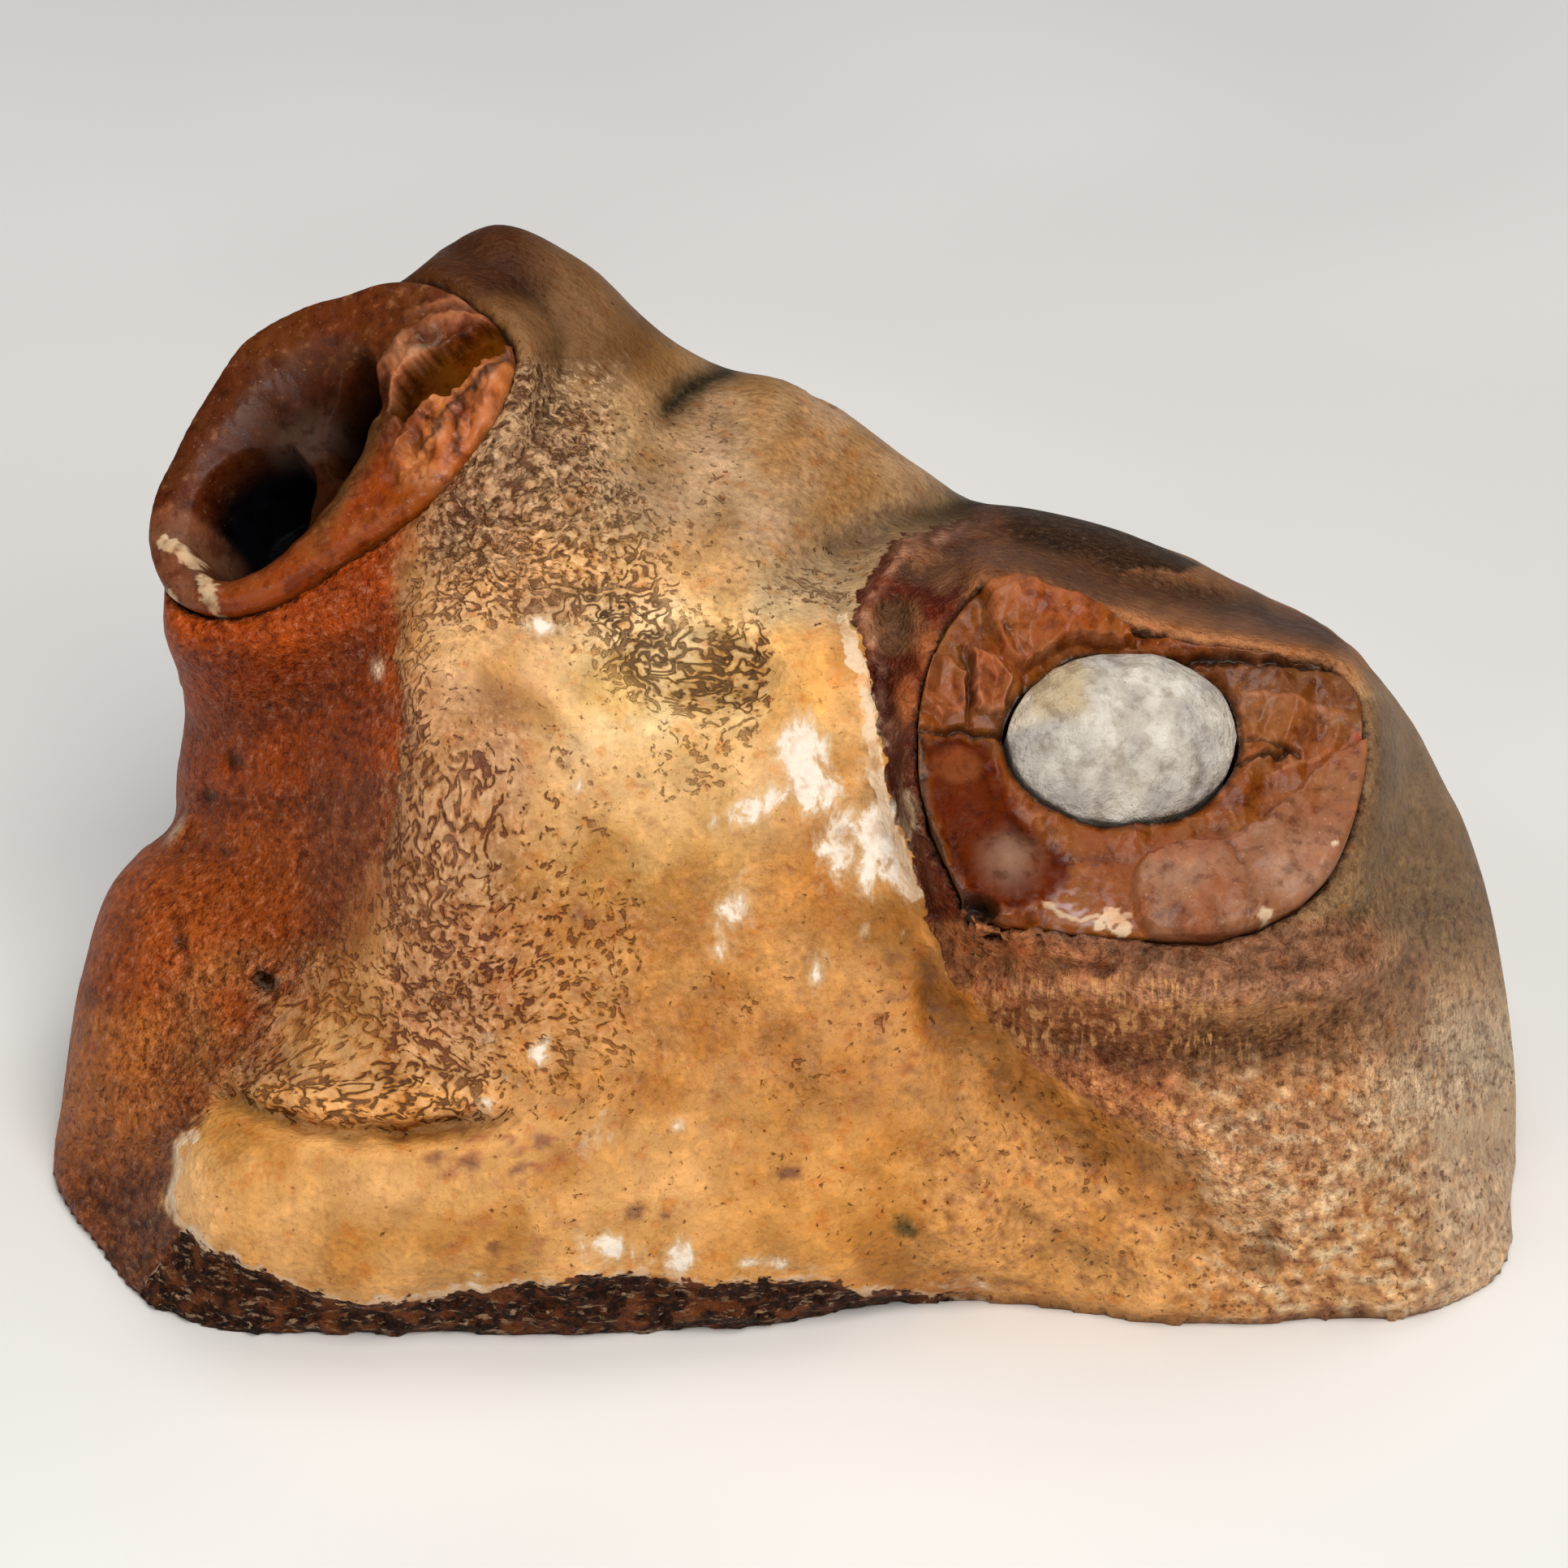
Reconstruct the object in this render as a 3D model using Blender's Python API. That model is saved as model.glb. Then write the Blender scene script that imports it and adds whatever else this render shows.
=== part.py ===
"""Section of a fossil jaw with the broken roots of two teeth.

Four solids: the jaw bone with its two sockets, the left root with its open
pulp cavity, the right root, and the grey filling in the middle of the right
root.  The bone stands on a flat broken underside at z = 0; x runs along the
jaw, the worked face looks towards -y.
"""
import bpy
import bmesh

import numpy as np
from math import sin, cos, radians, pi, sqrt

# ---------------------------------------------------------------- drawing plane
# The face is laid out on a square drawing that leans back over the base, one
# unit = UNIT mm, u to the right and v downwards.  "rise" is the height of a
# point over the drawing plane, towards the viewer, in mm.
UNIT = 0.0431          # mm per drawing unit at the plane
MID = 966.0            # middle of the drawing
LEAN = radians(28.0)   # the drawing plane faces 28 degrees above level
REACH = 420.0          # viewing distance, mm
OX, OY, OZ = 0.0, 1.0, 20.0   # the drawing's middle over the base, mm
SN, CS = sin(LEAN), cos(LEAN)


def to_world(u, v, rise):
    k = (REACH - rise) / REACH
    a = (u - MID) * UNIT * k
    b = (MID - v) * UNIT * k
    return (OX + a, OY + b * SN - rise * CS, OZ + b * CS + rise * SN)


def to_plane(x, y, z):
    x, y, z = x - OX, y - OY, z - OZ
    rise = -y * CS + z * SN
    b = y * SN + z * CS
    k = (REACH - rise) / REACH
    return MID + x / (UNIT * k), MID - b / (UNIT * k), rise


def floor_rise(u, v):
    """rise at which the base plane z = 0 is seen at (u, v)"""
    b = (MID - v) * UNIT
    return (-OZ - b * CS) / (SN - b * CS / REACH)


# ---------------------------------------------------------------- helpers
def smoothstep(a, b, x):
    t = np.clip((x - a) / (b - a), 0.0, 1.0)
    return t * t * (3.0 - 2.0 * t)


def smax(a, b, k):
    h = np.clip(0.5 + 0.5 * (a - b) / k, 0.0, 1.0)
    return b + (a - b) * h + k * h * (1.0 - h)


def spline(points, n=8, closed=True):
    """Catmull-Rom curve through the points, n pieces a span"""
    p = np.array(points, float)
    m = len(p)
    out = []
    spans = m if closed else m - 1
    t = np.linspace(0, 1, n, endpoint=False)[:, None]
    for i in range(spans):
        if closed:
            a, b, c, d = p[(i - 1) % m], p[i], p[(i + 1) % m], p[(i + 2) % m]
        else:
            a, b, c, d = p[max(i - 1, 0)], p[i], p[i + 1], p[min(i + 2, m - 1)]
        out.append(0.5 * ((2 * b) + (c - a) * t + (2 * a - 5 * b + 4 * c - d) * t ** 2
                          + (3 * b - a - 3 * c + d) * t ** 3))
    if not closed:
        out.append(p[-1:])
    return np.concatenate(out)


def line_distance(u, v, line, closed=False):
    """distance to a polyline, and the running share along it, for arrays u, v"""
    best = np.full(u.shape, 1e9)
    along = np.zeros(u.shape)
    p = np.asarray(line, float)
    q = np.roll(p, -1, axis=0) if closed else p[1:]
    if not closed:
        p = p[:-1]
    lens = np.hypot(*(q - p).T)
    total = max(lens.sum(), 1e-9)
    run = 0.0
    for a, b, ln in zip(p, q, lens):
        du, dv = b - a
        w = max(du * du + dv * dv, 1e-9)
        t = np.clip(((u - a[0]) * du + (v - a[1]) * dv) / w, 0, 1)
        dist = np.hypot(u - a[0] - t * du, v - a[1] - t * dv)
        hit = dist < best
        best = np.where(hit, dist, best)
        along = np.where(hit, (run + t * ln) / total, along)
        run += ln
    return best, along


def inside(u, v, poly):
    p = np.asarray(poly, float)
    q = np.roll(p, -1, axis=0)
    odd = np.zeros(u.shape, bool)
    for (x0, y0), (x1, y1) in zip(p, q):
        if y0 == y1:
            continue
        cross = ((y0 > v) != (y1 > v)) & (u < (x1 - x0) * (v - y0) / (y1 - y0) + x0)
        odd ^= cross
    return odd


def region(u, v, poly):
    """signed distance in drawing units, positive inside a closed outline"""
    d, _ = line_distance(u, v, poly, closed=True)
    return np.where(inside(u, v, poly), d, -d)


class Surface:
    """smooth height through landmarks (multiquadric)"""

    def __init__(self, marks, soft=45.0, loose=0.03):
        m = np.array(marks, float)
        self.p = m[:, :2] / 100.0
        self.soft = soft / 100.0
        n = len(m)
        r = np.sqrt(((self.p[:, None] - self.p[None]) ** 2).sum(-1) + self.soft ** 2)
        a = np.zeros((n + 3, n + 3))
        a[:n, :n] = loose * np.eye(n) - r
        a[:n, n] = 1
        a[:n, n + 1:] = self.p
        a[n:, :n] = a[:n, n:].T
        self.w = np.linalg.solve(a, np.concatenate([m[:, 2], np.zeros(3)]))

    def __call__(self, u, v):
        u = np.asarray(u, float) / 100.0
        v = np.asarray(v, float) / 100.0
        out = np.full(u.shape, self.w[-3]) + self.w[-2] * u + self.w[-1] * v
        for (a, b), w in zip(self.p, self.w[:-3]):
            out -= w * np.sqrt((u - a) ** 2 + (v - b) ** 2 + self.soft ** 2)
        return out


# ---------------------------------------------------------------- outline
OUTLINE = [(616, 273), (653, 283), (700, 309), (739, 336), (790, 388), (840, 427), (900, 455),
           (965, 468), (1020, 500), (1080, 541), (1140, 580), (1195, 616), (1260, 625), (1320, 637),
           (1380, 653), (1440, 678), (1500, 707), (1560, 737), (1620, 765), (1680, 813), (1740, 890),
           (1775, 960), (1800, 1004), (1822, 1065), (1840, 1130), (1856, 1210), (1871, 1290),
           (1876, 1350), (1870, 1420), (1861, 1480), (1865, 1540), (1850, 1585), (1800, 1609),
           (1740, 1618), (1680, 1614), (1620, 1618), (1560, 1626), (1470, 1624), (1380, 1616),
           (1290, 1601), (1200, 1594), (1140, 1597), (1080, 1608), (1020, 1616), (960, 1630),
           (840, 1637), (700, 1645), (560, 1641), (420, 1643), (285, 1642), (200, 1622), (150, 1588),
           (112, 1540), (76, 1485), (63, 1440), (74, 1370), (85, 1290), (97, 1215), (118, 1135),
           (140, 1086), (175, 1048), (214, 1012), (219, 950), (228, 880), (222, 835), (204, 780),
           (203, 730), (204, 680), (211, 622), (230, 578), (258, 520), (290, 469), (320, 428),
           (374, 394), (428, 376), (484, 353), (524, 324), (560, 293), (588, 278)]

# ---------------------------------------------------------------- bone, height landmarks
BONE = [
    # crest behind the left tooth, back saddle and the shoulder behind the right tooth
    (616, 300, -2.5), (560, 330, -3.5), (700, 350, -2.5), (660, 420, -0.6), (740, 400, -1.8),
    (790, 450, -1.6), (855, 476, -2.9), (900, 500, -1.8), (960, 500, -1.6), (1030, 560, -0.8),
    (1100, 600, -0.8), (1180, 645, -1.8), (760, 540, 2.6), (900, 580, 2.2), (980, 640, 3.6),
    (1080, 650, 1.6), (1040, 690, 4.0), (700, 480, 1.6), (640, 500, 3.4), (640, 570, 6.2),
    # face under the left tooth
    (560, 640, 6.8), (480, 705, 6.4), (700, 640, 7.4), (820, 680, 6.8), (930, 720, 7.4),
    (1030, 740, 7.6), (620, 740, 10.4), (740, 760, 10.2), (860, 800, 9.7), (960, 800, 10.6),
    (520, 760, 9.6), (500, 840, 11.2), (505, 950, 12.4), (510, 1080, 12.9), (505, 1190, 12.9),
    (600, 880, 12.6), (600, 1050, 13.4), (720, 900, 12.8), (720, 1100, 13.5), (850, 930, 12.6),
    (850, 1150, 13.6), (980, 900, 12.3), (980, 1100, 13.3), (1030, 830, 11.6), (600, 1230, 13.6),
    (760, 1300, 14.0), (950, 1300, 14.0),
    # seat of the left tooth, and the ground round it
    (400, 600, 1.6), (320, 500, -4.6), (450, 440, -3.0), (330, 650, -0.6), (240, 650, -3.4),
    (560, 420, 0.0), (520, 520, 2.6), (345, 765, 2.8), (420, 715, 5.0), (270, 775, -0.6),
    # side wall to the left
    (455, 800, 6.8), (380, 800, 2.6), (300, 800, -0.8), (235, 810, -2.8),
    (470, 930, 10.4), (400, 930, 4.2), (310, 930, -0.6), (240, 930, -4.0),
    (465, 1080, 10.8), (400, 1080, 6.0), (310, 1060, 1.0), (230, 1050, -2.4),
    (455, 1190, 11.4), (390, 1190, 8.4), (310, 1180, 4.6), (220, 1170, 2.6), (140, 1160, -0.6),
    (400, 1285, 10.9), (310, 1285, 8.2), (220, 1290, 5.2), (130, 1290, 2.2), (100, 1400, 1.6),
    (180, 1400, 6.2), (170, 1500, 6.8), (110, 1480, 2.4), (190, 1580, 9.2),
    # smooth lobe
    (290, 1345, 9.8), (240, 1415, 12.0), (330, 1420, 14.6), (225, 1490, 12.6), (330, 1500, 15.4),
    (450, 1450, 16.0), (450, 1530, 16.2), (600, 1450, 16.2), (600, 1530, 16.2), (760, 1450, 15.9),
    (760, 1530, 15.9), (300, 1560, 14.2), (380, 1345, 12.6), (470, 1350, 13.4), (560, 1345, 13.8),
    (660, 1350, 14.4), (920, 1440, 15.2), (920, 1540, 15.0),
    # under edge
    (285, 1635, 12.2), (420, 1636, 12.4), (560, 1636, 12.6), (700, 1638, 12.6), (840, 1632, 12.2),
    (960, 1624, 11.8), (1020, 1612, 11.2), (1080, 1602, 10.4), (1200, 1590, 9.4), (450, 1600, 14.6),
    (700, 1590, 15.2), (880, 1585, 14.4), (1040, 1560, 13.6), (1200, 1550, 12.4), (1290, 1595, 10.2),
    (1380, 1608, 10.8), (1470, 1617, 11.2), (1560, 1619, 11.4), (1620, 1611, 11.0), (1740, 1610, 11.0),
    (1800, 1600, 9.6), (1845, 1575, 8.0),
    # broad face left of the pedestal
    (1100, 1150, 13.2), (1120, 1250, 13.6), (1100, 1400, 14.4), (1200, 1330, 13.4), (1250, 1450, 13.4),
    (1350, 1520, 12.6), (1330, 1440, 13.0), (1450, 1540, 13.2), (1150, 1500, 13.8), (1420, 1590, 12.4),
    # collar and pedestal of the right tooth
    (1085, 745, 8.6), (1090, 850, 11.6), (1105, 950, 12.8), (1140, 1080, 14.2), (1180, 1180, 14.6),
    (1150, 690, 5.8), (1216, 730, 7.4), (1300, 770, 8.6), (1384, 800, 9.6), (1470, 830, 10.2),
    (1560, 825, 10.2), (1640, 835, 9.2), (1700, 920, 9.4), (1702, 1010, 11.6), (1664, 1090, 14.8),
    (1590, 1150, 17.2), (1492, 1180, 18.8), (1400, 1185, 18.8), (1300, 1175, 17.8), (1220, 1150, 15.8),
    (1290, 1215, 17.4), (1400, 1228, 18.8), (1500, 1228, 18.8), (1600, 1215, 17.6), (1690, 1180, 14.4),
    (1300, 1290, 14.6), (1400, 1300, 15.8), (1500, 1300, 16.0), (1600, 1290, 15.2), (1700, 1270, 12.8),
    (1400, 1380, 14.6), (1500, 1400, 15.4), (1600, 1400, 15.2), (1700, 1390, 13.4), (1500, 1480, 14.6),
    (1600, 1500, 14.4), (1700, 1500, 12.9), (1400, 940, 13.4), (1300, 900, 12.4), (1500, 950, 13.4),
    (1400, 1050, 15.6),
    # right flank
    (1765, 1000, 6.2), (1750, 930, 5.4), (1715, 860, 5.4), (1770, 1150, 8.0), (1800, 1250, 7.4),
    (1800, 1380, 8.2), (1800, 1500, 9.0), (1840, 1300, 4.4), (1845, 1420, 4.6), (1840, 1510, 6.4),
    # shoulder behind the right tooth
    (1250, 655, 0.6), (1320, 668, 1.6), (1400, 690, 2.4), (1480, 720, 2.8), (1560, 765, 3.2),
    (1640, 800, 3.4), (1250, 690, 3.0), (1350, 730, 4.6), (1450, 770, 5.6), (1560, 800, 6.0),
]


def edge_drop(u, v, S):
    """how far the face rolls back towards the outline, mm (S in mm)"""
    low = smoothstep(1400, 1500, v)                      # no roll at the under edge
    right = smoothstep(1200, 1700, u)
    left = 1 - smoothstep(150, 420, u)
    reach = 5.2 + 3.0 * right - 1.2 * left * smoothstep(700, 800, v)
    deep = 5.0 + 3.6 * right + 1.0 * left
    seat = (1 - smoothstep(480, 600, u)) * (1 - smoothstep(700, 820, v))
    deep = deep * (1 - 0.45 * seat)
    low_side = np.maximum(1 - smoothstep(60, 200, u), smoothstep(1700, 1850, u))
    deep = deep * (1 - low * (1 - 0.35 * low_side))
    reach = reach * (1 - 0.5 * low)
    t = 1 - np.clip(S / reach, 0, 1)
    return deep * (1 - np.sqrt(np.clip(1 - t ** 2, 0, 1)))


# ---------------------------------------------------------------- the two teeth
class Tooth:
    """a root with a slanting rim: local a, b in the rim plane and h along the axis, mm"""

    def __init__(self, seat, rise, slope, rim, depth, taper):
        self.seat, self.rise, self.slope = seat, rise, slope
        self.depth, self.taper = depth, taper
        p = np.array(to_world(seat[0], seat[1], rise))
        e = 4.0
        pu = np.array(to_world(seat[0] + e, seat[1], rise + slope[0] * e)) - p
        pv = np.array(to_world(seat[0], seat[1] - e, rise - slope[1] * e)) - p
        n = np.cross(pu, pv)
        n /= np.linalg.norm(n)
        a = pu / np.linalg.norm(pu)
        self.p, self.n, self.a = p, n, a
        self.b = np.cross(n, a)
        self.rim = self.polar(rim)

    def plane_rise(self, u, v):
        return (self.rise + self.slope[0] * (u - self.seat[0])
                + self.slope[1] * (v - self.seat[1]))

    def polar(self, outline):
        pts = spline(outline, 8)
        w = np.array(to_world(pts[:, 0], pts[:, 1], self.plane_rise(pts[:, 0], pts[:, 1])))
        q = w - self.p[:, None]
        a, b = self.a @ q, self.b @ q
        ang, rad = np.arctan2(b, a), np.hypot(a, b)
        order = np.argsort(ang)
        return ang[order], rad[order]

    def radius(self, ang, table=None):
        t, r = self.rim if table is None else table
        return np.interp(np.mod(ang + pi, 2 * pi) - pi, t, r, period=2 * pi)

    def local(self, x, y, z):
        q = np.stack([x - self.p[0], y - self.p[1], z - self.p[2]])
        return (np.tensordot(self.a, q, 1), np.tensordot(self.b, q, 1), np.tensordot(self.n, q, 1))

    def world(self, a, b, h):
        a, b, h = np.asarray(a), np.asarray(b), np.asarray(h)
        return [self.p[i] + a * self.a[i] + b * self.b[i] + h * self.n[i] for i in range(3)]

    def narrow(self, h):
        """share of the rim's radius left at height h (below the rim h < 0)"""
        return 1.0 + self.taper * np.minimum(h, 0.0)


LEFT_RIM = [(222, 747), (195, 715), (181, 663), (190, 612), (207, 573), (237, 514), (270, 461),
            (302, 418), (362, 381), (421, 363), (478, 347), (540, 352), (592, 385), (624, 412),
            (634, 445), (617, 500), (580, 556), (524, 622), (431, 681), (345, 736), (280, 757)]
RIGHT_RIM = [(1130, 919), (1134, 858), (1152, 800), (1180, 752), (1217, 722), (1270, 722),
             (1325, 744), (1390, 768), (1470, 790), (1560, 802), (1632, 816), (1672, 852), (1684, 915),
             (1672, 1000), (1640, 1078), (1580, 1130), (1492, 1157), (1400, 1152), (1300, 1142),
             (1212, 1122), (1164, 1055), (1138, 985)]
CORE_RIM = [(1241, 905), (1252, 868), (1276, 838), (1312, 815), (1350, 802), (1392, 799),
            (1440, 806), (1486, 828), (1517, 862), (1527, 905), (1516, 948), (1486, 982),
            (1440, 1003), (1390, 1010), (1338, 1005), (1290, 986), (1256, 950)]

left = Tooth((415, 560), 2.0, (0.0244, 0.0303), LEFT_RIM, 10.0, 0.022)
right = Tooth((1400, 935), 14.2, (-0.006, 0.0220), RIGHT_RIM, 9.0, 0.012)
core_rim = right.polar(CORE_RIM)


def blob(u, v, cu, cv, ru, rv, turn, soft=0.35):
    """1 inside an ellipse on the drawing, 0 outside, with a soft edge"""
    c, s = cos(turn), sin(turn)
    x, y = (u - cu) * c + (v - cv) * s, -(u - cu) * s + (v - cv) * c
    e = np.sqrt((x / ru) ** 2 + (y / rv) ** 2)
    return 1 - smoothstep(1 - soft, 1 + soft * 0.4, e)


# ---------------------------------------------------------------- sizes
GAP = 0.3              # mm between a root and its socket
BACK = 30.0            # mm from the widest station to the middle of the back
HALF = 39.6            # mm, half the length at the base
CUBE_CUTS = 21         # facets along a side of the bone's cage
SIDES = 36             # facets round a root
CORE_DEPTH = 5.5       # mm, pocket of the grey filling
CORE_CROWN = 1.4       # mm, how far the filling stands over the rim plane
SHIFT_Y = 0.0
MM = 0.001


def back_face(x, z):
    """y of the rounded back of the bone"""
    plan = np.sqrt(np.clip(1 - np.clip(np.abs(x + 0.3) / HALF, 0, 1) ** 3.8, 0, 1))
    belly = 0.88 + 0.12 * np.sin(np.clip((z + 6) / 50, 0, 1) * pi)
    trough = 1.6 * np.exp(-((z - 17) / 6.0) ** 2) * smoothstep(36, 20, np.abs(x))
    return -6 + BACK * plan * belly - trough


STEP = 6.0
gu = np.arange(-60.0, 2000.0, STEP)
gv = np.arange(120.0, 1860.0, STEP)
GU, GV = np.meshgrid(gu, gv)
side_grid = region(GU, GV, spline(OUTLINE, 4)) * UNIT
face_grid = Surface(BONE)(GU, GV) - edge_drop(GU, GV, side_grid)


def sample(grid, u, v):
    i = np.clip((u - gu[0]) / STEP, 0, len(gu) - 1.001)
    j = np.clip((v - gv[0]) / STEP, 0, len(gv) - 1.001)
    i0, j0 = i.astype(int), j.astype(int)
    fi, fj = i - i0, j - j0
    return ((grid[j0, i0] * (1 - fi) + grid[j0, i0 + 1] * fi) * (1 - fj)
            + (grid[j0 + 1, i0] * (1 - fi) + grid[j0 + 1, i0 + 1] * fi) * fj)


def bone_field(x, y, z):
    """negative inside the bone, mm"""
    u, v, rise = to_plane(x, y, z)
    front = np.maximum(0.8 * (rise - sample(face_grid, u, v)), -sample(side_grid, u, v))
    f = smax(front, y - back_face(x, z), 4.0)
    return np.maximum(f, -4.0 - z)


# ---------------------------------------------------------------- scene
for obj in list(bpy.data.objects):
    bpy.data.objects.remove(obj, do_unlink=True)


def finish(name, colour, roughness):
    mat = bpy.data.materials.new(name)
    mat.use_nodes = True
    shader = mat.node_tree.nodes["Principled BSDF"]
    shader.inputs["Base Color"].default_value = (*colour, 1)
    shader.inputs["Roughness"].default_value = roughness
    shader.inputs["Metallic"].default_value = 0.0
    return mat


def add(name, bm, mat=None):
    bmesh.ops.recalc_face_normals(bm, faces=bm.faces)
    mesh = bpy.data.meshes.new(name)
    bm.to_mesh(mesh)
    bm.free()
    obj = bpy.data.objects.new(name, mesh)
    bpy.context.scene.collection.objects.link(obj)
    if mat:
        mesh.materials.append(mat)
        mesh.shade_smooth()
        mesh.set_sharp_from_angle(angle=radians(40))
    return obj


def cut(target, cutter):
    cutter.hide_render = True
    cutter.display_type = 'WIRE'
    mod = target.modifiers.new("cut_" + cutter.name, 'BOOLEAN')
    mod.operation = 'DIFFERENCE'
    mod.solver = 'EXACT'
    mod.object = cutter


# ---------------------------------------------------------------- jaw bone
bm = bmesh.new()
bmesh.ops.create_cube(bm, size=2.0)
bmesh.ops.subdivide_edges(bm, edges=bm.edges[:], cuts=CUBE_CUTS, use_grid_fill=True)
p = np.array([v.co[:] for v in bm.verts])
p = np.tan(p * (pi / 4) * 0.98)                      # even facets over the ball
p /= np.linalg.norm(p, axis=1)[:, None]
middle = np.array([0.0, -1.0, 17.0])
lo, hi = np.zeros(len(p)), np.zeros(len(p))
steps = np.linspace(6.0, 62.0, 150)
found = np.full(len(p), 5.0)
for r in steps:                                     # the outermost crossing
    q = middle + p * r
    found = np.where(bone_field(q[:, 0], q[:, 1], q[:, 2]) < 0, r, found)
lo, hi = found, found + (steps[1] - steps[0])
for _ in range(12):
    r = (lo + hi) / 2
    q = middle + p * r[:, None]
    neg = bone_field(q[:, 0], q[:, 1], q[:, 2]) < 0
    lo, hi = np.where(neg, r, lo), np.where(neg, hi, r)
q = (middle + p * ((lo + hi) / 2)[:, None] + (0, SHIFT_Y, 0)) * MM
for vert, co in zip(bm.verts, q):
    vert.co = co
bone = add("jaw_bone", bm, finish("weathered_bone", (0.62, 0.34, 0.12), 0.5))

# the flat broken underside
bm = bmesh.new()
bmesh.ops.create_cube(bm, size=1.0)
for vert in bm.verts:
    vert.co = (vert.co.x * 0.12, vert.co.y * 0.12, vert.co.z * 0.02 - 0.01)
cut(bone, add("base_cutter", bm))


# ---------------------------------------------------------------- roots
def turned(tooth, table, stations, sides, dome=None):
    """closed body: rings of the rim's outline at (height, inset, share) stations,
    from the bottom up, with an optional top surface dome(a, b) over rings"""
    bm = bmesh.new()
    ang = np.linspace(-pi, pi, sides, endpoint=False)
    base = tooth.radius(ang, table)
    rings = []
    for h, inset, share in stations:
        r = (base * tooth.narrow(h) - inset) * share
        hh = np.full(sides, h)
        if dome is not None and h >= 0:
            hh = dome(r * np.cos(ang), r * np.sin(ang))
        w = tooth.world(r * np.cos(ang), r * np.sin(ang), hh)
        rings.append([bm.verts.new((w[0][i] * MM, (w[1][i] + SHIFT_Y) * MM, w[2][i] * MM))
                      for i in range(sides)])
    for low, high in zip(rings, rings[1:]):
        for i in range(sides):
            j = (i + 1) % sides
            bm.faces.new((low[i], low[j], high[j], high[i]))
    bm.faces.new(rings[0][::-1])
    if dome is None:
        bm.faces.new(rings[-1])
    else:
        h = float(dome(np.zeros(1), np.zeros(1))[0])
        w = tooth.world(0.0, 0.0, h)
        top = bm.verts.new((w[0] * MM, (w[1] + SHIFT_Y) * MM, w[2] * MM))
        for i in range(sides):
            bm.faces.new((rings[-1][i], rings[-1][(i + 1) % sides], top))
    return bm


def seat_of(tooth, a, b):
    w = tooth.world(a, b, np.zeros_like(a))
    u, v, _ = to_plane(*w)
    return u, v


def left_top(a, b):
    """broken face of the left root: a shallow bowl with the deep pulp hole in it"""
    u, v = seat_of(left, a, b)
    turn = radians(-54.8)
    return (0.4 - 2.2 * blob(u, v, 352, 566, 170, 82, turn)
            - 4.2 * blob(u, v, 308, 613, 66, 54, turn)
            - 1.8 * blob(u, v, 425, 500, 62, 36, turn))


def right_top(a, b):
    """broken face of the right root: worn lower at the left, a chunk proud at the right"""
    u, v = seat_of(right, a, b)
    return (0.3 - 1.1 * blob(u, v, 1215, 1000, 90, 120, 0.0)
            + 0.9 * blob(u, v, 1560, 1080, 150, 90, radians(-25)))


def core_top(a, b):
    """crown of the grey filling"""
    ang, rad = np.arctan2(b - core_mid[1], a - core_mid[0]), np.hypot(a - core_mid[0], b - core_mid[1])
    share = np.clip(rad / core_size(ang), 0, 1)
    return 0.35 + CORE_CROWN * np.sqrt(np.clip(1 - 0.86 * share ** 2, 0, 1))


# the filling's own middle on the rim plane
ca, cb = [], []
for u, v in CORE_RIM:
    w = to_world(u, v, right.plane_rise(u, v))
    a, b, _ = right.local(np.array(w[0]), np.array(w[1]), np.array(w[2]))
    ca.append(float(a))
    cb.append(float(b))
core_mid = ((min(ca) + max(ca)) / 2, (min(cb) + max(cb)) / 2)
core_ang = np.arctan2(np.array(cb) - core_mid[1], np.array(ca) - core_mid[0])
core_rad = np.hypot(np.array(cb) - core_mid[1], np.array(ca) - core_mid[0])
order = np.argsort(core_ang)
core_ang, core_rad = core_ang[order], core_rad[order]


def core_size(ang):
    return np.interp(ang, core_ang, core_rad, period=2 * pi)


def plug(stations, sides, dome=None):
    """closed body of the filling's outline: (height, inset, share) stations"""
    bm = bmesh.new()
    ang = np.linspace(-pi, pi, sides, endpoint=False)
    rings = []
    for h, inset, share in stations:
        r = (core_size(ang) - inset) * share
        a, b = core_mid[0] + r * np.cos(ang), core_mid[1] + r * np.sin(ang)
        hh = np.full(sides, h) if (dome is None or h < 0) else dome(a, b)
        w = right.world(a, b, hh)
        rings.append([bm.verts.new((w[0][i] * MM, (w[1][i] + SHIFT_Y) * MM, w[2][i] * MM))
                      for i in range(sides)])
    for low, high in zip(rings, rings[1:]):
        for i in range(sides):
            j = (i + 1) % sides
            bm.faces.new((low[i], low[j], high[j], high[i]))
    bm.faces.new(rings[0][::-1])
    bm.faces.new(rings[-1])
    return bm


# sockets: the root's own outline, GAP wider and deeper, open above
for tooth, tag in ((left, "left"), (right, "right")):
    stations = [(-tooth.depth, 0.0, 1.0), (0.0, 0.0, 1.0), (14.0, 0.0, 1.0)]
    cut(bone, add(tag + "_socket_cutter", turned(tooth, None, stations, SIDES)))

shares = (1.0, 0.9, 0.78, 0.66, 0.54, 0.42, 0.3, 0.16)
stations = [(-left.depth + GAP, GAP, 1.0), (-3.0, GAP, 1.0)] + [(0.0, GAP, s) for s in shares]
add("left_tooth_stump", turned(left, None, stations, SIDES, left_top),
    finish("brown_dentine", (0.26, 0.09, 0.03), 0.3))

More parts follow.
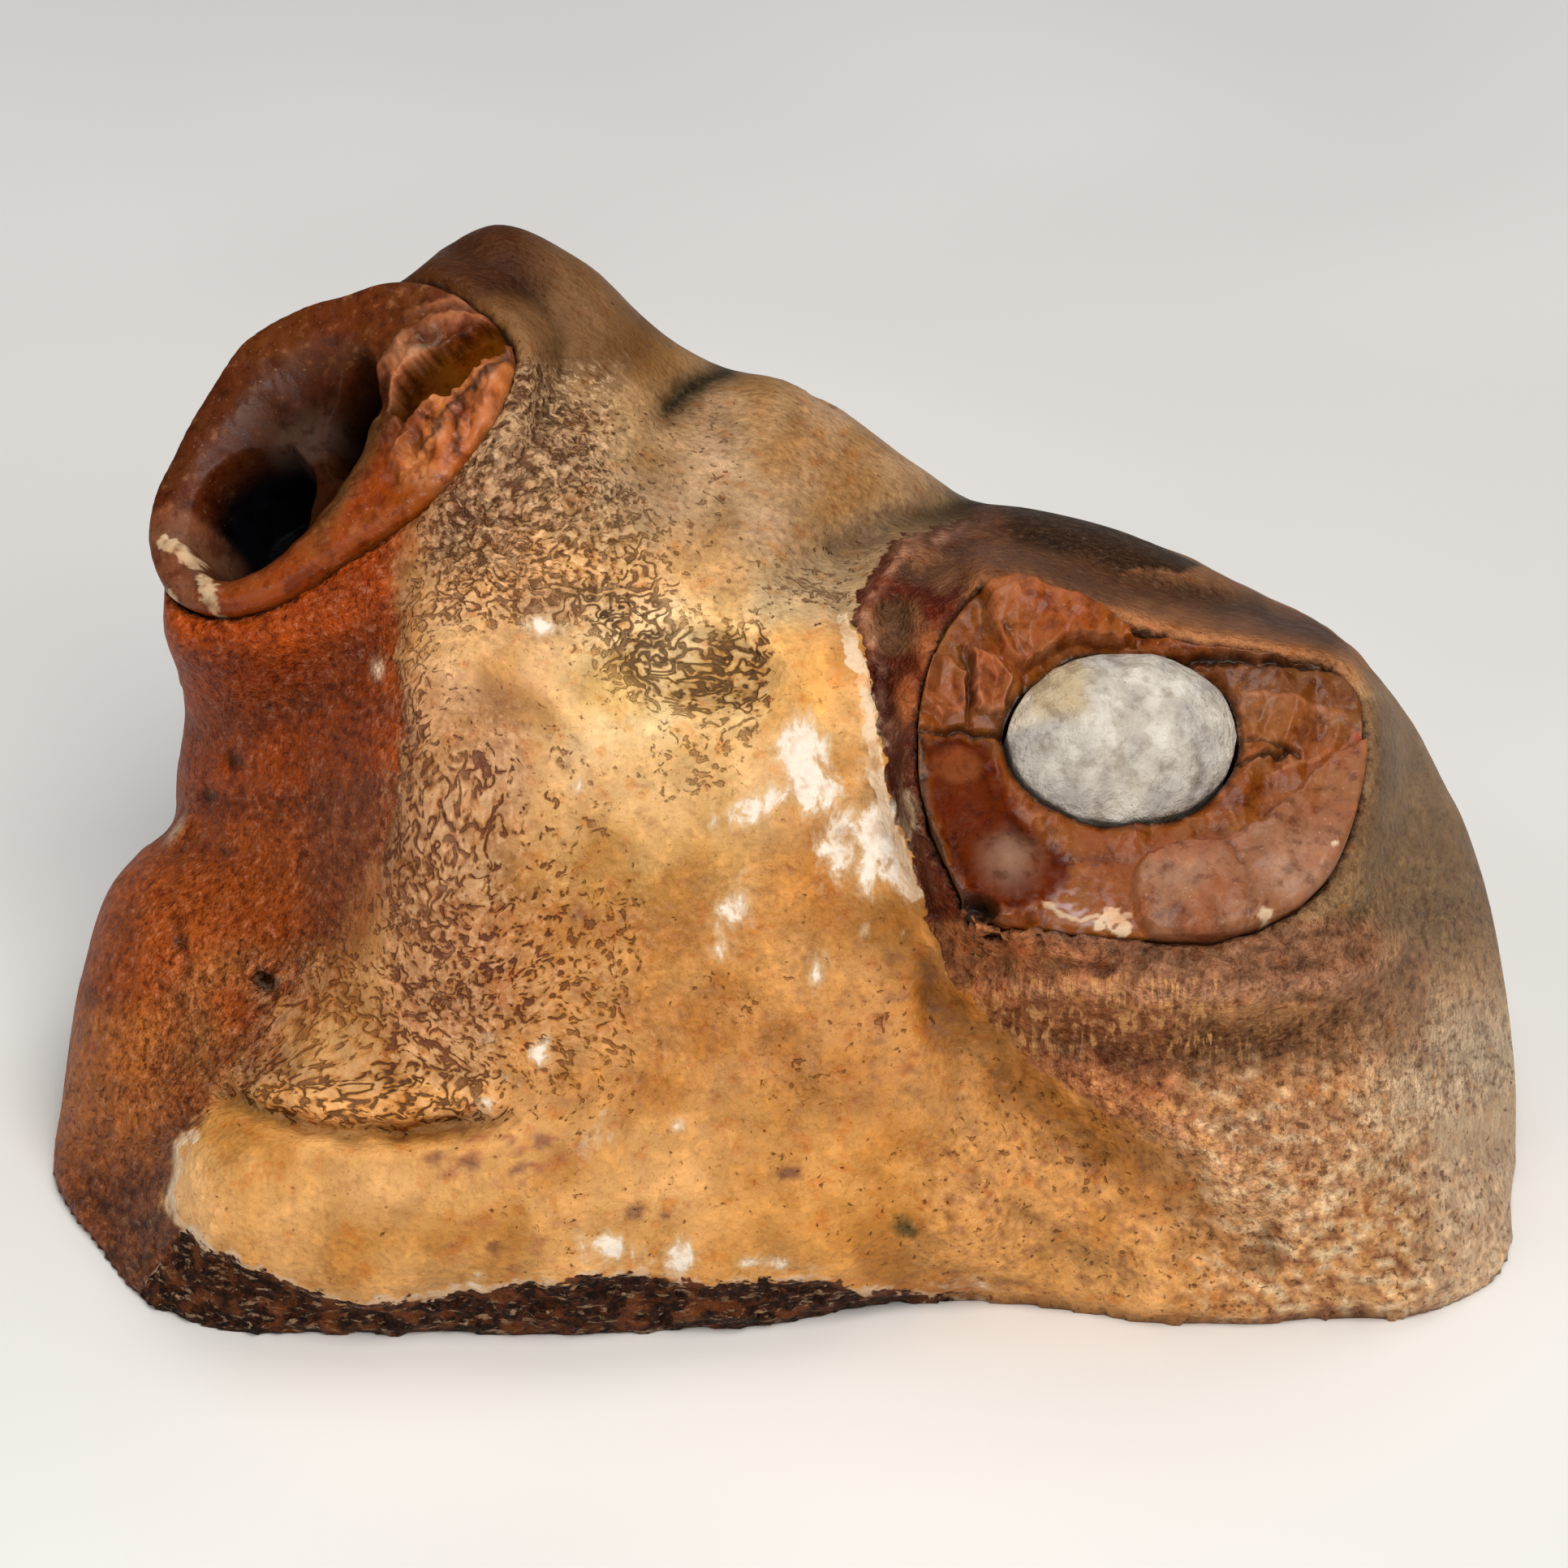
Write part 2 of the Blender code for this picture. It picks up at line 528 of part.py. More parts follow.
stations = [(-right.depth + GAP, GAP, 1.0), (-3.0, GAP, 1.0)] + [(0.0, GAP, s) for s in (1.0, 0.85, 0.68, 0.5, 0.28)]
ring = add("right_tooth_stump", turned(right, None, stations, SIDES, right_top),
           finish("orange_brown_dentine", (0.30, 0.10, 0.035), 0.3))
cut(ring, add("pocket_cutter", plug([(-CORE_DEPTH, -GAP, 0.86), (-CORE_DEPTH + 1.2, -GAP, 1.0),
                                     (6.0, -GAP, 1.0)], 28)))

add("right_tooth_core", plug([(-CORE_DEPTH + GAP, 0.0, 0.84), (-CORE_DEPTH + 1.2 + GAP, 0.0, 1.0),
                              (-0.3, 0.0, 1.0), (0.0, 0.0, 0.98), (0.0, 0.0, 0.86),
                              (0.0, 0.0, 0.66), (0.0, 0.0, 0.36)], 28, core_top),
    finish("grey_stone_filling", (0.52, 0.50, 0.45), 0.6))
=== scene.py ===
"""The looks of the fossil jaw section: fine meshes of the bone and the two roots,
their procedural finishes, the camera, the floor and the lights."""

import bpy
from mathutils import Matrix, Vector


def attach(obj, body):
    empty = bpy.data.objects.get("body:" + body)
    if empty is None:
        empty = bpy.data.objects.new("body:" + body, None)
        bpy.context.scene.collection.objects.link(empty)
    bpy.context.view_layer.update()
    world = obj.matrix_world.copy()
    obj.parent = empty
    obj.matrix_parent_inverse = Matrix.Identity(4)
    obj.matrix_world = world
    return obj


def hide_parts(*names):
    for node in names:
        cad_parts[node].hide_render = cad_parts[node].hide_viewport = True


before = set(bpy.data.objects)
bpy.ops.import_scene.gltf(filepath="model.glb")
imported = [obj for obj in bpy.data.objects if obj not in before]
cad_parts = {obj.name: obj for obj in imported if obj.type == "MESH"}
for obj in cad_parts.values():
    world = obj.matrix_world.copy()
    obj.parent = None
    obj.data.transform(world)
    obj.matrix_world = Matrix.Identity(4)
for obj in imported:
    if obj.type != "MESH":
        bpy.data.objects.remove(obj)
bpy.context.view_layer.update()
import numpy as np
from math import sin, cos, radians, pi, sqrt

# ---------------------------------------------------------------- drawing plane
# The face is laid out on a square drawing that leans back over the base, one
# unit = UNIT mm, u to the right and v downwards.  "rise" is the height of a
# point over the drawing plane, towards the viewer, in mm.
UNIT = 0.0431          # mm per drawing unit at the plane
MID = 966.0            # middle of the drawing
LEAN = radians(28.0)   # the drawing plane faces 28 degrees above level
REACH = 420.0          # viewing distance, mm
OX, OY, OZ = 0.0, 1.0, 20.0   # the drawing's middle over the base, mm
SN, CS = sin(LEAN), cos(LEAN)


def to_world(u, v, rise):
    k = (REACH - rise) / REACH
    a = (u - MID) * UNIT * k
    b = (MID - v) * UNIT * k
    return (OX + a, OY + b * SN - rise * CS, OZ + b * CS + rise * SN)


def to_plane(x, y, z):
    x, y, z = x - OX, y - OY, z - OZ
    rise = -y * CS + z * SN
    b = y * SN + z * CS
    k = (REACH - rise) / REACH
    return MID + x / (UNIT * k), MID - b / (UNIT * k), rise


def floor_rise(u, v):
    """rise at which the base plane z = 0 is seen at (u, v)"""
    b = (MID - v) * UNIT
    return (-OZ - b * CS) / (SN - b * CS / REACH)


# ---------------------------------------------------------------- helpers
def smoothstep(a, b, x):
    t = np.clip((x - a) / (b - a), 0.0, 1.0)
    return t * t * (3.0 - 2.0 * t)


def smax(a, b, k):
    h = np.clip(0.5 + 0.5 * (a - b) / k, 0.0, 1.0)
    return b + (a - b) * h + k * h * (1.0 - h)


def spline(points, n=8, closed=True):
    """Catmull-Rom curve through the points, n pieces a span"""
    p = np.array(points, float)
    m = len(p)
    out = []
    spans = m if closed else m - 1
    t = np.linspace(0, 1, n, endpoint=False)[:, None]
    for i in range(spans):
        if closed:
            a, b, c, d = p[(i - 1) % m], p[i], p[(i + 1) % m], p[(i + 2) % m]
        else:
            a, b, c, d = p[max(i - 1, 0)], p[i], p[i + 1], p[min(i + 2, m - 1)]
        out.append(0.5 * ((2 * b) + (c - a) * t + (2 * a - 5 * b + 4 * c - d) * t ** 2
                          + (3 * b - a - 3 * c + d) * t ** 3))
    if not closed:
        out.append(p[-1:])
    return np.concatenate(out)


def line_distance(u, v, line, closed=False):
    """distance to a polyline, and the running share along it, for arrays u, v"""
    best = np.full(u.shape, 1e9)
    along = np.zeros(u.shape)
    p = np.asarray(line, float)
    q = np.roll(p, -1, axis=0) if closed else p[1:]
    if not closed:
        p = p[:-1]
    lens = np.hypot(*(q - p).T)
    total = max(lens.sum(), 1e-9)
    run = 0.0
    for a, b, ln in zip(p, q, lens):
        du, dv = b - a
        w = max(du * du + dv * dv, 1e-9)
        t = np.clip(((u - a[0]) * du + (v - a[1]) * dv) / w, 0, 1)
        dist = np.hypot(u - a[0] - t * du, v - a[1] - t * dv)
        hit = dist < best
        best = np.where(hit, dist, best)
        along = np.where(hit, (run + t * ln) / total, along)
        run += ln
    return best, along


def inside(u, v, poly):
    p = np.asarray(poly, float)
    q = np.roll(p, -1, axis=0)
    odd = np.zeros(u.shape, bool)
    for (x0, y0), (x1, y1) in zip(p, q):
        if y0 == y1:
            continue
        cross = ((y0 > v) != (y1 > v)) & (u < (x1 - x0) * (v - y0) / (y1 - y0) + x0)
        odd ^= cross
    return odd


def region(u, v, poly):
    """signed distance in drawing units, positive inside a closed outline"""
    d, _ = line_distance(u, v, poly, closed=True)
    return np.where(inside(u, v, poly), d, -d)


class Surface:
    """smooth height through landmarks (multiquadric)"""

    def __init__(self, marks, soft=45.0, loose=0.03):
        m = np.array(marks, float)
        self.p = m[:, :2] / 100.0
        self.soft = soft / 100.0
        n = len(m)
        r = np.sqrt(((self.p[:, None] - self.p[None]) ** 2).sum(-1) + self.soft ** 2)
        a = np.zeros((n + 3, n + 3))
        a[:n, :n] = loose * np.eye(n) - r
        a[:n, n] = 1
        a[:n, n + 1:] = self.p
        a[n:, :n] = a[:n, n:].T
        self.w = np.linalg.solve(a, np.concatenate([m[:, 2], np.zeros(3)]))

    def __call__(self, u, v):
        u = np.asarray(u, float) / 100.0
        v = np.asarray(v, float) / 100.0
        out = np.full(u.shape, self.w[-3]) + self.w[-2] * u + self.w[-1] * v
        for (a, b), w in zip(self.p, self.w[:-3]):
            out -= w * np.sqrt((u - a) ** 2 + (v - b) ** 2 + self.soft ** 2)
        return out


# ---------------------------------------------------------------- outline
OUTLINE = [(616, 273), (653, 283), (700, 309), (739, 336), (790, 388), (840, 427), (900, 455),
           (965, 468), (1020, 500), (1080, 541), (1140, 580), (1195, 616), (1260, 625), (1320, 637),
           (1380, 653), (1440, 678), (1500, 707), (1560, 737), (1620, 765), (1680, 813), (1740, 890),
           (1775, 960), (1800, 1004), (1822, 1065), (1840, 1130), (1856, 1210), (1871, 1290),
           (1876, 1350), (1870, 1420), (1861, 1480), (1865, 1540), (1850, 1585), (1800, 1609),
           (1740, 1618), (1680, 1614), (1620, 1618), (1560, 1626), (1470, 1624), (1380, 1616),
           (1290, 1601), (1200, 1594), (1140, 1597), (1080, 1608), (1020, 1616), (960, 1630),
           (840, 1637), (700, 1645), (560, 1641), (420, 1643), (285, 1642), (200, 1622), (150, 1588),
           (112, 1540), (76, 1485), (63, 1440), (74, 1370), (85, 1290), (97, 1215), (118, 1135),
           (140, 1086), (175, 1048), (214, 1012), (219, 950), (228, 880), (222, 835), (204, 780),
           (203, 730), (204, 680), (211, 622), (230, 578), (258, 520), (290, 469), (320, 428),
           (374, 394), (428, 376), (484, 353), (524, 324), (560, 293), (588, 278)]

# ---------------------------------------------------------------- bone, height landmarks
BONE = [
    # crest behind the left tooth, back saddle and the shoulder behind the right tooth
    (616, 300, -2.5), (560, 330, -3.5), (700, 350, -2.5), (660, 420, -0.6), (740, 400, -1.8),
    (790, 450, -1.6), (855, 476, -2.9), (900, 500, -1.8), (960, 500, -1.6), (1030, 560, -0.8),
    (1100, 600, -0.8), (1180, 645, -1.8), (760, 540, 2.6), (900, 580, 2.2), (980, 640, 3.6),
    (1080, 650, 1.6), (1040, 690, 4.0), (700, 480, 1.6), (640, 500, 3.4), (640, 570, 6.2),
    # face under the left tooth
    (560, 640, 6.8), (480, 705, 6.4), (700, 640, 7.4), (820, 680, 6.8), (930, 720, 7.4),
    (1030, 740, 7.6), (620, 740, 10.4), (740, 760, 10.2), (860, 800, 9.7), (960, 800, 10.6),
    (520, 760, 9.6), (500, 840, 11.2), (505, 950, 12.4), (510, 1080, 12.9), (505, 1190, 12.9),
    (600, 880, 12.6), (600, 1050, 13.4), (720, 900, 12.8), (720, 1100, 13.5), (850, 930, 12.6),
    (850, 1150, 13.6), (980, 900, 12.3), (980, 1100, 13.3), (1030, 830, 11.6), (600, 1230, 13.6),
    (760, 1300, 14.0), (950, 1300, 14.0),
    # seat of the left tooth, and the ground round it
    (400, 600, 1.6), (320, 500, -4.6), (450, 440, -3.0), (330, 650, -0.6), (240, 650, -3.4),
    (560, 420, 0.0), (520, 520, 2.6), (345, 765, 2.8), (420, 715, 5.0), (270, 775, -0.6),
    # side wall to the left
    (455, 800, 6.8), (380, 800, 2.6), (300, 800, -0.8), (235, 810, -2.8),
    (470, 930, 10.4), (400, 930, 4.2), (310, 930, -0.6), (240, 930, -4.0),
    (465, 1080, 10.8), (400, 1080, 6.0), (310, 1060, 1.0), (230, 1050, -2.4),
    (455, 1190, 11.4), (390, 1190, 8.4), (310, 1180, 4.6), (220, 1170, 2.6), (140, 1160, -0.6),
    (400, 1285, 10.9), (310, 1285, 8.2), (220, 1290, 5.2), (130, 1290, 2.2), (100, 1400, 1.6),
    (180, 1400, 6.2), (170, 1500, 6.8), (110, 1480, 2.4), (190, 1580, 9.2),
    # smooth lobe
    (290, 1345, 9.8), (240, 1415, 12.0), (330, 1420, 14.6), (225, 1490, 12.6), (330, 1500, 15.4),
    (450, 1450, 16.0), (450, 1530, 16.2), (600, 1450, 16.2), (600, 1530, 16.2), (760, 1450, 15.9),
    (760, 1530, 15.9), (300, 1560, 14.2), (380, 1345, 12.6), (470, 1350, 13.4), (560, 1345, 13.8),
    (660, 1350, 14.4), (920, 1440, 15.2), (920, 1540, 15.0),
    # under edge
    (285, 1635, 12.2), (420, 1636, 12.4), (560, 1636, 12.6), (700, 1638, 12.6), (840, 1632, 12.2),
    (960, 1624, 11.8), (1020, 1612, 11.2), (1080, 1602, 10.4), (1200, 1590, 9.4), (450, 1600, 14.6),
    (700, 1590, 15.2), (880, 1585, 14.4), (1040, 1560, 13.6), (1200, 1550, 12.4), (1290, 1595, 10.2),
    (1380, 1608, 10.8), (1470, 1617, 11.2), (1560, 1619, 11.4), (1620, 1611, 11.0), (1740, 1610, 11.0),
    (1800, 1600, 9.6), (1845, 1575, 8.0),
    # broad face left of the pedestal
    (1100, 1150, 13.2), (1120, 1250, 13.6), (1100, 1400, 14.4), (1200, 1330, 13.4), (1250, 1450, 13.4),
    (1350, 1520, 12.6), (1330, 1440, 13.0), (1450, 1540, 13.2), (1150, 1500, 13.8), (1420, 1590, 12.4),
    # collar and pedestal of the right tooth
    (1085, 745, 8.6), (1090, 850, 11.6), (1105, 950, 12.8), (1140, 1080, 14.2), (1180, 1180, 14.6),
    (1150, 690, 5.8), (1216, 730, 7.4), (1300, 770, 8.6), (1384, 800, 9.6), (1470, 830, 10.2),
    (1560, 825, 10.2), (1640, 835, 9.2), (1700, 920, 9.4), (1702, 1010, 11.6), (1664, 1090, 14.8),
    (1590, 1150, 17.2), (1492, 1180, 18.8), (1400, 1185, 18.8), (1300, 1175, 17.8), (1220, 1150, 15.8),
    (1290, 1215, 17.4), (1400, 1228, 18.8), (1500, 1228, 18.8), (1600, 1215, 17.6), (1690, 1180, 14.4),
    (1300, 1290, 14.6), (1400, 1300, 15.8), (1500, 1300, 16.0), (1600, 1290, 15.2), (1700, 1270, 12.8),
    (1400, 1380, 14.6), (1500, 1400, 15.4), (1600, 1400, 15.2), (1700, 1390, 13.4), (1500, 1480, 14.6),
    (1600, 1500, 14.4), (1700, 1500, 12.9), (1400, 940, 13.4), (1300, 900, 12.4), (1500, 950, 13.4),
    (1400, 1050, 15.6),
    # right flank
    (1765, 1000, 6.2), (1750, 930, 5.4), (1715, 860, 5.4), (1770, 1150, 8.0), (1800, 1250, 7.4),
    (1800, 1380, 8.2), (1800, 1500, 9.0), (1840, 1300, 4.4), (1845, 1420, 4.6), (1840, 1510, 6.4),
    # shoulder behind the right tooth
    (1250, 655, 0.6), (1320, 668, 1.6), (1400, 690, 2.4), (1480, 720, 2.8), (1560, 765, 3.2),
    (1640, 800, 3.4), (1250, 690, 3.0), (1350, 730, 4.6), (1450, 770, 5.6), (1560, 800, 6.0),
]


def edge_drop(u, v, S):
    """how far the face rolls back towards the outline, mm (S in mm)"""
    low = smoothstep(1400, 1500, v)                      # no roll at the under edge
    right = smoothstep(1200, 1700, u)
    left = 1 - smoothstep(150, 420, u)
    reach = 5.2 + 3.0 * right - 1.2 * left * smoothstep(700, 800, v)
    deep = 5.0 + 3.6 * right + 1.0 * left
    seat = (1 - smoothstep(480, 600, u)) * (1 - smoothstep(700, 820, v))
    deep = deep * (1 - 0.45 * seat)
    low_side = np.maximum(1 - smoothstep(60, 200, u), smoothstep(1700, 1850, u))
    deep = deep * (1 - low * (1 - 0.35 * low_side))
    reach = reach * (1 - 0.5 * low)
    t = 1 - np.clip(S / reach, 0, 1)
    return deep * (1 - np.sqrt(np.clip(1 - t ** 2, 0, 1)))


# ---------------------------------------------------------------- the two teeth
class Tooth:
    """a root with a slanting rim: local a, b in the rim plane and h along the axis, mm"""

    def __init__(self, seat, rise, slope, rim, depth, taper):
        self.seat, self.rise, self.slope = seat, rise, slope
        self.depth, self.taper = depth, taper
        p = np.array(to_world(seat[0], seat[1], rise))
        e = 4.0
        pu = np.array(to_world(seat[0] + e, seat[1], rise + slope[0] * e)) - p
        pv = np.array(to_world(seat[0], seat[1] - e, rise - slope[1] * e)) - p
        n = np.cross(pu, pv)
        n /= np.linalg.norm(n)
        a = pu / np.linalg.norm(pu)
        self.p, self.n, self.a = p, n, a
        self.b = np.cross(n, a)
        self.rim = self.polar(rim)

    def plane_rise(self, u, v):
        return (self.rise + self.slope[0] * (u - self.seat[0])
                + self.slope[1] * (v - self.seat[1]))

    def polar(self, outline):
        pts = spline(outline, 8)
        w = np.array(to_world(pts[:, 0], pts[:, 1], self.plane_rise(pts[:, 0], pts[:, 1])))
        q = w - self.p[:, None]
        a, b = self.a @ q, self.b @ q
        ang, rad = np.arctan2(b, a), np.hypot(a, b)
        order = np.argsort(ang)
        return ang[order], rad[order]

    def radius(self, ang, table=None):
        t, r = self.rim if table is None else table
        return np.interp(np.mod(ang + pi, 2 * pi) - pi, t, r, period=2 * pi)

    def local(self, x, y, z):
        q = np.stack([x - self.p[0], y - self.p[1], z - self.p[2]])
        return (np.tensordot(self.a, q, 1), np.tensordot(self.b, q, 1), np.tensordot(self.n, q, 1))

    def world(self, a, b, h):
        a, b, h = np.asarray(a), np.asarray(b), np.asarray(h)
        return [self.p[i] + a * self.a[i] + b * self.b[i] + h * self.n[i] for i in range(3)]

    def narrow(self, h):
        """share of the rim's radius left at height h (below the rim h < 0)"""
        return 1.0 + self.taper * np.minimum(h, 0.0)


LEFT_RIM = [(222, 747), (195, 715), (181, 663), (190, 612), (207, 573), (237, 514), (270, 461),
            (302, 418), (362, 381), (421, 363), (478, 347), (540, 352), (592, 385), (624, 412),
            (634, 445), (617, 500), (580, 556), (524, 622), (431, 681), (345, 736), (280, 757)]
RIGHT_RIM = [(1130, 919), (1134, 858), (1152, 800), (1180, 752), (1217, 722), (1270, 722),
             (1325, 744), (1390, 768), (1470, 790), (1560, 802), (1632, 816), (1672, 852), (1684, 915),
             (1672, 1000), (1640, 1078), (1580, 1130), (1492, 1157), (1400, 1152), (1300, 1142),
             (1212, 1122), (1164, 1055), (1138, 985)]
CORE_RIM = [(1241, 905), (1252, 868), (1276, 838), (1312, 815), (1350, 802), (1392, 799),
            (1440, 806), (1486, 828), (1517, 862), (1527, 905), (1516, 948), (1486, 982),
            (1440, 1003), (1390, 1010), (1338, 1005), (1290, 986), (1256, 950)]

left = Tooth((415, 560), 2.0, (0.0244, 0.0303), LEFT_RIM, 10.0, 0.022)
right = Tooth((1400, 935), 14.2, (-0.006, 0.0220), RIGHT_RIM, 9.0, 0.012)
core_rim = right.polar(CORE_RIM)


def blob(u, v, cu, cv, ru, rv, turn, soft=0.35):
    """1 inside an ellipse on the drawing, 0 outside, with a soft edge"""
    c, s = cos(turn), sin(turn)
    x, y = (u - cu) * c + (v - cv) * s, -(u - cu) * s + (v - cv) * c
    e = np.sqrt((x / ru) ** 2 + (y / rv) ** 2)
    return 1 - smoothstep(1 - soft, 1 + soft * 0.4, e)


# ---------------------------------------------------------------- sizes
GAP = 0.3
BACK = 30.0
HALF = 39.6
CORE_DEPTH = 5.5
CORE_CROWN = 1.4
MM = 0.001
CELL = 0.43      # mm, facet size of the fine bone


def back_face(x, z):
    plan = np.sqrt(np.clip(1 - np.clip(np.abs(x + 0.3) / HALF, 0, 1) ** 3.8, 0, 1))
    belly = 0.88 + 0.12 * np.sin(np.clip((z + 6) / 50, 0, 1) * pi)
    trough = 1.6 * np.exp(-((z - 17) / 6.0) ** 2) * smoothstep(36, 20, np.abs(x))
    peak = 3.4 * np.exp(-((x + 15.5) / 9.0) ** 2) * smoothstep(27, 41, z)
    return -6 + BACK * plan * belly - trough + peak


# ---------------------------------------------------------------- noise
def _hash(i, j, k, seed):
    h = (i * 374761393 + j * 668265263 + k * 2147483647 + seed * 974634777) & 0xFFFFFFFF
    h = ((h ^ (h >> 13)) * 1274126177) & 0xFFFFFFFF
    h = ((h ^ (h >> 16)) * 2246822519) & 0xFFFFFFFF
    return (h ^ (h >> 15)) & 0xFFFFFFFF


GRADS = np.array([(x, y, z) for x in (-1, 0, 1) for y in (-1, 0, 1) for z in (-1, 0, 1)
                  if abs(x) + abs(y) + abs(z) == 2], float)


def noise(x, y, z=0.0, seed=0):
    """smooth gradient noise, about -1 to 1, one cell a unit"""
    x, y, z = np.broadcast_arrays(np.asarray(x, float), y, z)
    i, j, k = np.floor(x).astype(np.int64), np.floor(y).astype(np.int64), np.floor(z).astype(np.int64)
    fx, fy, fz = x - i, y - j, z - k
    sx, sy, sz = (t * t * t * (t * (t * 6 - 15) + 10) for t in (fx, fy, fz))
    out = np.zeros(x.shape)
    for a in (0, 1):
        wx = sx if a else 1 - sx
        for b in (0, 1):
            wy = sy if b else 1 - sy
            for c in (0, 1):
                wz = sz if c else 1 - sz
                g = GRADS[_hash(i + a, j + b, k + c, seed) % 12]
                out += wx * wy * wz * (g[..., 0] * (fx - a) + g[..., 1] * (fy - b) + g[..., 2] * (fz - c))
    return out * 1.1


def fbm(x, y, z=0.0, seed=0, octaves=3, gain=0.5):
    out, amp = 0.0, 1.0
    for o in range(octaves):
        out = out + amp * noise(np.asarray(x) * 2 ** o, np.asarray(y) * 2 ** o, np.asarray(z) * 2 ** o, seed + 7 * o)
        amp *= gain
    return out


def facets(x, y, seed, slope=0.5, cell=1.0):
    """broken, flat-faced relief: the lowest of tilted planes, one to a cell"""
    x, y = np.asarray(x, float) / cell, np.asarray(y, float) / cell
    i, j = np.floor(x).astype(np.int64), np.floor(y).astype(np.int64)
    best = np.full(x.shape, 1e9)
    for a in (-1, 0, 1):
        for b in (-1, 0, 1):
            h = _hash(i + a, j + b, np.zeros_like(i), seed)
            cx = i + a + 0.2 + 0.6 * ((h & 255) / 255.0)
            cy = j + b + 0.2 + 0.6 * (((h >> 8) & 255) / 255.0)
            gx = ((h >> 16) & 255) / 127.5 - 1
            gy = ((h >> 24) & 255) / 127.5 - 1
            d2 = (x - cx) ** 2 + (y - cy) ** 2
            best = np.minimum(best, slope * (gx * (x - cx) + gy * (y - cy)) + 0.9 * d2)
    return best * cell


def chips(x, y, seed, cell=1.0, turn=0.6):
    """broken surface of flat three-cornered faces, about -1 to 1"""
    c, s = cos(turn), sin(turn)
    x, y = (np.asarray(x, float) * c - np.asarray(y, float) * s) / cell, (np.asarray(x, float) * s + np.asarray(y, float) * c) / cell
    x, y = x + 0.45 * noise(x * 0.7, y * 0.7, 0, seed + 1), y + 0.45 * noise(x * 0.7, y * 0.7, 5, seed + 2)
    i, j = np.floor(x).astype(np.int64), np.floor(y).astype(np.int64)
    fx, fy = x - i, y - j
    k = np.zeros_like(i)
    h = [[(_hash(i + a, j + b, k, seed) & 1023) / 511.5 - 1 for b in (0, 1)] for a in (0, 1)]
    low = h[0][0] + fx * (h[1][0] - h[0][0]) + fy * (h[0][1] - h[0][0])
    top = h[1][1] + (1 - fx) * (h[0][1] - h[1][1]) + (1 - fy) * (h[1][0] - h[1][1])
    return np.where(fx + fy < 1, low, top)


# ---------------------------------------------------------------- lines drawn on the face
COLLAR_EDGE = [(1196, 640), (1150, 652), (1111, 660), (1080, 690), (1055, 735), (1052, 762), (1062, 800), (1076, 830),
               (1080, 880), (1090, 945), (1103, 1000), (1124, 1060), (1140, 1116), (1158, 1165), (1172, 1200),
               (1207, 1238), (1240, 1275), (1275, 1312), (1320, 1345), (1362, 1374), (1418, 1397),
               (1470, 1428), (1514, 1478), (1555, 1503)]
COLLAR_REST = [(1640, 1470), (1760, 1400), (1960, 1300), (1960, 560), (1200, 520)]
COLLAR_AREA = COLLAR_EDGE + COLLAR_REST
WALL_AREA = [(140, 600), (345, 640), (430, 660), (500, 640), (497, 740), (490, 800), (499, 870), (494, 940),
             (492, 1000), (478, 1050), (455, 1105), (425, 1165), (390, 1215), (350, 1262), (312, 1310),
             (282, 1345), (243, 1380), (220, 1414), (208, 1452), (202, 1486), (222, 1516), (262, 1546), (300, 1568),
             (340, 1590), (360, 1720), (-60, 1720), (-60, 600)]
LOBE = [(288, 1350), (330, 1368), (375, 1387), (430, 1393), (484, 1393), (540, 1388), (592, 1380), (650, 1372),
        (760, 1360), (900, 1380), (1100, 1420), (1260, 1480), (1290, 1580), (1200, 1588), (1072, 1590), (1010, 1577),
        (880, 1580), (785, 1567), (730, 1573), (673, 1577), (620, 1584), (570, 1590), (500, 1600), (440, 1604),
        (395, 1594), (353, 1578), (300, 1556), (262, 1534), (228, 1504), (203, 1476), (206, 1440), (222, 1404),
        (250, 1374)]
STRIP_TOP = [(190, 1560), (210, 1530), (228, 1516), (262, 1536), (300, 1558), (353, 1580),
             (395, 1596), (440, 1606), (500, 1602), (570, 1592), (620, 1586), (673, 1579), (730, 1575),
             (785, 1569), (830, 1578), (880, 1582), (940, 1576), (1010, 1579), (1072, 1593), (1140, 1592),
             (1205, 1596)]
STRIP_AREA = STRIP_TOP + [(1240, 1720), (150, 1720), (165, 1600)]
CREASE_LOBE = [(282, 1352), (330, 1372), (375, 1390), (430, 1397), (484, 1397), (540, 1391), (592, 1382), (650, 1376)]
LEDGE_UNDER = [(1190, 1232), (1240, 1262), (1300, 1282), (1360, 1292), (1420, 1296), (1500, 1294), (1580, 1284), (1660, 1262), (1720, 1235)]
LEDGE_LIP = [(1170, 1196), (1220, 1216), (1280, 1222), (1340, 1219), (1420, 1226), (1500, 1228), (1580, 1220), (1650, 1206), (1700, 1186), (1725, 1150)]
BACK_SHADOW = [(1262, 682), (1310, 706), (1370, 722), (1440, 735), (1510, 752), (1580, 772), (1640, 790)]
SADDLE_CREASE = [(1200, 622), (1150, 636), (1095, 650), (1040, 676), (1005, 690)]
SADDLE_PIT = [(900, 452), (868, 466), (845, 482), (828, 500)]
VALLEY_LOW = [(1262, 1500), (1300, 1528), (1345, 1552), (1400, 1574)]
SIDE_CRACK = [(218, 1130), (222, 1160), (230, 1180), (233, 1198)]


def rub(dist, width):
    """soft bump of a line, 1 on the line and 0 at width away"""
    return np.exp(-(dist / width) ** 2)


STEP = 3.0
gu = np.arange(-60.0, 2000.0, STEP)
gv = np.arange(120.0, 1860.0, STEP)
GU, GV = np.meshgrid(gu, gv)


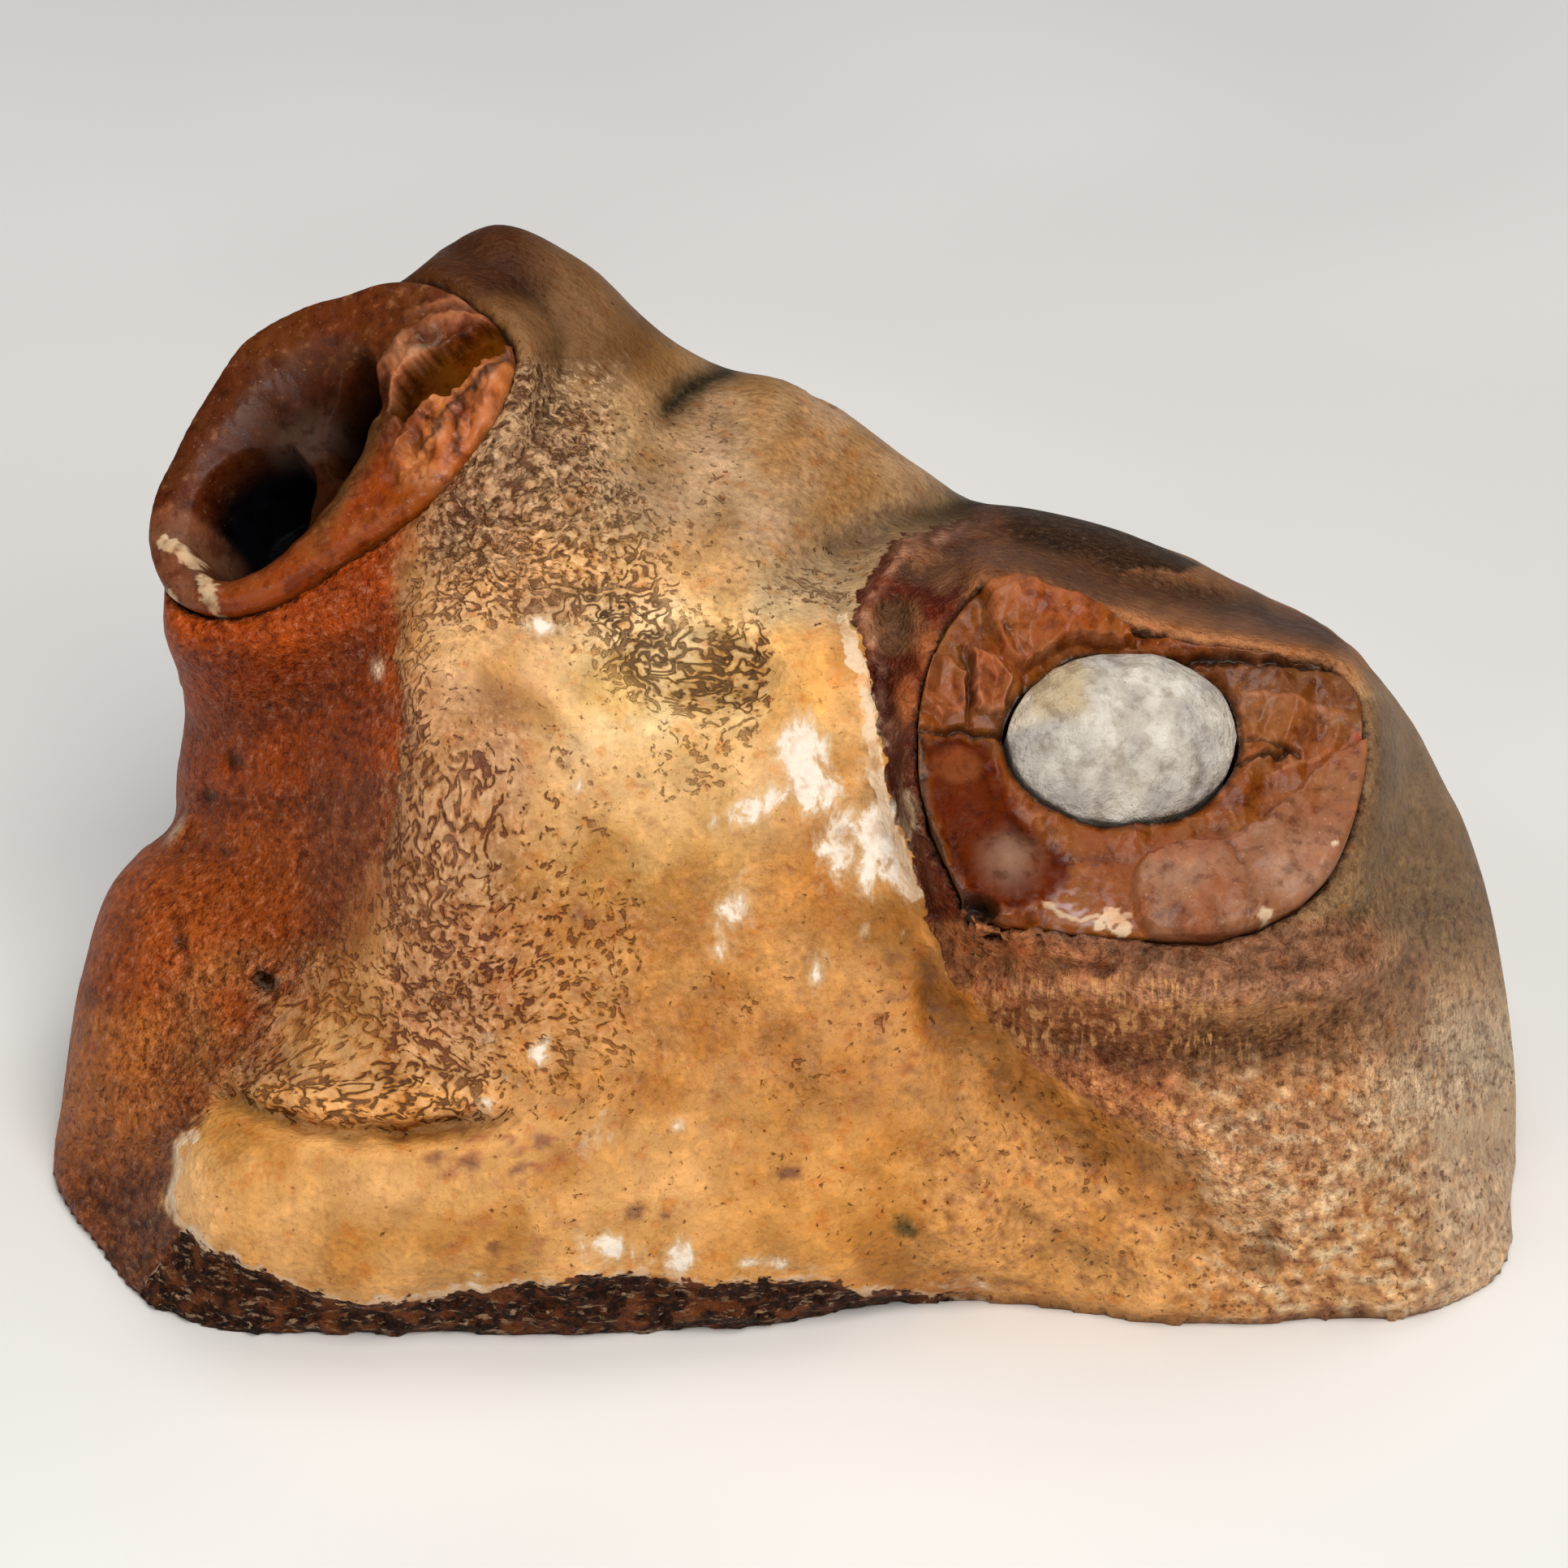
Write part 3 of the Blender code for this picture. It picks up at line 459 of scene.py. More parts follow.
def coarse_sample(fn, k=3):
    """a slow, smooth function worked out on every k-th drawing point and filled in"""
    cu, cv = gu[::k], gv[::k]
    A = fn(*np.meshgrid(cu, cv))
    iu = np.clip((gu - cu[0]) / (STEP * k), 0, len(cu) - 1.001)
    iv = np.clip((gv - cv[0]) / (STEP * k), 0, len(cv) - 1.001)
    i0, j0 = iu.astype(int), iv.astype(int)
    fi, fj = (iu - i0)[None, :], (iv - j0)[:, None]
    top = A[j0][:, i0] * (1 - fi) + A[j0][:, i0 + 1] * fi
    low = A[j0 + 1][:, i0] * (1 - fi) + A[j0 + 1][:, i0 + 1] * fi
    return top * (1 - fj) + low * fj


def window(u, v, u0, v0, u1, v1, soft=40.0):
    """1 inside a box on the drawing, fading to 0 over soft units outside it"""
    return (smoothstep(u0 - soft, u0, u) * (1 - smoothstep(u1, u1 + soft, u))
            * smoothstep(v0 - soft, v0, v) * (1 - smoothstep(v1, v1 + soft, v)))


side_grid = coarse_sample(lambda u, v: region(u, v, spline(OUTLINE, 3)) * UNIT, 2)
base_surface = Surface(BONE)
face_grid = coarse_sample(base_surface, 3)
face_grid = face_grid - edge_drop(GU, GV, side_grid)

# ragged drawing coordinates, so that no drawn edge is a clean line
WU = GU + 7.0 * noise(GU / 34, GV / 34, 0.0, 11) + 3.0 * noise(GU / 13, GV / 13, 0.0, 12)
WV = GV + 7.0 * noise(GU / 34, GV / 34, 5.0, 13) + 3.0 * noise(GU / 13, GV / 13, 5.0, 14)


def local_region(poly, pad=120, coords=None):
    """signed distance in mm to a closed outline, worked out near it only"""
    u, v = (WU, WV) if coords is None else coords
    p = np.array(poly, float)
    near = ((GU > p[:, 0].min() - pad) & (GU < p[:, 0].max() + pad)
            & (GV > p[:, 1].min() - pad) & (GV < p[:, 1].max() + pad))
    out = np.full(GU.shape, -pad * UNIT)
    out[near] = region(u[near], v[near], poly) * UNIT
    return np.maximum(out, -pad * UNIT)


def local_line(line, pad=110, warp=True):
    u, v = (WU, WV) if warp else (GU, GV)
    p = np.array(line, float)
    near = ((GU > p[:, 0].min() - pad) & (GU < p[:, 0].max() + pad)
            & (GV > p[:, 1].min() - pad) & (GV < p[:, 1].max() + pad))
    out, along = np.full(GU.shape, 1e3), np.zeros(GU.shape)
    out[near], along[near] = line_distance(u[near], v[near], line)
    return out, along


collar_sd = local_region(COLLAR_AREA)
wall_sd = local_region(WALL_AREA)
lobe_sd = local_region(LOBE)
strip_sd = local_region(STRIP_AREA)

def hug(tooth, rim, offset, flat, fade, pad=120):
    """brings the face level with a root's rim plane just outside the rim"""
    global face_grid
    d = local_region_plain(rim, pad)
    out = -d / UNIT
    w = (1 - smoothstep(flat, fade, out)) * smoothstep(-60, -30, out)
    target = tooth.plane_rise(GU, GV) + offset
    face_grid = face_grid + w * (target - face_grid)


def local_region_plain(poly, pad=120):
    return local_region(poly, pad, (GU, GV))


deg = np.degrees(np.arctan2(-(GV - 935), GU - 1400))
lower_half = smoothstep(1020, 1130, GV)
hug(right, spline(RIGHT_RIM, 4), -0.10 - 0.35 * lower_half - 0.25 * smoothstep(1560, 1680, GU), 6.0, 60.0)
away = smoothstep(-40, 60, (GU - 415) * 0.63 + (GV - 560) * 0.78)
below = away * (1 - smoothstep(430, 560, GU))
hug(left, spline(LEFT_RIM, 4), -0.15 - 0.60 * below, 12.0, 60.0 + 90.0 * below, 180)

relief = np.zeros(GU.shape)
# the outer skin of the bone ends in a thin step at the collar
edge_dist, edge_run = local_line(COLLAR_EDGE)
step_amount = 0.75 * smoothstep(0.02, 0.10, edge_run) * (1 - smoothstep(0.52, 0.66, edge_run))
relief -= step_amount * smoothstep(-0.15, 0.25, collar_sd) * (1 - smoothstep(2.2, 5.0, collar_sd))
relief += 0.22 * rub(edge_dist - 12, 14) * (collar_sd < 0) * smoothstep(0.05, 0.15, edge_run) * (1 - smoothstep(0.5, 0.62, edge_run))
upper_rim = 1 - smoothstep(0.17, 0.27, edge_run)
relief += 1.15 * rub(collar_sd - 0.70, 0.65) * upper_rim * window(GU, GV, 1030, 630, 1230, 830, 20)
relief -= 0.55 * rub(collar_sd + 0.5, 0.9) * upper_rim * window(GU, GV, 1030, 630, 1230, 830, 20)
# smooth valley outside the pedestal's foot
relief -= 1.0 * rub(collar_sd + 1.6, 2.0) * smoothstep(0.42, 0.6, edge_run) * window(GU, GV, 1150, 1190, 1560, 1560, 40)
relief += 0.6 * rub(collar_sd - 1.0, 1.3) * smoothstep(0.5, 0.62, edge_run) * (1 - smoothstep(0.93, 1.0, edge_run)) * window(GU, GV, 1180, 1230, 1580, 1560, 30)
# lip and groove under the right root
d, run = local_line(LEDGE_LIP)
relief += 0.75 * rub(d, 19) * smoothstep(0.0, 0.12, run) * (0.75 + 0.5 * noise(GU / 45, GV / 45, 0, 39))
d, run = local_line(LEDGE_UNDER)
relief -= 0.95 * rub(d, 34) * smoothstep(0.0, 0.1, run) * (1 - smoothstep(0.85, 1.0, run))
relief += window(GU, GV, 1190, 1140, 1680, 1235, 30) * 0.55 * noise(GU / 28, GV / 15, 0, 31)
relief += window(GU, GV, 1250, 1205, 1660, 1345, 30) * 0.20 * noise(GU / 10, GV / 50, 0, 32)
relief += window(GU, GV, 1180, 1130, 1700, 1240, 25) * 0.30 * chips(GU, GV, 36, 34.0, 0.3)
# collar surface: worn flats and small lumps
collar_here = smoothstep(0.0, 0.6, collar_sd) * window(GU, GV, 1040, 640, 1260, 1240, 30)
relief += collar_here * (0.42 * chips(GU, GV, 35, 34.0) + 0.30 * noise(GU / 24, GV / 24, 0, 33) + 0.22 * noise(GU / 11, GV / 11, 0, 34))
relief -= 0.75 * blob(GU, GV, 1098, 772, 30, 40, 0.2) + 0.70 * blob(GU, GV, 1164, 716, 34, 26, 0.3)
relief += 0.5 * blob(GU, GV, 1150, 800, 22, 26, 0.2) + 0.45 * blob(GU, GV, 1118, 860, 18, 34, 0.0)
relief += window(GU, GV, 1180, 1090, 1720, 1420, 30) * (0.16 * noise(GU / 13, GV / 13, 0, 37) + 0.12 * noise(GU / 7, GV / 9, 0, 38))
# shoulder behind the right root
d, run = local_line(BACK_SHADOW)
relief -= 0.9 * rub(d, 24) * smoothstep(0, 0.1, run) * (1 - smoothstep(0.85, 1, run))
relief += 0.35 * rub(d - 46, 20) * (GV < 760)
# saddle
d, run = local_line(SADDLE_CREASE)
relief -= 1.5 * rub(d, 30) * (1 - 0.5 * run)
d, run = local_line(SADDLE_PIT)
relief -= 0.8 * rub(d, 22)
# smooth lobe with the crease over it
d, run = local_line(CREASE_LOBE)
relief -= 1.5 * rub(d, 13) * (1 - smoothstep(0.75, 1.0, run))
relief += 0.5 * rub(GV - (1350 + 0.0 * GU), 20) * window(GU, GV, 330, 1320, 600, 1380, 40)
relief += 0.35 * smoothstep(-0.1, 0.8, lobe_sd) * (1 - smoothstep(560, 800, GU))
# broken strip along the under edge
relief -= (0.9 * smoothstep(-0.05, 0.35, strip_sd) * smoothstep(150, 260, GU)
           * (1 - smoothstep(1120, 1215, GU)))
relief += smoothstep(0.0, 0.3, strip_sd) * (0.65 * noise(GU / 34, GV / 17, 0, 41)
                                            + 0.45 * noise(GU / 14, GV / 10, 0, 42))
relief += window(GU, GV, 60, 1420, 210, 1640, 40) * (0.25 * noise(GU / 22, GV / 18, 0, 43) + 0.15 * noise(GU / 9, GV / 9, 0, 44))
d, run = local_line(VALLEY_LOW)
relief -= 0.5 * rub(d, 26)
# pits and marks on the left side
relief -= 1.6 * blob(GU, GV, 326, 1209, 17, 11, 0.6) + 0.5 * blob(GU, GV, 288, 938, 13, 11, 0)
relief -= 0.4 * blob(GU, GV, 257, 981, 11, 11, 0)
d, run = local_line(SIDE_CRACK)
relief -= 0.45 * rub(d, 7)
relief += 0.7 * blob(GU, GV, 218, 1022, 22, 12, -0.9)
relief += 0.35 * blob(GU, GV, 465, 824, 7, 14, 0)
# worn bowl with bold pore lines
relief -= 0.7 * blob(GU, GV, 862, 822, 110, 56, 0.12)
# fold where the spongy face starts
wall_edge = rub(wall_sd, 0.5) * window(GU, GV, 470, 700, 520, 1150, 20)
relief -= 0.25 * wall_edge
# flaked white spots stand or lie a little off
relief -= 0.18 * blob(GU, GV, 985, 945, 75, 50, -0.5) + 0.15 * blob(GU, GV, 1070, 1030, 50, 70, 0.3)
# gentle unevenness everywhere
relief += 0.22 * noise(GU / 120, GV / 120, 0, 51) + 0.10 * noise(GU / 48, GV / 48, 0, 52)
spongy = 1 - smoothstep(-0.4, 0.2, wall_sd)
relief += 0.05 * noise(GU / 19, GV / 19, 0, 53) * (0.3 + 0.7 * spongy)
face_grid = face_grid + relief


def sample(grid, u, v):
    i = np.clip((u - gu[0]) / STEP, 0, len(gu) - 1.001)
    j = np.clip((v - gv[0]) / STEP, 0, len(gv) - 1.001)
    i0, j0 = i.astype(int), j.astype(int)
    fi, fj = i - i0, j - j0
    return ((grid[j0, i0] * (1 - fi) + grid[j0, i0 + 1] * fi) * (1 - fj)
            + (grid[j0 + 1, i0] * (1 - fi) + grid[j0 + 1, i0 + 1] * fi) * fj)


# ---------------------------------------------------------------- solid fields
def socket_field(tooth, x, y, z, spare=0.0):
    a, b, h = tooth.local(x, y, z)
    ang = np.arctan2(b, a)
    r = tooth.radius(ang) * tooth.narrow(h) + spare + 0.02 * np.maximum(h, 0)
    return np.maximum(np.hypot(a, b) - r, -tooth.depth - h)


def bone_field(x, y, z):
    u, v, rise = to_plane(x, y, z)
    front = smax(0.8 * (rise - sample(face_grid, u, v)), -sample(side_grid, u, v), 0.9)
    f = smax(front, y - back_face(x, z), 2.4)
    f = np.maximum(f, -z)
    for tooth in (left, right):
        reach = np.hypot(np.hypot(x - tooth.p[0], y - tooth.p[1]), z - tooth.p[2])
        near = reach < 24
        if near.any():
            s = socket_field(tooth, x[near], y[near], z[near])
            f[near] = np.maximum(f[near], -s)
    return f


def surface_mesh(field, lo, hi, h):
    """closed quad mesh of field = 0, one vertex to a crossed cell"""
    axes = [np.arange(a, b + h, h) for a, b in zip(lo, hi)]
    X, Y, Z = np.meshgrid(*axes, indexing='ij')
    f = field(X.ravel(), Y.ravel(), Z.ravel()).reshape(X.shape)
    del X, Y, Z
    neg = f < 0
    n = f.shape
    c = (n[0] - 1, n[1] - 1, n[2] - 1)
    total = np.zeros(c + (3,), np.float32)
    count = np.zeros(c, np.int16)
    for ax in range(3):
        s0 = [slice(None)] * 3
        s1 = [slice(None)] * 3
        s0[ax], s1[ax] = slice(0, -1), slice(1, None)
        a, b = f[tuple(s0)], f[tuple(s1)]
        m = neg[tuple(s0)] != neg[tuple(s1)]
        idx = np.argwhere(m)
        t = a[m] / (a[m] - b[m])
        pos = idx.astype(np.float32)
        pos[:, ax] += t
        o1, o2 = [i for i in range(3) if i != ax]
        for d1 in (0, -1):
            for d2 in (0, -1):
                q = idx.copy()
                q[:, o1] += d1
                q[:, o2] += d2
                ok = ((q[:, o1] >= 0) & (q[:, o1] < c[o1]) & (q[:, o2] >= 0) & (q[:, o2] < c[o2]))
                q = q[ok]
                np.add.at(total, (q[:, 0], q[:, 1], q[:, 2]), pos[ok])
                np.add.at(count, (q[:, 0], q[:, 1], q[:, 2]), 1)
    active = count > 0
    number = np.full(c, -1, np.int64)
    number[active] = np.arange(active.sum())
    verts = total[active] / count[active][:, None] * h + np.array(lo, np.float32)
    quads = []
    for ax in range(3):
        s0 = [slice(None)] * 3
        s1 = [slice(None)] * 3
        s0[ax], s1[ax] = slice(0, -1), slice(1, None)
        a, b = neg[tuple(s0)], neg[tuple(s1)]
        o1, o2 = (ax + 1) % 3, (ax + 2) % 3
        idx = np.argwhere(a != b)
        idx = idx[(idx[:, o1] > 0) & (idx[:, o2] > 0) & (idx[:, o1] < c[o1]) & (idx[:, o2] < c[o2])]
        first = a[idx[:, 0], idx[:, 1], idx[:, 2]]
        def cell(d1, d2):
            q = idx.copy()
            q[:, o1] += d1
            q[:, o2] += d2
            return number[q[:, 0], q[:, 1], q[:, 2]]
        ring = np.stack([cell(-1, -1), cell(0, -1), cell(0, 0), cell(-1, 0)], 1)
        ring[~first] = ring[~first][:, ::-1]
        quads.append(ring)
    return verts.astype(float), np.concatenate(quads)


def settle(field, verts, turns=2, limit=0.15):
    """moves points onto field = 0 along its slope"""
    e = 0.05
    for _ in range(turns):
        x, y, z = verts.T
        f = field(x, y, z)
        g = np.stack([field(x + e, y, z) - field(x - e, y, z), field(x, y + e, z) - field(x, y - e, z),
                      field(x, y, z + e) - field(x, y, z - e)], 1) / (2 * e)
        g2 = np.maximum((g ** 2).sum(1), 0.15)
        move = np.clip(-f / g2, -limit, limit)[:, None] * g
        size = np.linalg.norm(move, axis=1)[:, None]
        verts = verts + move * np.minimum(1, limit / np.maximum(size, 1e-9))
    return verts


def normals_of(verts, quads):
    a, b, c, d = (verts[quads[:, i]] for i in range(4))
    n = np.cross(c - a, d - b)
    out = np.zeros_like(verts)
    for i in range(4):
        for k in range(3):
            out[:, k] += np.bincount(quads[:, i], n[:, k], len(verts))
    return out / np.maximum(np.linalg.norm(out, axis=1), 1e-12)[:, None]


def relax(verts, quads, turns=1, amount=0.5):
    """evens out the mesh"""
    n = len(verts)
    e0 = np.concatenate([quads[:, [0, 1]], quads[:, [1, 2]], quads[:, [2, 3]], quads[:, [3, 0]]])
    for _ in range(turns):
        acc = np.zeros_like(verts)
        cnt = np.bincount(e0[:, 0], minlength=n) + np.bincount(e0[:, 1], minlength=n)
        for k in range(3):
            acc[:, k] = (np.bincount(e0[:, 0], verts[e0[:, 1], k], n) + np.bincount(e0[:, 1], verts[e0[:, 0], k], n))
        verts = verts + amount * (acc / cnt[:, None] - verts)
    return verts


def make_object(name, verts, faces):
    mesh = bpy.data.meshes.new(name)
    mesh.vertices.add(len(verts))
    mesh.vertices.foreach_set("co", (np.asarray(verts) * MM).astype(np.float32).ravel())
    sizes = np.full(len(faces), len(faces[0])) if isinstance(faces, np.ndarray) else np.array([len(f) for f in faces])
    flat = faces.ravel() if isinstance(faces, np.ndarray) else np.array([i for f in faces for i in f])
    mesh.loops.add(int(sizes.sum()))
    mesh.loops.foreach_set("vertex_index", flat.astype(np.int32))
    mesh.polygons.add(len(sizes))
    mesh.polygons.foreach_set("loop_start", np.concatenate([[0], np.cumsum(sizes)[:-1]]).astype(np.int32))
    mesh.update(calc_edges=True)
    mesh.validate()
    mesh.shade_smooth()
    obj = bpy.data.objects.new(name, mesh)
    bpy.context.scene.collection.objects.link(obj)
    return obj


def put(obj, name, values):
    values = np.asarray(values, np.float32)
    kind = 'FLOAT' if values.ndim == 1 else ('FLOAT_VECTOR' if values.shape[1] == 3 else 'FLOAT_COLOR')
    attr = obj.data.attributes.new(name, kind, 'POINT')
    field = {'FLOAT': "value", 'FLOAT_VECTOR': "vector", 'FLOAT_COLOR': "color"}[kind]
    attr.data.foreach_set(field, values.ravel())


# ================================================================ jaw bone
verts, quads = surface_mesh(bone_field, (-41.2, -27.2, -0.6 * CELL), (41.2, 27.6, 46.0), CELL)
verts = relax(verts, quads, 1, 0.4)
verts = settle(bone_field, verts, 2)
verts[:, 2] = np.maximum(verts[:, 2], 0.0)
nrm = normals_of(verts, quads)
x, y, z = verts.T
U, V, RISE = to_plane(x, y, z)
front = smoothstep(-6.0, -1.2, RISE - sample(face_grid, U, V) + 1.2 * noise(x / 5.0, y / 5.0, z / 5.0, 70))
in_socket = np.zeros(len(verts), bool)
for tooth in (left, right):
    a, b, h = tooth.local(x, y, z)
    near = socket_field(tooth, x, y, z) < 0.12
    in_socket |= near & (h < 2.0) & (h > -tooth.depth - 1)
under = smoothstep(-0.6, -0.9, nrm[:, 2]) * (z < 0.6)
hidden = (1 - front) * (1 - under) * (1 - in_socket)

# the sides that the face doesn't reach: smooth cortical bone with worn, open patches
lump = 0.34 * noise(x / 7.0, y / 7.0, z / 7.0, 71) + 0.14 * noise(x / 2.6, y / 2.6, z / 2.6, 72)
patch = fbm(x / 11.0 + 3.1, y / 11.0, z / 9.0, 73, 3) + 0.25 * smoothstep(16, 4, z) - 0.05
worn = smoothstep(0.10, 0.16, patch)                  # outer skin gone, spongy bone open
push = hidden * (lump - 0.42 * worn)
for hx, hz, size in ((-17.0, 24.0, 1.0), (-4.5, 20.5, 0.8), (9.0, 22.5, 1.1), (21.0, 19.0, 0.8), (2.5, 9.0, 0.6)):
    d = np.hypot(x - hx, z - hz)
    push -= (y > 6) * 1.8 * np.exp(-(d / size) ** 2) * hidden       # nutrient openings
crack = np.abs(noise(x / 9.0 + 0.3 * noise(x / 3, y / 3, z / 3, 75), y / 9.0, z / 16.0, 76))
push -= hidden * 0.22 * np.exp(-(crack / 0.018) ** 2)
grain = 0.05 * noise(x / 0.9, y / 0.9, z / 0.9, 77) * (0.4 + 0.6 * worn)
push += hidden * grain
verts = verts + nrm * push[:, None]
verts[:, 2] = np.where(under > 0.5, np.abs(0.16 * fbm(x / 3.0, y / 3.0, 0, 78)) * smoothstep(0, 2.0, -bone_field(x, y, z + 2.0)), np.maximum(verts[:, 2], 0.0))

bone = make_object("jaw_bone_fine", verts, quads)

# ---- colours that vary softly over the face, then crisp masks as distances
c_ = np.array
OCHRE, OCHRE_VALLEY_SHADE, OCHRE_PALE = c_((.56, .275, .082)), c_((.37, .135, .018)), c_((.68, .38, .14))
LOBE_TONE, SPONGE = c_((.57, .285, .085)), c_((.50, .225, .072))
TAN, TAN_DARK, CREST = c_((.41, .235, .112)), c_((.16, .075, .026)), c_((.050, .014, .002))
WALL, WALL_LOW = c_((.272, .042, .0006)), c_((.275, .052, .003))
BULGE, BULGE_LOW, CORNER = c_((.285, .056, .004)), c_((.36, .105, .016)), c_((.155, .038, .006))
SHOULDER, SHOULDER_SHADE_BAND, SHADOW = c_((.20, .075, .024)), c_((.030, .012, .003)), c_((.018, .005, .0003))
FLANK, FLANK_LOW, RIGHT_LOW = c_((.190, .108, .046)), c_((.50, .37, .24)), c_((.47, .28, .145))
LEDGE_TONE, GROOVE, STRIA = c_((.20, .086, .040)), c_((.185, .075, .026)), c_((.40, .19, .075))
COLLAR, COLLAR_FLAT, COLLAR_LOW = c_((.075, .008, .0004)), c_((.18, .075, .030)), c_((.44, .15, .044))


def mix(base, colour, w):
    return base + (colour - base) * np.clip(w, 0, 1)[:, None]


u = U + 9 * noise(U / 40, V / 40, 0, 81) + 4 * noise(U / 15, V / 15, 0, 82)
v = V + 9 * noise(U / 40, V / 40, 3, 83) + 4 * noise(U / 15, V / 15, 3, 84)
wall = sample(wall_sd, U, V)
collar = sample(collar_sd, U, V)
lobe = sample(lobe_sd, U, V)
strip = sample(strip_sd, U, V)
mott = noise(U / 55, V / 55, 0, 85)

skin = np.tile(OCHRE, (len(verts), 1))
skin = mix(skin, OCHRE_PALE, 0.80 * window(u, v, 560, 760, 820, 900, 60) + 0.5 * window(u, v, 940, 860, 1060, 1080, 40))
skin = mix(skin, SPONGE, 0.8 * window(u, v, 490, 760, 660, 1280, 80))
skin = mix(skin, c_((.42, .175, .035)), 0.85 * window(u, v, 640, 1060, 1180, 1340, 110) * (0.75 + 0.5 * mott))
skin = mix(skin, c_((.50, .22, .045)), 0.7 * window(u, v, 900, 1380, 1260, 1560, 70))
# painted shade in the valley along the foot of the pedestal, outside the collar line
skin = mix(skin, OCHRE_VALLEY_SHADE, 0.58 * rub(np.abs(collar) - 0.9, 2.2) * window(u, v, 1120, 1120, 1560, 1560, 40) * (collar < 0.3))
skin = mix(skin, c_((.45, .20, .055)), 0.5 * window(u, v, 1180, 1180, 1480, 1480, 90) * (1 - smoothstep(-1.0, 1.0, collar)))
skin = mix(skin, LOBE_TONE * .87, 0.8 * smoothstep(-0.3, 1.0, lobe) * (1 - smoothstep(700, 1000, u)))
skin = mix(skin, c_((.62, .34, .12)), 0.7 * window(u, v, 205, 1400, 240, 1520, 40) * smoothstep(0, 0.4, lobe))
# tan upper back, darker towards the crest
t = v - (628 + (u - 650) * 0.27)
upper = (1 - smoothstep(-75, 60, t)) * smoothstep(520, 600, u + 0.35 * (v - 500))
skin = mix(skin, TAN, upper)
skin = mix(skin, c_((.28, .150, .060)), upper * window(u, v, 600, 380, 800, 640, 70) * 0.8)
skin = mix(skin, TAN_DARK, window(u, v, 600, 240, 810, 430, 60) * upper)
skin = mix(skin, CREST, window(u, v, 460, 230, 630, 350, 85))
skin = mix(skin, c_((.16, .075, .026)), 0.8 * window(u, v, 600, 380, 680, 560, 30) * upper)
skin = mix(skin, c_((.30, .17, .075)), 0.6 * window(u, v, 820, 430, 960, 520, 40))
# painted shade in the pit at the saddle
pitd, _ = line_distance(u, v, SADDLE_PIT)
skin = mix(skin, c_((.028, .018, .005)), rub(pitd, 17))
cd, crun = line_distance(u, v, SADDLE_CREASE)
skin = mix(skin, c_((.040, .024, .007)), 0.95 * rub(cd, 40) * (1 - 0.65 * crun))
skin = mix(skin, c_((.42, .28, .13)), 0.7 * window(u, v, 940, 700, 1060, 760, 30))
skin = mix(skin, c_((.16, .09, .035)), 0.5 * window(u, v, 900, 620, 1060, 720, 40) * (0.5 + mott))
# rusty halo under the left root
skin = mix(skin, c_((.19, .062, .020)), 0.85 * window(u, v, 470, 600, 620, 700, 50) * (1 - smoothstep(640, 760, v)))
# side wall
wall_soft = smoothstep(980, 1120, V) * (1 - smoothstep(1310, 1370, V))
wall_line = wall + (0.35 + 0.5 * wall_soft) * noise(U / 20, V / 55, 0, 92) + 0.2 * noise(U / 9, V / 20, 0, 93)
wall_line = np.where(V > 1360, wall, wall_line)
w = smoothstep(-0.4, 0.3, wall)
side = mix(np.tile(WALL, (len(verts), 1)), WALL_LOW, smoothstep(900, 1060, v))
side = mix(side, c_((.19, .046, .012)), 0.8 * window(u, v, 400, 980, 500, 1200, 50))
side = mix(side, BULGE, window(u, v, -20, 1060, 250, 1330, 60))
side = mix(side, BULGE_LOW, window(u, v, -20, 1270, 190, 1420, 60) * 0.9)
side = mix(side, c_((.29, .10, .022)), 0.75 * window(u, v, 230, 1190, 420, 1320, 50) * (0.6 + mott))
side = mix(side, CORNER, smoothstep(1400, 1500, v + 0.12 * u))
side = mix(side, c_((.045, .014, .006)), 0.75 * smoothstep(1530, 1600, v) * smoothstep(70, 190, u))
side = mix(side, c_((.05, .012, .003)), 0.7 * smoothstep(0.0, 0.5, noise(U / 30, V / 22, 0, 94) + 0.4 * noise(U / 11, V / 11, 0, 95)) * smoothstep(1400, 1480, v))
side = mix(side, c_((.09, .030, .009)), 0.6 * window(u, v, 180, 1200, 300, 1400, 50) * (1 - smoothstep(0.2, 2.4, wall)))
side = mix(side, side * c_((.82, .80, .85)), 1 - smoothstep(720, 860, V))
side *= (1 + 0.16 * noise(U / 14, V / 60, 0, 97) + 0.12 * noise(U / 34, V / 34, 0, 98))[:, None]
side = mix(side, side * c_((.55, .48, .42)), smoothstep(0.1, 0.6, noise(U / 60, V / 60, 0, 99)) * 0.6)
skin = mix(skin, (skin + side) / 2, smoothstep(-2.6, -0.2, wall) * wall_soft)
for su, sv, sr in ((288, 938, 13), (257, 981, 13), (223, 1160, 9), (326, 1208, 16), (330, 870, 8), (275, 1050, 8)):
    side = mix(side, c_((.035, .010, .004)), 0.85 * rub(np.hypot(u - su, v - sv), sr))
notch = c_(to_world(216, 1022, float(sample(face_grid, c_([216.0]), c_([1022.0]))[0])))
side = mix(side, c_((.60, .46, .30)), 0.9 * rub(np.hypot(U - 465, (V - 824) * 0.6), 7) * (front > 0.9)
           + 0.8 * rub(np.linalg.norm(verts - notch, axis=1), 0.75))
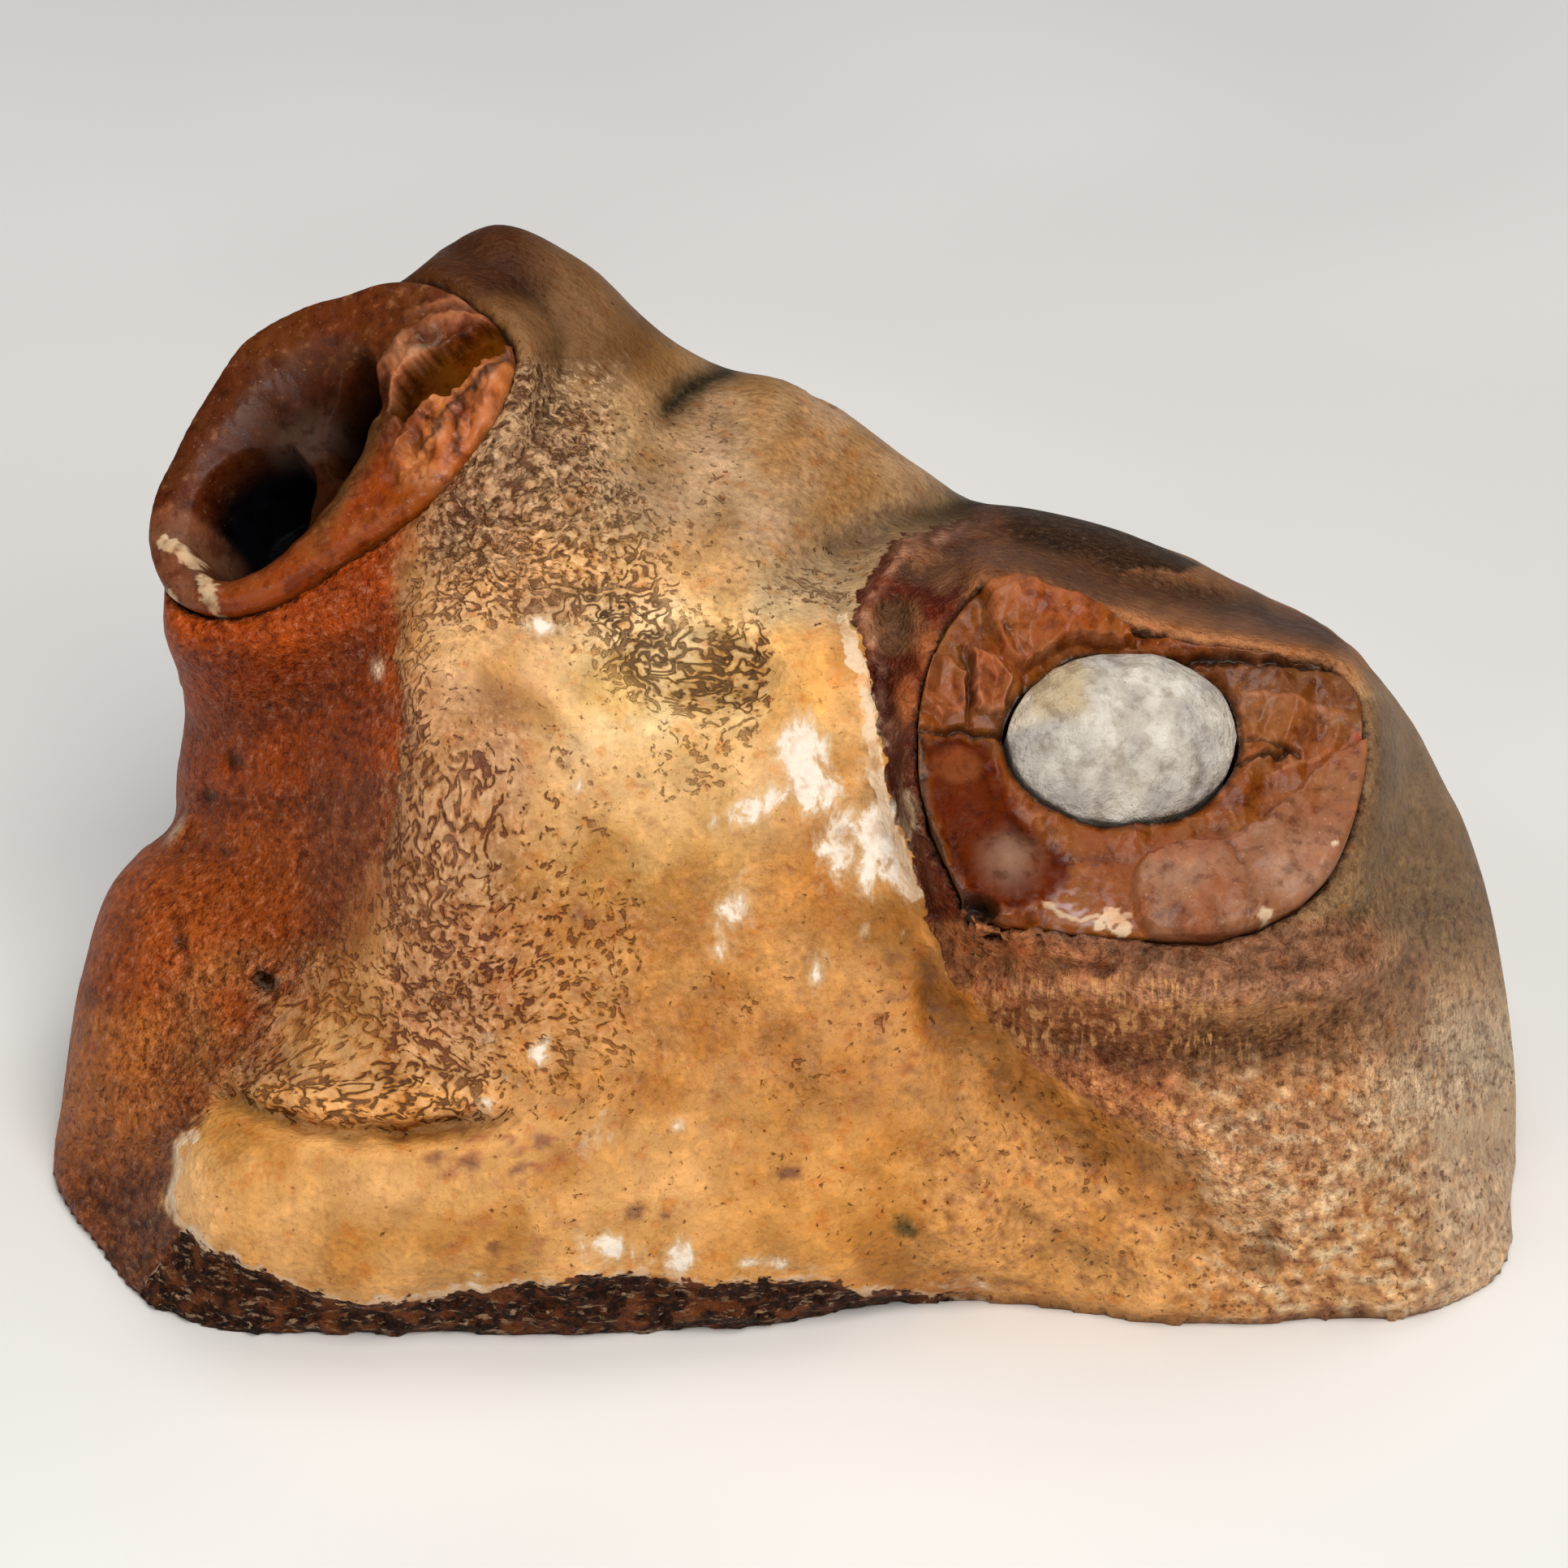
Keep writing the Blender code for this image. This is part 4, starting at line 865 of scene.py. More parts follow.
# dark round spots on the lower face
for su, sv, sr, col in ((974, 1447, 15, (.13, .04, .02)), (1120, 1514, 14, (.055, .055, .020)), (1168, 1495, 10, (.16, .06, .02)),
                        (785, 1493, 14, (.15, .055, .025)), (608, 1540, 12, (.16, .06, .03)), (665, 1409, 13, (.17, .06, .03)),
                        (536, 1428, 12, (.15, .05, .025)), (577, 1433, 12, (.15, .05, .025)), (820, 1500, 9, (.2, .08, .03)),
                        (640, 1440, 9, (.2, .08, .04)), (714, 1130, 9, (.2, .09, .04))):
    d = np.hypot((u - su) * (0.8 + 0.3 * noise(U / 9, V / 9, 0, 86)), v - sv)
    skin = mix(skin, c_(col), 0.85 * (1 - smoothstep(sr * 0.5, sr * 1.1, d)))
clouds = fbm(U / 130, V / 130, 0, 96, 3)
skin = mix(skin, skin * c_((.80, .70, .50)), smoothstep(0.0, 0.5, clouds) * (1 - w))
skin = mix(skin, skin * c_((1.10, 1.14, 1.30)), smoothstep(0.05, 0.5, -clouds) * (1 - w))
for su, sv, ru, rv, turn, tint, amount in ((735, 990, 30, 90, 0.2, (.62, .52, .42), 0.5), (880, 1090, 60, 40, 0.3, (.80, .68, .50), 0.6),
                                           (1150, 1230, 40, 90, -0.5, (.74, .60, .36), 0.7), (1010, 870, 36, 70, 0.1, (1.10, 1.02, .75), 0.8),
                                           (965, 1290, 70, 40, 0.2, (.72, .60, .42), 0.6), (620, 840, 90, 40, 0.2, (1.08, 1.12, 1.20), 0.8),
                                           (1060, 1330, 60, 60, 0.0, (.80, .66, .45), 0.5), (800, 1240, 60, 30, 0.3, (.78, .66, .52), 0.5),
                                           (980, 800, 40, 30, 0.0, (1.05, 1.0, .8), 0.6), (700, 1420, 80, 24, 0.1, (.84, .72, .5), 0.4),
                                           # the last tint here, a thin dark band along the crease over the lobe, is
                                           # painted shade
                                           (1000, 1080, 60, 60, 0.4, (.92, .78, .5), 0.6), (540, 1395, 120, 14, 0.0, (.60, .48, .28), 0.6)):
    skin = mix(skin, skin * c_(tint), amount * blob(u, v, su, sv, ru, rv, turn, 0.8))
skin *= (1 + 0.13 * mott + 0.09 * noise(U / 22, V / 22, 0, 87))[:, None]

skin = mix(skin, skin * c_((1.10, 1.32, 1.62)), window(u, v, 560, 780, 900, 1080, 70) * 0.9)
skin = mix(skin, skin * c_((1.10, 1.26, 1.45)), window(u, v, 760, 770, 960, 870, 60) * 0.7)
skin = mix(skin, skin * c_((.74, .66, .70)), window(u, v, 505, 860, 620, 1240, 60) * 0.9)
skin = mix(skin, skin * c_((1.06, 1.14, 1.24)), window(u, v, 760, 560, 920, 700, 60) * 0.9)
skin = mix(skin, skin * c_((1.25, 1.32, 1.38)), window(u, v, 600, 500, 760, 700, 40) * 0.8)

# inside the collar line: pedestal, shoulder and right flank
inner = np.tile(RIGHT_LOW, (len(verts), 1))
inner = mix(inner, c_((.28, .125, .050)), window(u, v, 1300, 1330, 1640, 1420, 60) * 0.8)
inner = mix(inner, FLANK_LOW, smoothstep(1640, 1780, u + 0.25 * (v - 1400)) * smoothstep(1180, 1300, v))
inner = mix(inner, c_((.36, .20, .105)), smoothstep(1740, 1830, u) * smoothstep(1400, 1540, v) * 0.8)
high = 1 - smoothstep(1150, 1290, v + 0.10 * (u - 1500))
inner = mix(inner, FLANK, high)
inner = mix(inner, c_((.245, .145, .068)), 0.9 * window(u, v, 1700, 700, 1800, 980, 50))
inner = mix(inner, STRIA, window(u, v, 1240, 1225, 1650, 1345, 40))
inner = mix(inner, GROOVE, 0.75 * window(u, v, 1300, 1268, 1620, 1320, 30))
inner = mix(inner, c_((.20, .085, .034)), window(u, v, 1650, 1180, 1740, 1290, 40) * 0.7)
inner = mix(inner, LEDGE_TONE, window(u, v, 1210, 1150, 1690, 1222, 25))
inner = mix(inner, COLLAR_LOW, window(u, v, 1100, 1090, 1260, 1320, 30) * 0.9)
inner = mix(inner, c_((.12, .040, .015)), window(u, v, 1190, 1120, 1300, 1160, 20) * 0.5)
inner = mix(inner, SHOULDER, window(u, v, 1180, 600, 1700, 800, 30))
sd, srun = line_distance(u, v, BACK_SHADOW)
# painted shade in the hollow band behind the right root, then a painted highlight on the lit rim along the outline
# above it
above = (700 + (u - 1300) * 0.33) - 14 - v
inner = mix(inner, SHOULDER_SHADE_BAND, smoothstep(-10, 20, above) * window(u, v, 1180, 560, 1720, 860, 30))
inner = mix(inner, c_((.125, .075, .038)), 0.9 * smoothstep(56, 76, above) * window(u, v, 1160, 560, 1700, 860, 40))
inner = mix(inner, SHADOW, 0.65 * rub(sd + 4, 34) * (1 - 0.4 * srun))
inner = mix(inner, c_((.30, .12, .045)), 0.7 * rub(sd - 42, 24) * (v > 700) * (u > 1380))
inner = mix(inner, COLLAR, window(u, v, 1040, 640, 1175, 1130, 25))
inner = mix(inner, c_((.10, .035, .013)), 0.8 * window(u, v, 1100, 640, 1230, 700, 25))
inner = mix(inner, COLLAR_FLAT, 0.95 * blob(u, v, 1100, 772, 44, 38, 0.2) + 0.8 * blob(u, v, 1146, 702, 40, 27, 0.3))
# painted shade: a dark band on the bone just outside the lower half of the right root
rd = np.hypot(U - 1405, (V - 935) * 1.25)
inner = mix(inner, c_((.04, .014, .006)), 0.55 * rub(rd - 292, 22) * (v > 860))
low_right = window(u, v, 1500, 1380, 1860, 1640, 140)
streaks = noise(U / 30, V / 11, 0, 150) + 0.6 * noise(U / 13, V / 6, 0, 151)
inner = mix(inner, c_((.60, .43, .26)), smoothstep(0.10, 0.5, streaks) * low_right * 0.7)
inner = mix(inner, c_((.27, .115, .050)), smoothstep(0.10, 0.45, -streaks) * low_right * 0.75)
foot = window(u, v, 1160, 1190, 1430, 1370, 50) * (1 - smoothstep(4.5, 8.5, collar))
inner = mix(inner, c_((.250, .080, .028)), 0.8 * foot)
inner = mix(inner, c_((.42, .19, .062)), 0.8 * foot * smoothstep(0.15, 0.5, noise(U / 9, V / 26, 0, 157)))
inner = mix(inner, c_((.50, .24, .08)), 0.6 * smoothstep(0.1, 0.5, noise(U / 34, V / 26, 0, 158)) * window(u, v, 1400, 1340, 1640, 1460, 50))
# painted highlight along the lip of the ledge under the right root
lip_d, lip_run = line_distance(u, v, LEDGE_LIP)
inner = mix(inner, c_((.40, .21, .12)), 0.5 * rub(lip_d, 11) * smoothstep(0.05, 0.15, lip_run) * (0.55 + 0.9 * noise(U / 18, V / 18, 0, 152)))
# painted shade in the groove just under the ledge
under_d, under_run = line_distance(u, v, LEDGE_UNDER)
inner = mix(inner, c_((.12, .036, .012)), 0.35 * rub(under_d - 4, 22) * smoothstep(0.0, 0.1, under_run) * (1 - smoothstep(0.85, 1.0, under_run)))
# painted highlight along the crest of the collar's raised rim
rim_d, rim_run = line_distance(u, v, [(1190, 655), (1140, 668), (1104, 682), (1080, 712), (1070, 760), (1074, 800), (1092, 850), (1098, 920)])
inner = mix(inner, c_((.42, .20, .12)), 0.7 * rub(rim_d, 8) * (0.4 + 1.2 * noise(U / 16, V / 16, 0, 153)))
inner = mix(inner, c_((.30, .085, .022)), 0.8 * blob(u, v, 1150, 800, 26, 34, 0.2, 0.6) + 0.6 * blob(u, v, 1118, 862, 18, 36, 0, 0.6))
inner *= (1 + 0.16 * noise(U / 30, V / 30, 0, 88) + 0.14 * noise(U / 12, V / 12, 0, 89))[:, None]
leftward = 1 - smoothstep(640, 760, U)
inner = inner + (side - inner) * leftward[:, None]

lower = window(u, v, 1600, 1490, 1900, 1640, 210)
skin = mix(skin, c_((.45, .24, .10)), 0.7 * lower)
skin = mix(skin, c_((.63, .46, .28)), smoothstep(0.05, 0.34, streaks) * lower * 0.85)
skin = mix(skin, c_((.21, .072, .030)), smoothstep(0.05, 0.34, -streaks) * lower * 0.85)
skin = mix(skin, c_((.52, .38, .25)), 0.6 * window(u, v, 1790, 1300, 1900, 1640, 60))
knobs = smoothstep(0.12, 0.42, noise(U / 17, V / 13, 0, 159))
skin = mix(skin, c_((.24, .095, .040)), 0.7 * knobs * (window(u, v, 1180, 1420, 1420, 1560, 60) + window(u, v, 1090, 1180, 1150, 1330, 40)))
skin = mix(skin, c_((.30, .105, .045)), 0.75 * smoothstep(0.15, 0.4, noise(U / 26, V / 15, 0, 164)) * (window(u, v, 545, 1400, 720, 1450, 24) + 0.7 * window(u, v, 560, 1510, 700, 1560, 24)))
skin = mix(skin, c_((.28, .12, .05)), 0.5 * smoothstep(0.3, 0.6, noise(U / 15, V / 15, 0, 160)) * window(u, v, 640, 900, 1060, 1360, 70))

# the far sides: brown cortical skin, tan where worn, pale ochre inside
pat = noise(x / 8.0, y / 8.0, z / 8.0, 90)
pat2 = noise(x / 3.1, y / 3.1, z / 3.1, 91)
far = np.tile(c_((.25, .125, .052)), (len(verts), 1))
far = mix(far, c_((.36, .215, .11)), smoothstep(-0.25, 0.45, pat + 0.35 * (x / 40)))
far = mix(far, c_((.15, .055, .018)), smoothstep(-0.05, 0.5, -pat + 0.25 * pat2) * smoothstep(10, -30, x) * 0.9)
far = mix(far, c_((.50, .27, .11)), 0.85 * worn)
far = mix(far, c_((.09, .04, .016)), 0.7 * np.exp(-(crack / 0.03) ** 2))
far *= (1 + 0.14 * pat2)[:, None]
deepc = mix(np.tile(c_((.12, .05, .02)), (len(verts), 1)), c_((.30, .15, .07)), smoothstep(-0.4, 0.4, pat2))
fr = np.clip(front + 0.0, 0, 1)[:, None]
skin = far + (skin - far) * fr
inner_all = far + (inner - far) * fr
socket_shade = in_socket.astype(float)
# painted shade: the bone inside the sockets, round the roots, is coloured near black
skin = mix(skin, c_((.035, .014, .006)), socket_shade * 0.9)
inner_all = mix(inner_all, c_((.035, .014, .006)), socket_shade * 0.9)
skin = mix(skin, deepc[0], under)



def hollow(quads, verts, nrm, turns):
    """how far each point lies under (+) or over (-) its smoothed surroundings, mm"""
    flat = relax(verts, quads, turns, 0.5)
    return ((flat - verts) * nrm).sum(1)


# painted shade and highlight: the colours darken where the surface dips below its smoothed surroundings and lighten
# where it stands proud
turns = 14
nrm2 = normals_of(verts, quads)
dip = np.clip(hollow(quads, verts, nrm2, turns) / 0.16, -1, 1) * (1 - socket_shade)
painted_hollow_shade = 1 - 0.42 * np.clip(dip, 0, 1) + 0.30 * np.clip(-dip, 0, 1)
skin = skin * painted_hollow_shade[:, None]
inner_all = inner_all * (1 - 0.38 * np.clip(dip, 0, 1) + 0.50 * np.clip(-dip, 0, 1))[:, None]
put(bone, "skin", np.clip(skin, 0, 1))
put(bone, "inner", np.clip(inner_all, 0, 1))
collar_line = np.where(U < 700, np.maximum(wall_line, -5), collar)
put(bone, "collar", collar_line)
strip_here = np.where((U < 226) & (strip < 0), strip * 6 - 0.9, strip)
put(bone, "strip", strip_here)
put(bone, "front", front)
put(bone, "blur", 0.05 + (U < 700) * (0.14 + 0.9 * (1 - smoothstep(720, 800, V)) + 1.5 * wall_soft - 0.12 * smoothstep(1340, 1380, V)) + 3.0 * smoothstep(1380, 1600, U) * smoothstep(1300, 1400, V) + 0.25 * smoothstep(1180, 1330, V) + 1.6 * (1 - front))

# density of the dark pore lines
spots = 0.16 * np.ones(len(verts))
def lay(value, w):
    global spots
    spots = spots + (value - spots) * np.clip(w, 0, 1)
lay(0.05, window(u, v, 560, 780, 1140, 1400, 90))
lay(0.25, blob(u, v, 1090, 1240, 50, 70, 0.3, 0.8) + blob(u, v, 730, 1010, 40, 60, 0.2, 0.8) + blob(u, v, 900, 1230, 60, 40, 0.2, 0.8) + blob(u, v, 990, 1330, 60, 40, 0, 0.8))
lay(0.45, window(u, v, 500, 900, 610, 1290, 60))
lay(0.42, window(u, v, 500, 740, 560, 940, 40))
lay(0.33, window(u, v, 600, 1130, 760, 1290, 60))
lay(0.25, window(u, v, 640, 900, 700, 1130, 50))
lay(0.10, window(u, v, 560, 780, 730, 900, 50) * 0.8)
lay(0.46, window(u, v, 560, 470, 720, 690, 50))
lay(0.52, window(u, v, 540, 660, 740, 750, 40))
smile, smile_run = line_distance(u, v, [(742, 660), (764, 740), (800, 800), (856, 836), (915, 836), (965, 812), (1000, 780)])
lay(0.44, 1 - smoothstep(50, 95, smile))
lay(0.78, (1 - smoothstep(30, 56, smile)) * smoothstep(0.1, 0.3, smile_run) * (1 - smoothstep(0.8, 1.0, smile_run)))
lay(0.36, window(u, v, 810, 870, 900, 970, 30) * 0.8)
lay(0.05, window(u, v, 960, 760, 1060, 900, 30))
lay(0.03, window(u, v, 930, 470, 1110, 640, 40) + window(u, v, 700, 320, 900, 470, 40))
lay(0.50, window(u, v, 300, 1322, 610, 1374, 22))
lay(0.40, window(u, v, 330, 1200, 500, 1310, 40) * 0.9)
lay(0.30, window(u, v, 620, 1290, 760, 1370, 40) * 0.8)
lay(0.02, smoothstep(-0.05, 0.3, lobe) * (1 - smoothstep(560, 700, u)))
lay(0.09, smoothstep(0.0, 0.3, lobe) * smoothstep(620, 800, u))
lay(0.16, window(u, v, 1120, 1430, 1400, 1560, 60) * 0.7)
lay(0.03, window(u, v, 500, 230, 700, 400, 40))
lay(0.04, smoothstep(-0.1, 0.4, wall) * (1 - window(u, v, 230, 1180, 480, 1340, 50)))
lay(0.30, smoothstep(0.0, 0.4, wall) * window(u, v, 60, 1330, 210, 1450, 40) * 0.7)
ins = smoothstep(-0.1, 0.2, collar) * (U > 700)
lay(0.07, ins)
lay(0.02, ins * (1 - smoothstep(1200, 1330, v)))
lay(0.04 + 0.08 * worn, 1 - front)
lay(0.0, socket_shade)
put(bone, "spots", spots)
fine = 0.0 + 0.9 * ins + 0.6 * window(u, v, 560, 470, 740, 690, 50) + 0.6 * (1 - front)
put(bone, "fine", np.clip(fine, 0, 1))
bold = (0.12 + 0.65 * (1 - smoothstep(30, 60, smile)) + 0.60 * window(u, v, 300, 1315, 620, 1374, 30) + 0.70 * window(u, v, 500, 900, 660, 1290, 60)
        + 0.75 * window(u, v, 560, 470, 740, 740, 50) + 0.25 * window(u, v, 620, 1120, 800, 1270, 60) + 0.4 * smoothstep(0.0, 0.3, lobe))
put(bone, "bold", np.clip(bold * front, 0, 1))
# two-tone mottling of the open bone
mottle = 0.10 * np.ones(len(verts))
mottle = np.maximum(mottle, 0.40 * window(u, v, 490, 880, 620, 1290, 60))
mottle = np.maximum(mottle, 0.85 * window(u, v, 560, 470, 740, 720, 50))
mottle = np.maximum(mottle, 0.40 * window(u, v, 700, 480, 1110, 700, 50))
mottle = np.maximum(mottle, 0.40 * window(u, v, 560, 640, 960, 790, 60))
mottle = np.maximum(mottle, 0.30 * window(u, v, 640, 1080, 1000, 1330, 60))
mottle = np.maximum(mottle, 0.60 * ins * smoothstep(1150, 1330, v))
mottle = np.maximum(mottle, (0.20 + 0.16 * smoothstep(1000, 1150, v)) * ins)
mottle = np.maximum(mottle, 0.70 * window(u, v, 1480, 1440, 1900, 1640, 60))
mottle = np.maximum(mottle, 0.35 * window(u, v, 1150, 1400, 1500, 1580, 60))
mottle = np.maximum(mottle, 0.42 * smoothstep(-0.2, 0.5, wall))
mottle = np.maximum(mottle, 0.8 * smoothstep(0, 0.4, wall) * smoothstep(1400, 1470, v))
mottle = np.maximum(mottle, 0.75 * smoothstep(-0.6, 0.5, wall) * window(u, v, 200, 1180, 480, 1420, 50))
mottle = mottle * front + (1 - front) * (0.30 + 0.25 * worn)
put(bone, "mottle", np.clip(mottle, 0, 1))
olive = 0.9 * (1 - smoothstep(40, 70, smile)) + 0.6 * window(u, v, 560, 470, 760, 720, 50) + 0.9 * window(u, v, 300, 1340, 620, 1400, 30)
put(bone, "olive", np.clip(olive * front, 0, 1))
# cream flecks on dark bone beside the left root
weave = np.maximum(window(u, v, 572, 486, 668, 640, 55), 0.75 * window(u, v, 540, 600, 640, 690, 40))
weave = np.maximum(weave, 0.55 * window(u, v, 640, 500, 745, 760, 60))
weave = np.maximum(weave, 0.30 * window(u, v, 505, 700, 560, 1240, 40))
put(bone, "weave", np.clip(weave * (0.8 + 0.5 * mott), 0, 1) * front)

# pale flaked patches, as a height over their edge
white = np.full(len(verts), -1.0)
for su, sv, ru, rv, turn in ((950, 984, 66, 26, -0.45), (984, 930, 46, 56, 0.15), (1002, 972, 54, 44, -0.5), (1040, 1040, 34, 66, 0.0),
                             (1078, 1040, 50, 74, 0.15), (1066, 930, 16, 70, 0.15), (1106, 1076, 26, 44, -0.4), (1030, 1080, 24, 36, -0.3),
                             (903, 1118, 25, 46, 0.25), (714, 972, 15, 14, 0),
                             (662, 1305, 18, 25, 0.4), (737, 1404, 20, 38, 0.7), (752, 1543, 46, 28, 0.1), (842, 1549, 34, 24, 0.0),
                             (582, 1584, 24, 15, 0), (600, 1278, 12, 13, 0), (606, 1360, 22, 9, 0), (1003, 1200, 16, 28, 0.2),
                             (826, 1385, 16, 11, 0), (885, 1170, 12, 18, 0), (668, 770, 26, 13, 0.3), (1085, 1150, 26, 12, 0),
                             (560, 1240, 10, 8, 0), (640, 1335, 14, 8, 0.5), (960, 1558, 60, 10, 0.05), (1180, 1585, 40, 7, 0.0)):
    cc, ss = cos(turn), sin(turn)
    du, dv = (U - su), (V - sv)
    e = np.sqrt(((du * cc + dv * ss) / ru) ** 2 + ((-du * ss + dv * cc) / rv) ** 2)
    white = np.maximum(white, (1 - e) * sqrt(min(ru, rv) / 40.0))
edge_band = 1 - np.abs(collar + 0.45) / 0.55
edge_band = np.where((collar < 0.06), edge_band, -1) - 3.0 * (1 - window(U, V, 1000, 760, 1165, 1110, 20))
lobe_band = 1.0 - np.abs(wall + 0.18) / 0.32 - 3.0 * (1 - window(U, V, 180, 1395, 262, 1560, 14))
edge_band = np.where(U < 700, lobe_band, edge_band)
put(bone, "white", np.where(front > 0.5, np.maximum(white, -1), -1))
put(bone, "cream", np.where(front > 0.5, edge_band, -1))

# coordinates of the pore pattern, stretched along the bone's grain
pc = verts.copy()
Xd, Wd = c_((1.0, 0, 0)), c_((0, SN, CS))
for cu, cv, ru, rv, du, dv, stretch in ((660, 600, 90, 110, 0.62, -0.78, 2.3), (570, 1000, 80, 260, 0.12, -1.0, 1.8),
                                         (470, 1340, 190, 45, 1.0, -0.05, 2.2), (862, 830, 110, 50, 1.0, 0.15, 1.7),
                                         (380, 1260, 110, 60, 0.8, -0.6, 1.6), (1600, 1520, 10, 10, 1.0, -0.06, 1.0),
                                         (700, 1300, 120, 60, 1.0, 0.25, 1.6)):
    d = Xd * du - Wd * dv
    d /= np.linalg.norm(d)
    c0 = c_(to_world(cu, cv, float(base_surface(c_([cu]), c_([cv]))[0])))
    wgt = np.exp(-(((U - cu) / (ru * 1.3)) ** 2 + ((V - cv) / (rv * 1.3)) ** 2)) * front
    along = 5.0 * np.tanh(((verts - c0) @ d) / 5.0)
    pc -= (wgt * (1 - 1 / stretch) * along)[:, None] * d
# seen square on, the steep sides keep round grains
Rd = c_(to_world(0.0, 0.0, 1.0)) - c_(to_world(0.0, 0.0, 0.0))
Rd = Rd / np.linalg.norm(Rd)
for edge_u, far_u, amount in ((1690.0, 1790.0, 0.62), (492.0, 400.0, 0.50)):
    wgt = smoothstep(0, 1, (U - edge_u) / (far_u - edge_u)) * amount
    pc -= (wgt * (RISE - sample(face_grid, np.full_like(V, edge_u), V)))[:, None] * Rd
put(bone, "pco", pc)
put(bone, "stria", (window(U, V, 1225, 1216, 1492, 1284, 22) + 0.4 * window(U, V, 1500, 1230, 1660, 1300, 30)) * front)


# ================================================================ the two roots
def grid_faces(rows, sides, start=0):
    i = np.arange(rows - 1)[:, None] * sides + start
    j = np.arange(sides)[None, :]
    k = (j + 1) % sides
    return np.stack([i + j, i + k, i + sides + k, i + sides + j], -1).reshape(-1, 4)


def fan(centre, first, sides, flip=False):
    out = []
    for j in range(sides):
        f = (centre, first + j, first + (j + 1) % sides)
        out.append(f[::-1] if flip else f)
    return out


def seat_of(tooth, a, b):
    w = tooth.world(a, b, np.zeros_like(a))
    uu, vv, _ = to_plane(*w)
    return uu, vv


def poly_sd(uu, vv, poly):
    return region(uu, vv, poly) * UNIT


def core_outline():
    ca, cb = [], []
    for uu, vv in spline(CORE_RIM, 6):
        w = to_world(uu, vv, right.plane_rise(uu, vv))
        a, b, _ = right.local(np.array(w[0]), np.array(w[1]), np.array(w[2]))
        ca.append(float(a))
        cb.append(float(b))
    mid = ((min(ca) + max(ca)) / 2, (min(cb) + max(cb)) / 2)
    ang = np.arctan2(np.array(cb) - mid[1], np.array(ca) - mid[0])
    rad = np.hypot(np.array(cb) - mid[1], np.array(ca) - mid[0])
    o = np.argsort(ang)
    return mid, ang[o], rad[o]


core_mid, core_ang, core_rad = core_outline()


def core_size(ang):
    return np.interp(ang, core_ang, core_rad, period=2 * pi)


CRESCENT = [(1138, 912), (1185, 900), (1222, 912), (1236, 950), (1252, 990), (1290, 1030), (1322, 1062),
            (1312, 1098), (1262, 1122), (1215, 1118), (1172, 1068), (1143, 990)]
TOP_CHUNK = [(1206, 712), (1262, 716), (1330, 742), (1398, 772), (1404, 786), (1350, 792), (1300, 800), (1262, 822),
             (1236, 806), (1216, 768)]
CHUNK_B = [(1136, 812), (1168, 800), (1192, 830), (1194, 868), (1160, 884), (1134, 868)]
CHUNK_C = [(1196, 796), (1228, 806), (1250, 838), (1240, 872), (1208, 876), (1198, 840)]
BIG_CHUNK = [(1392, 1085), (1408, 1055), (1450, 1036), (1502, 1036), (1548, 1014), (1592, 978), (1636, 930),
             (1690, 905), (1700, 1000), (1650, 1085), (1590, 1145), (1490, 1175), (1420, 1160), (1398, 1125)]
RIGHT_FACETS = [(1530, 846), (1570, 850), (1625, 866), (1690, 880), (1690, 905), (1620, 932), (1570, 950), (1532, 940)]


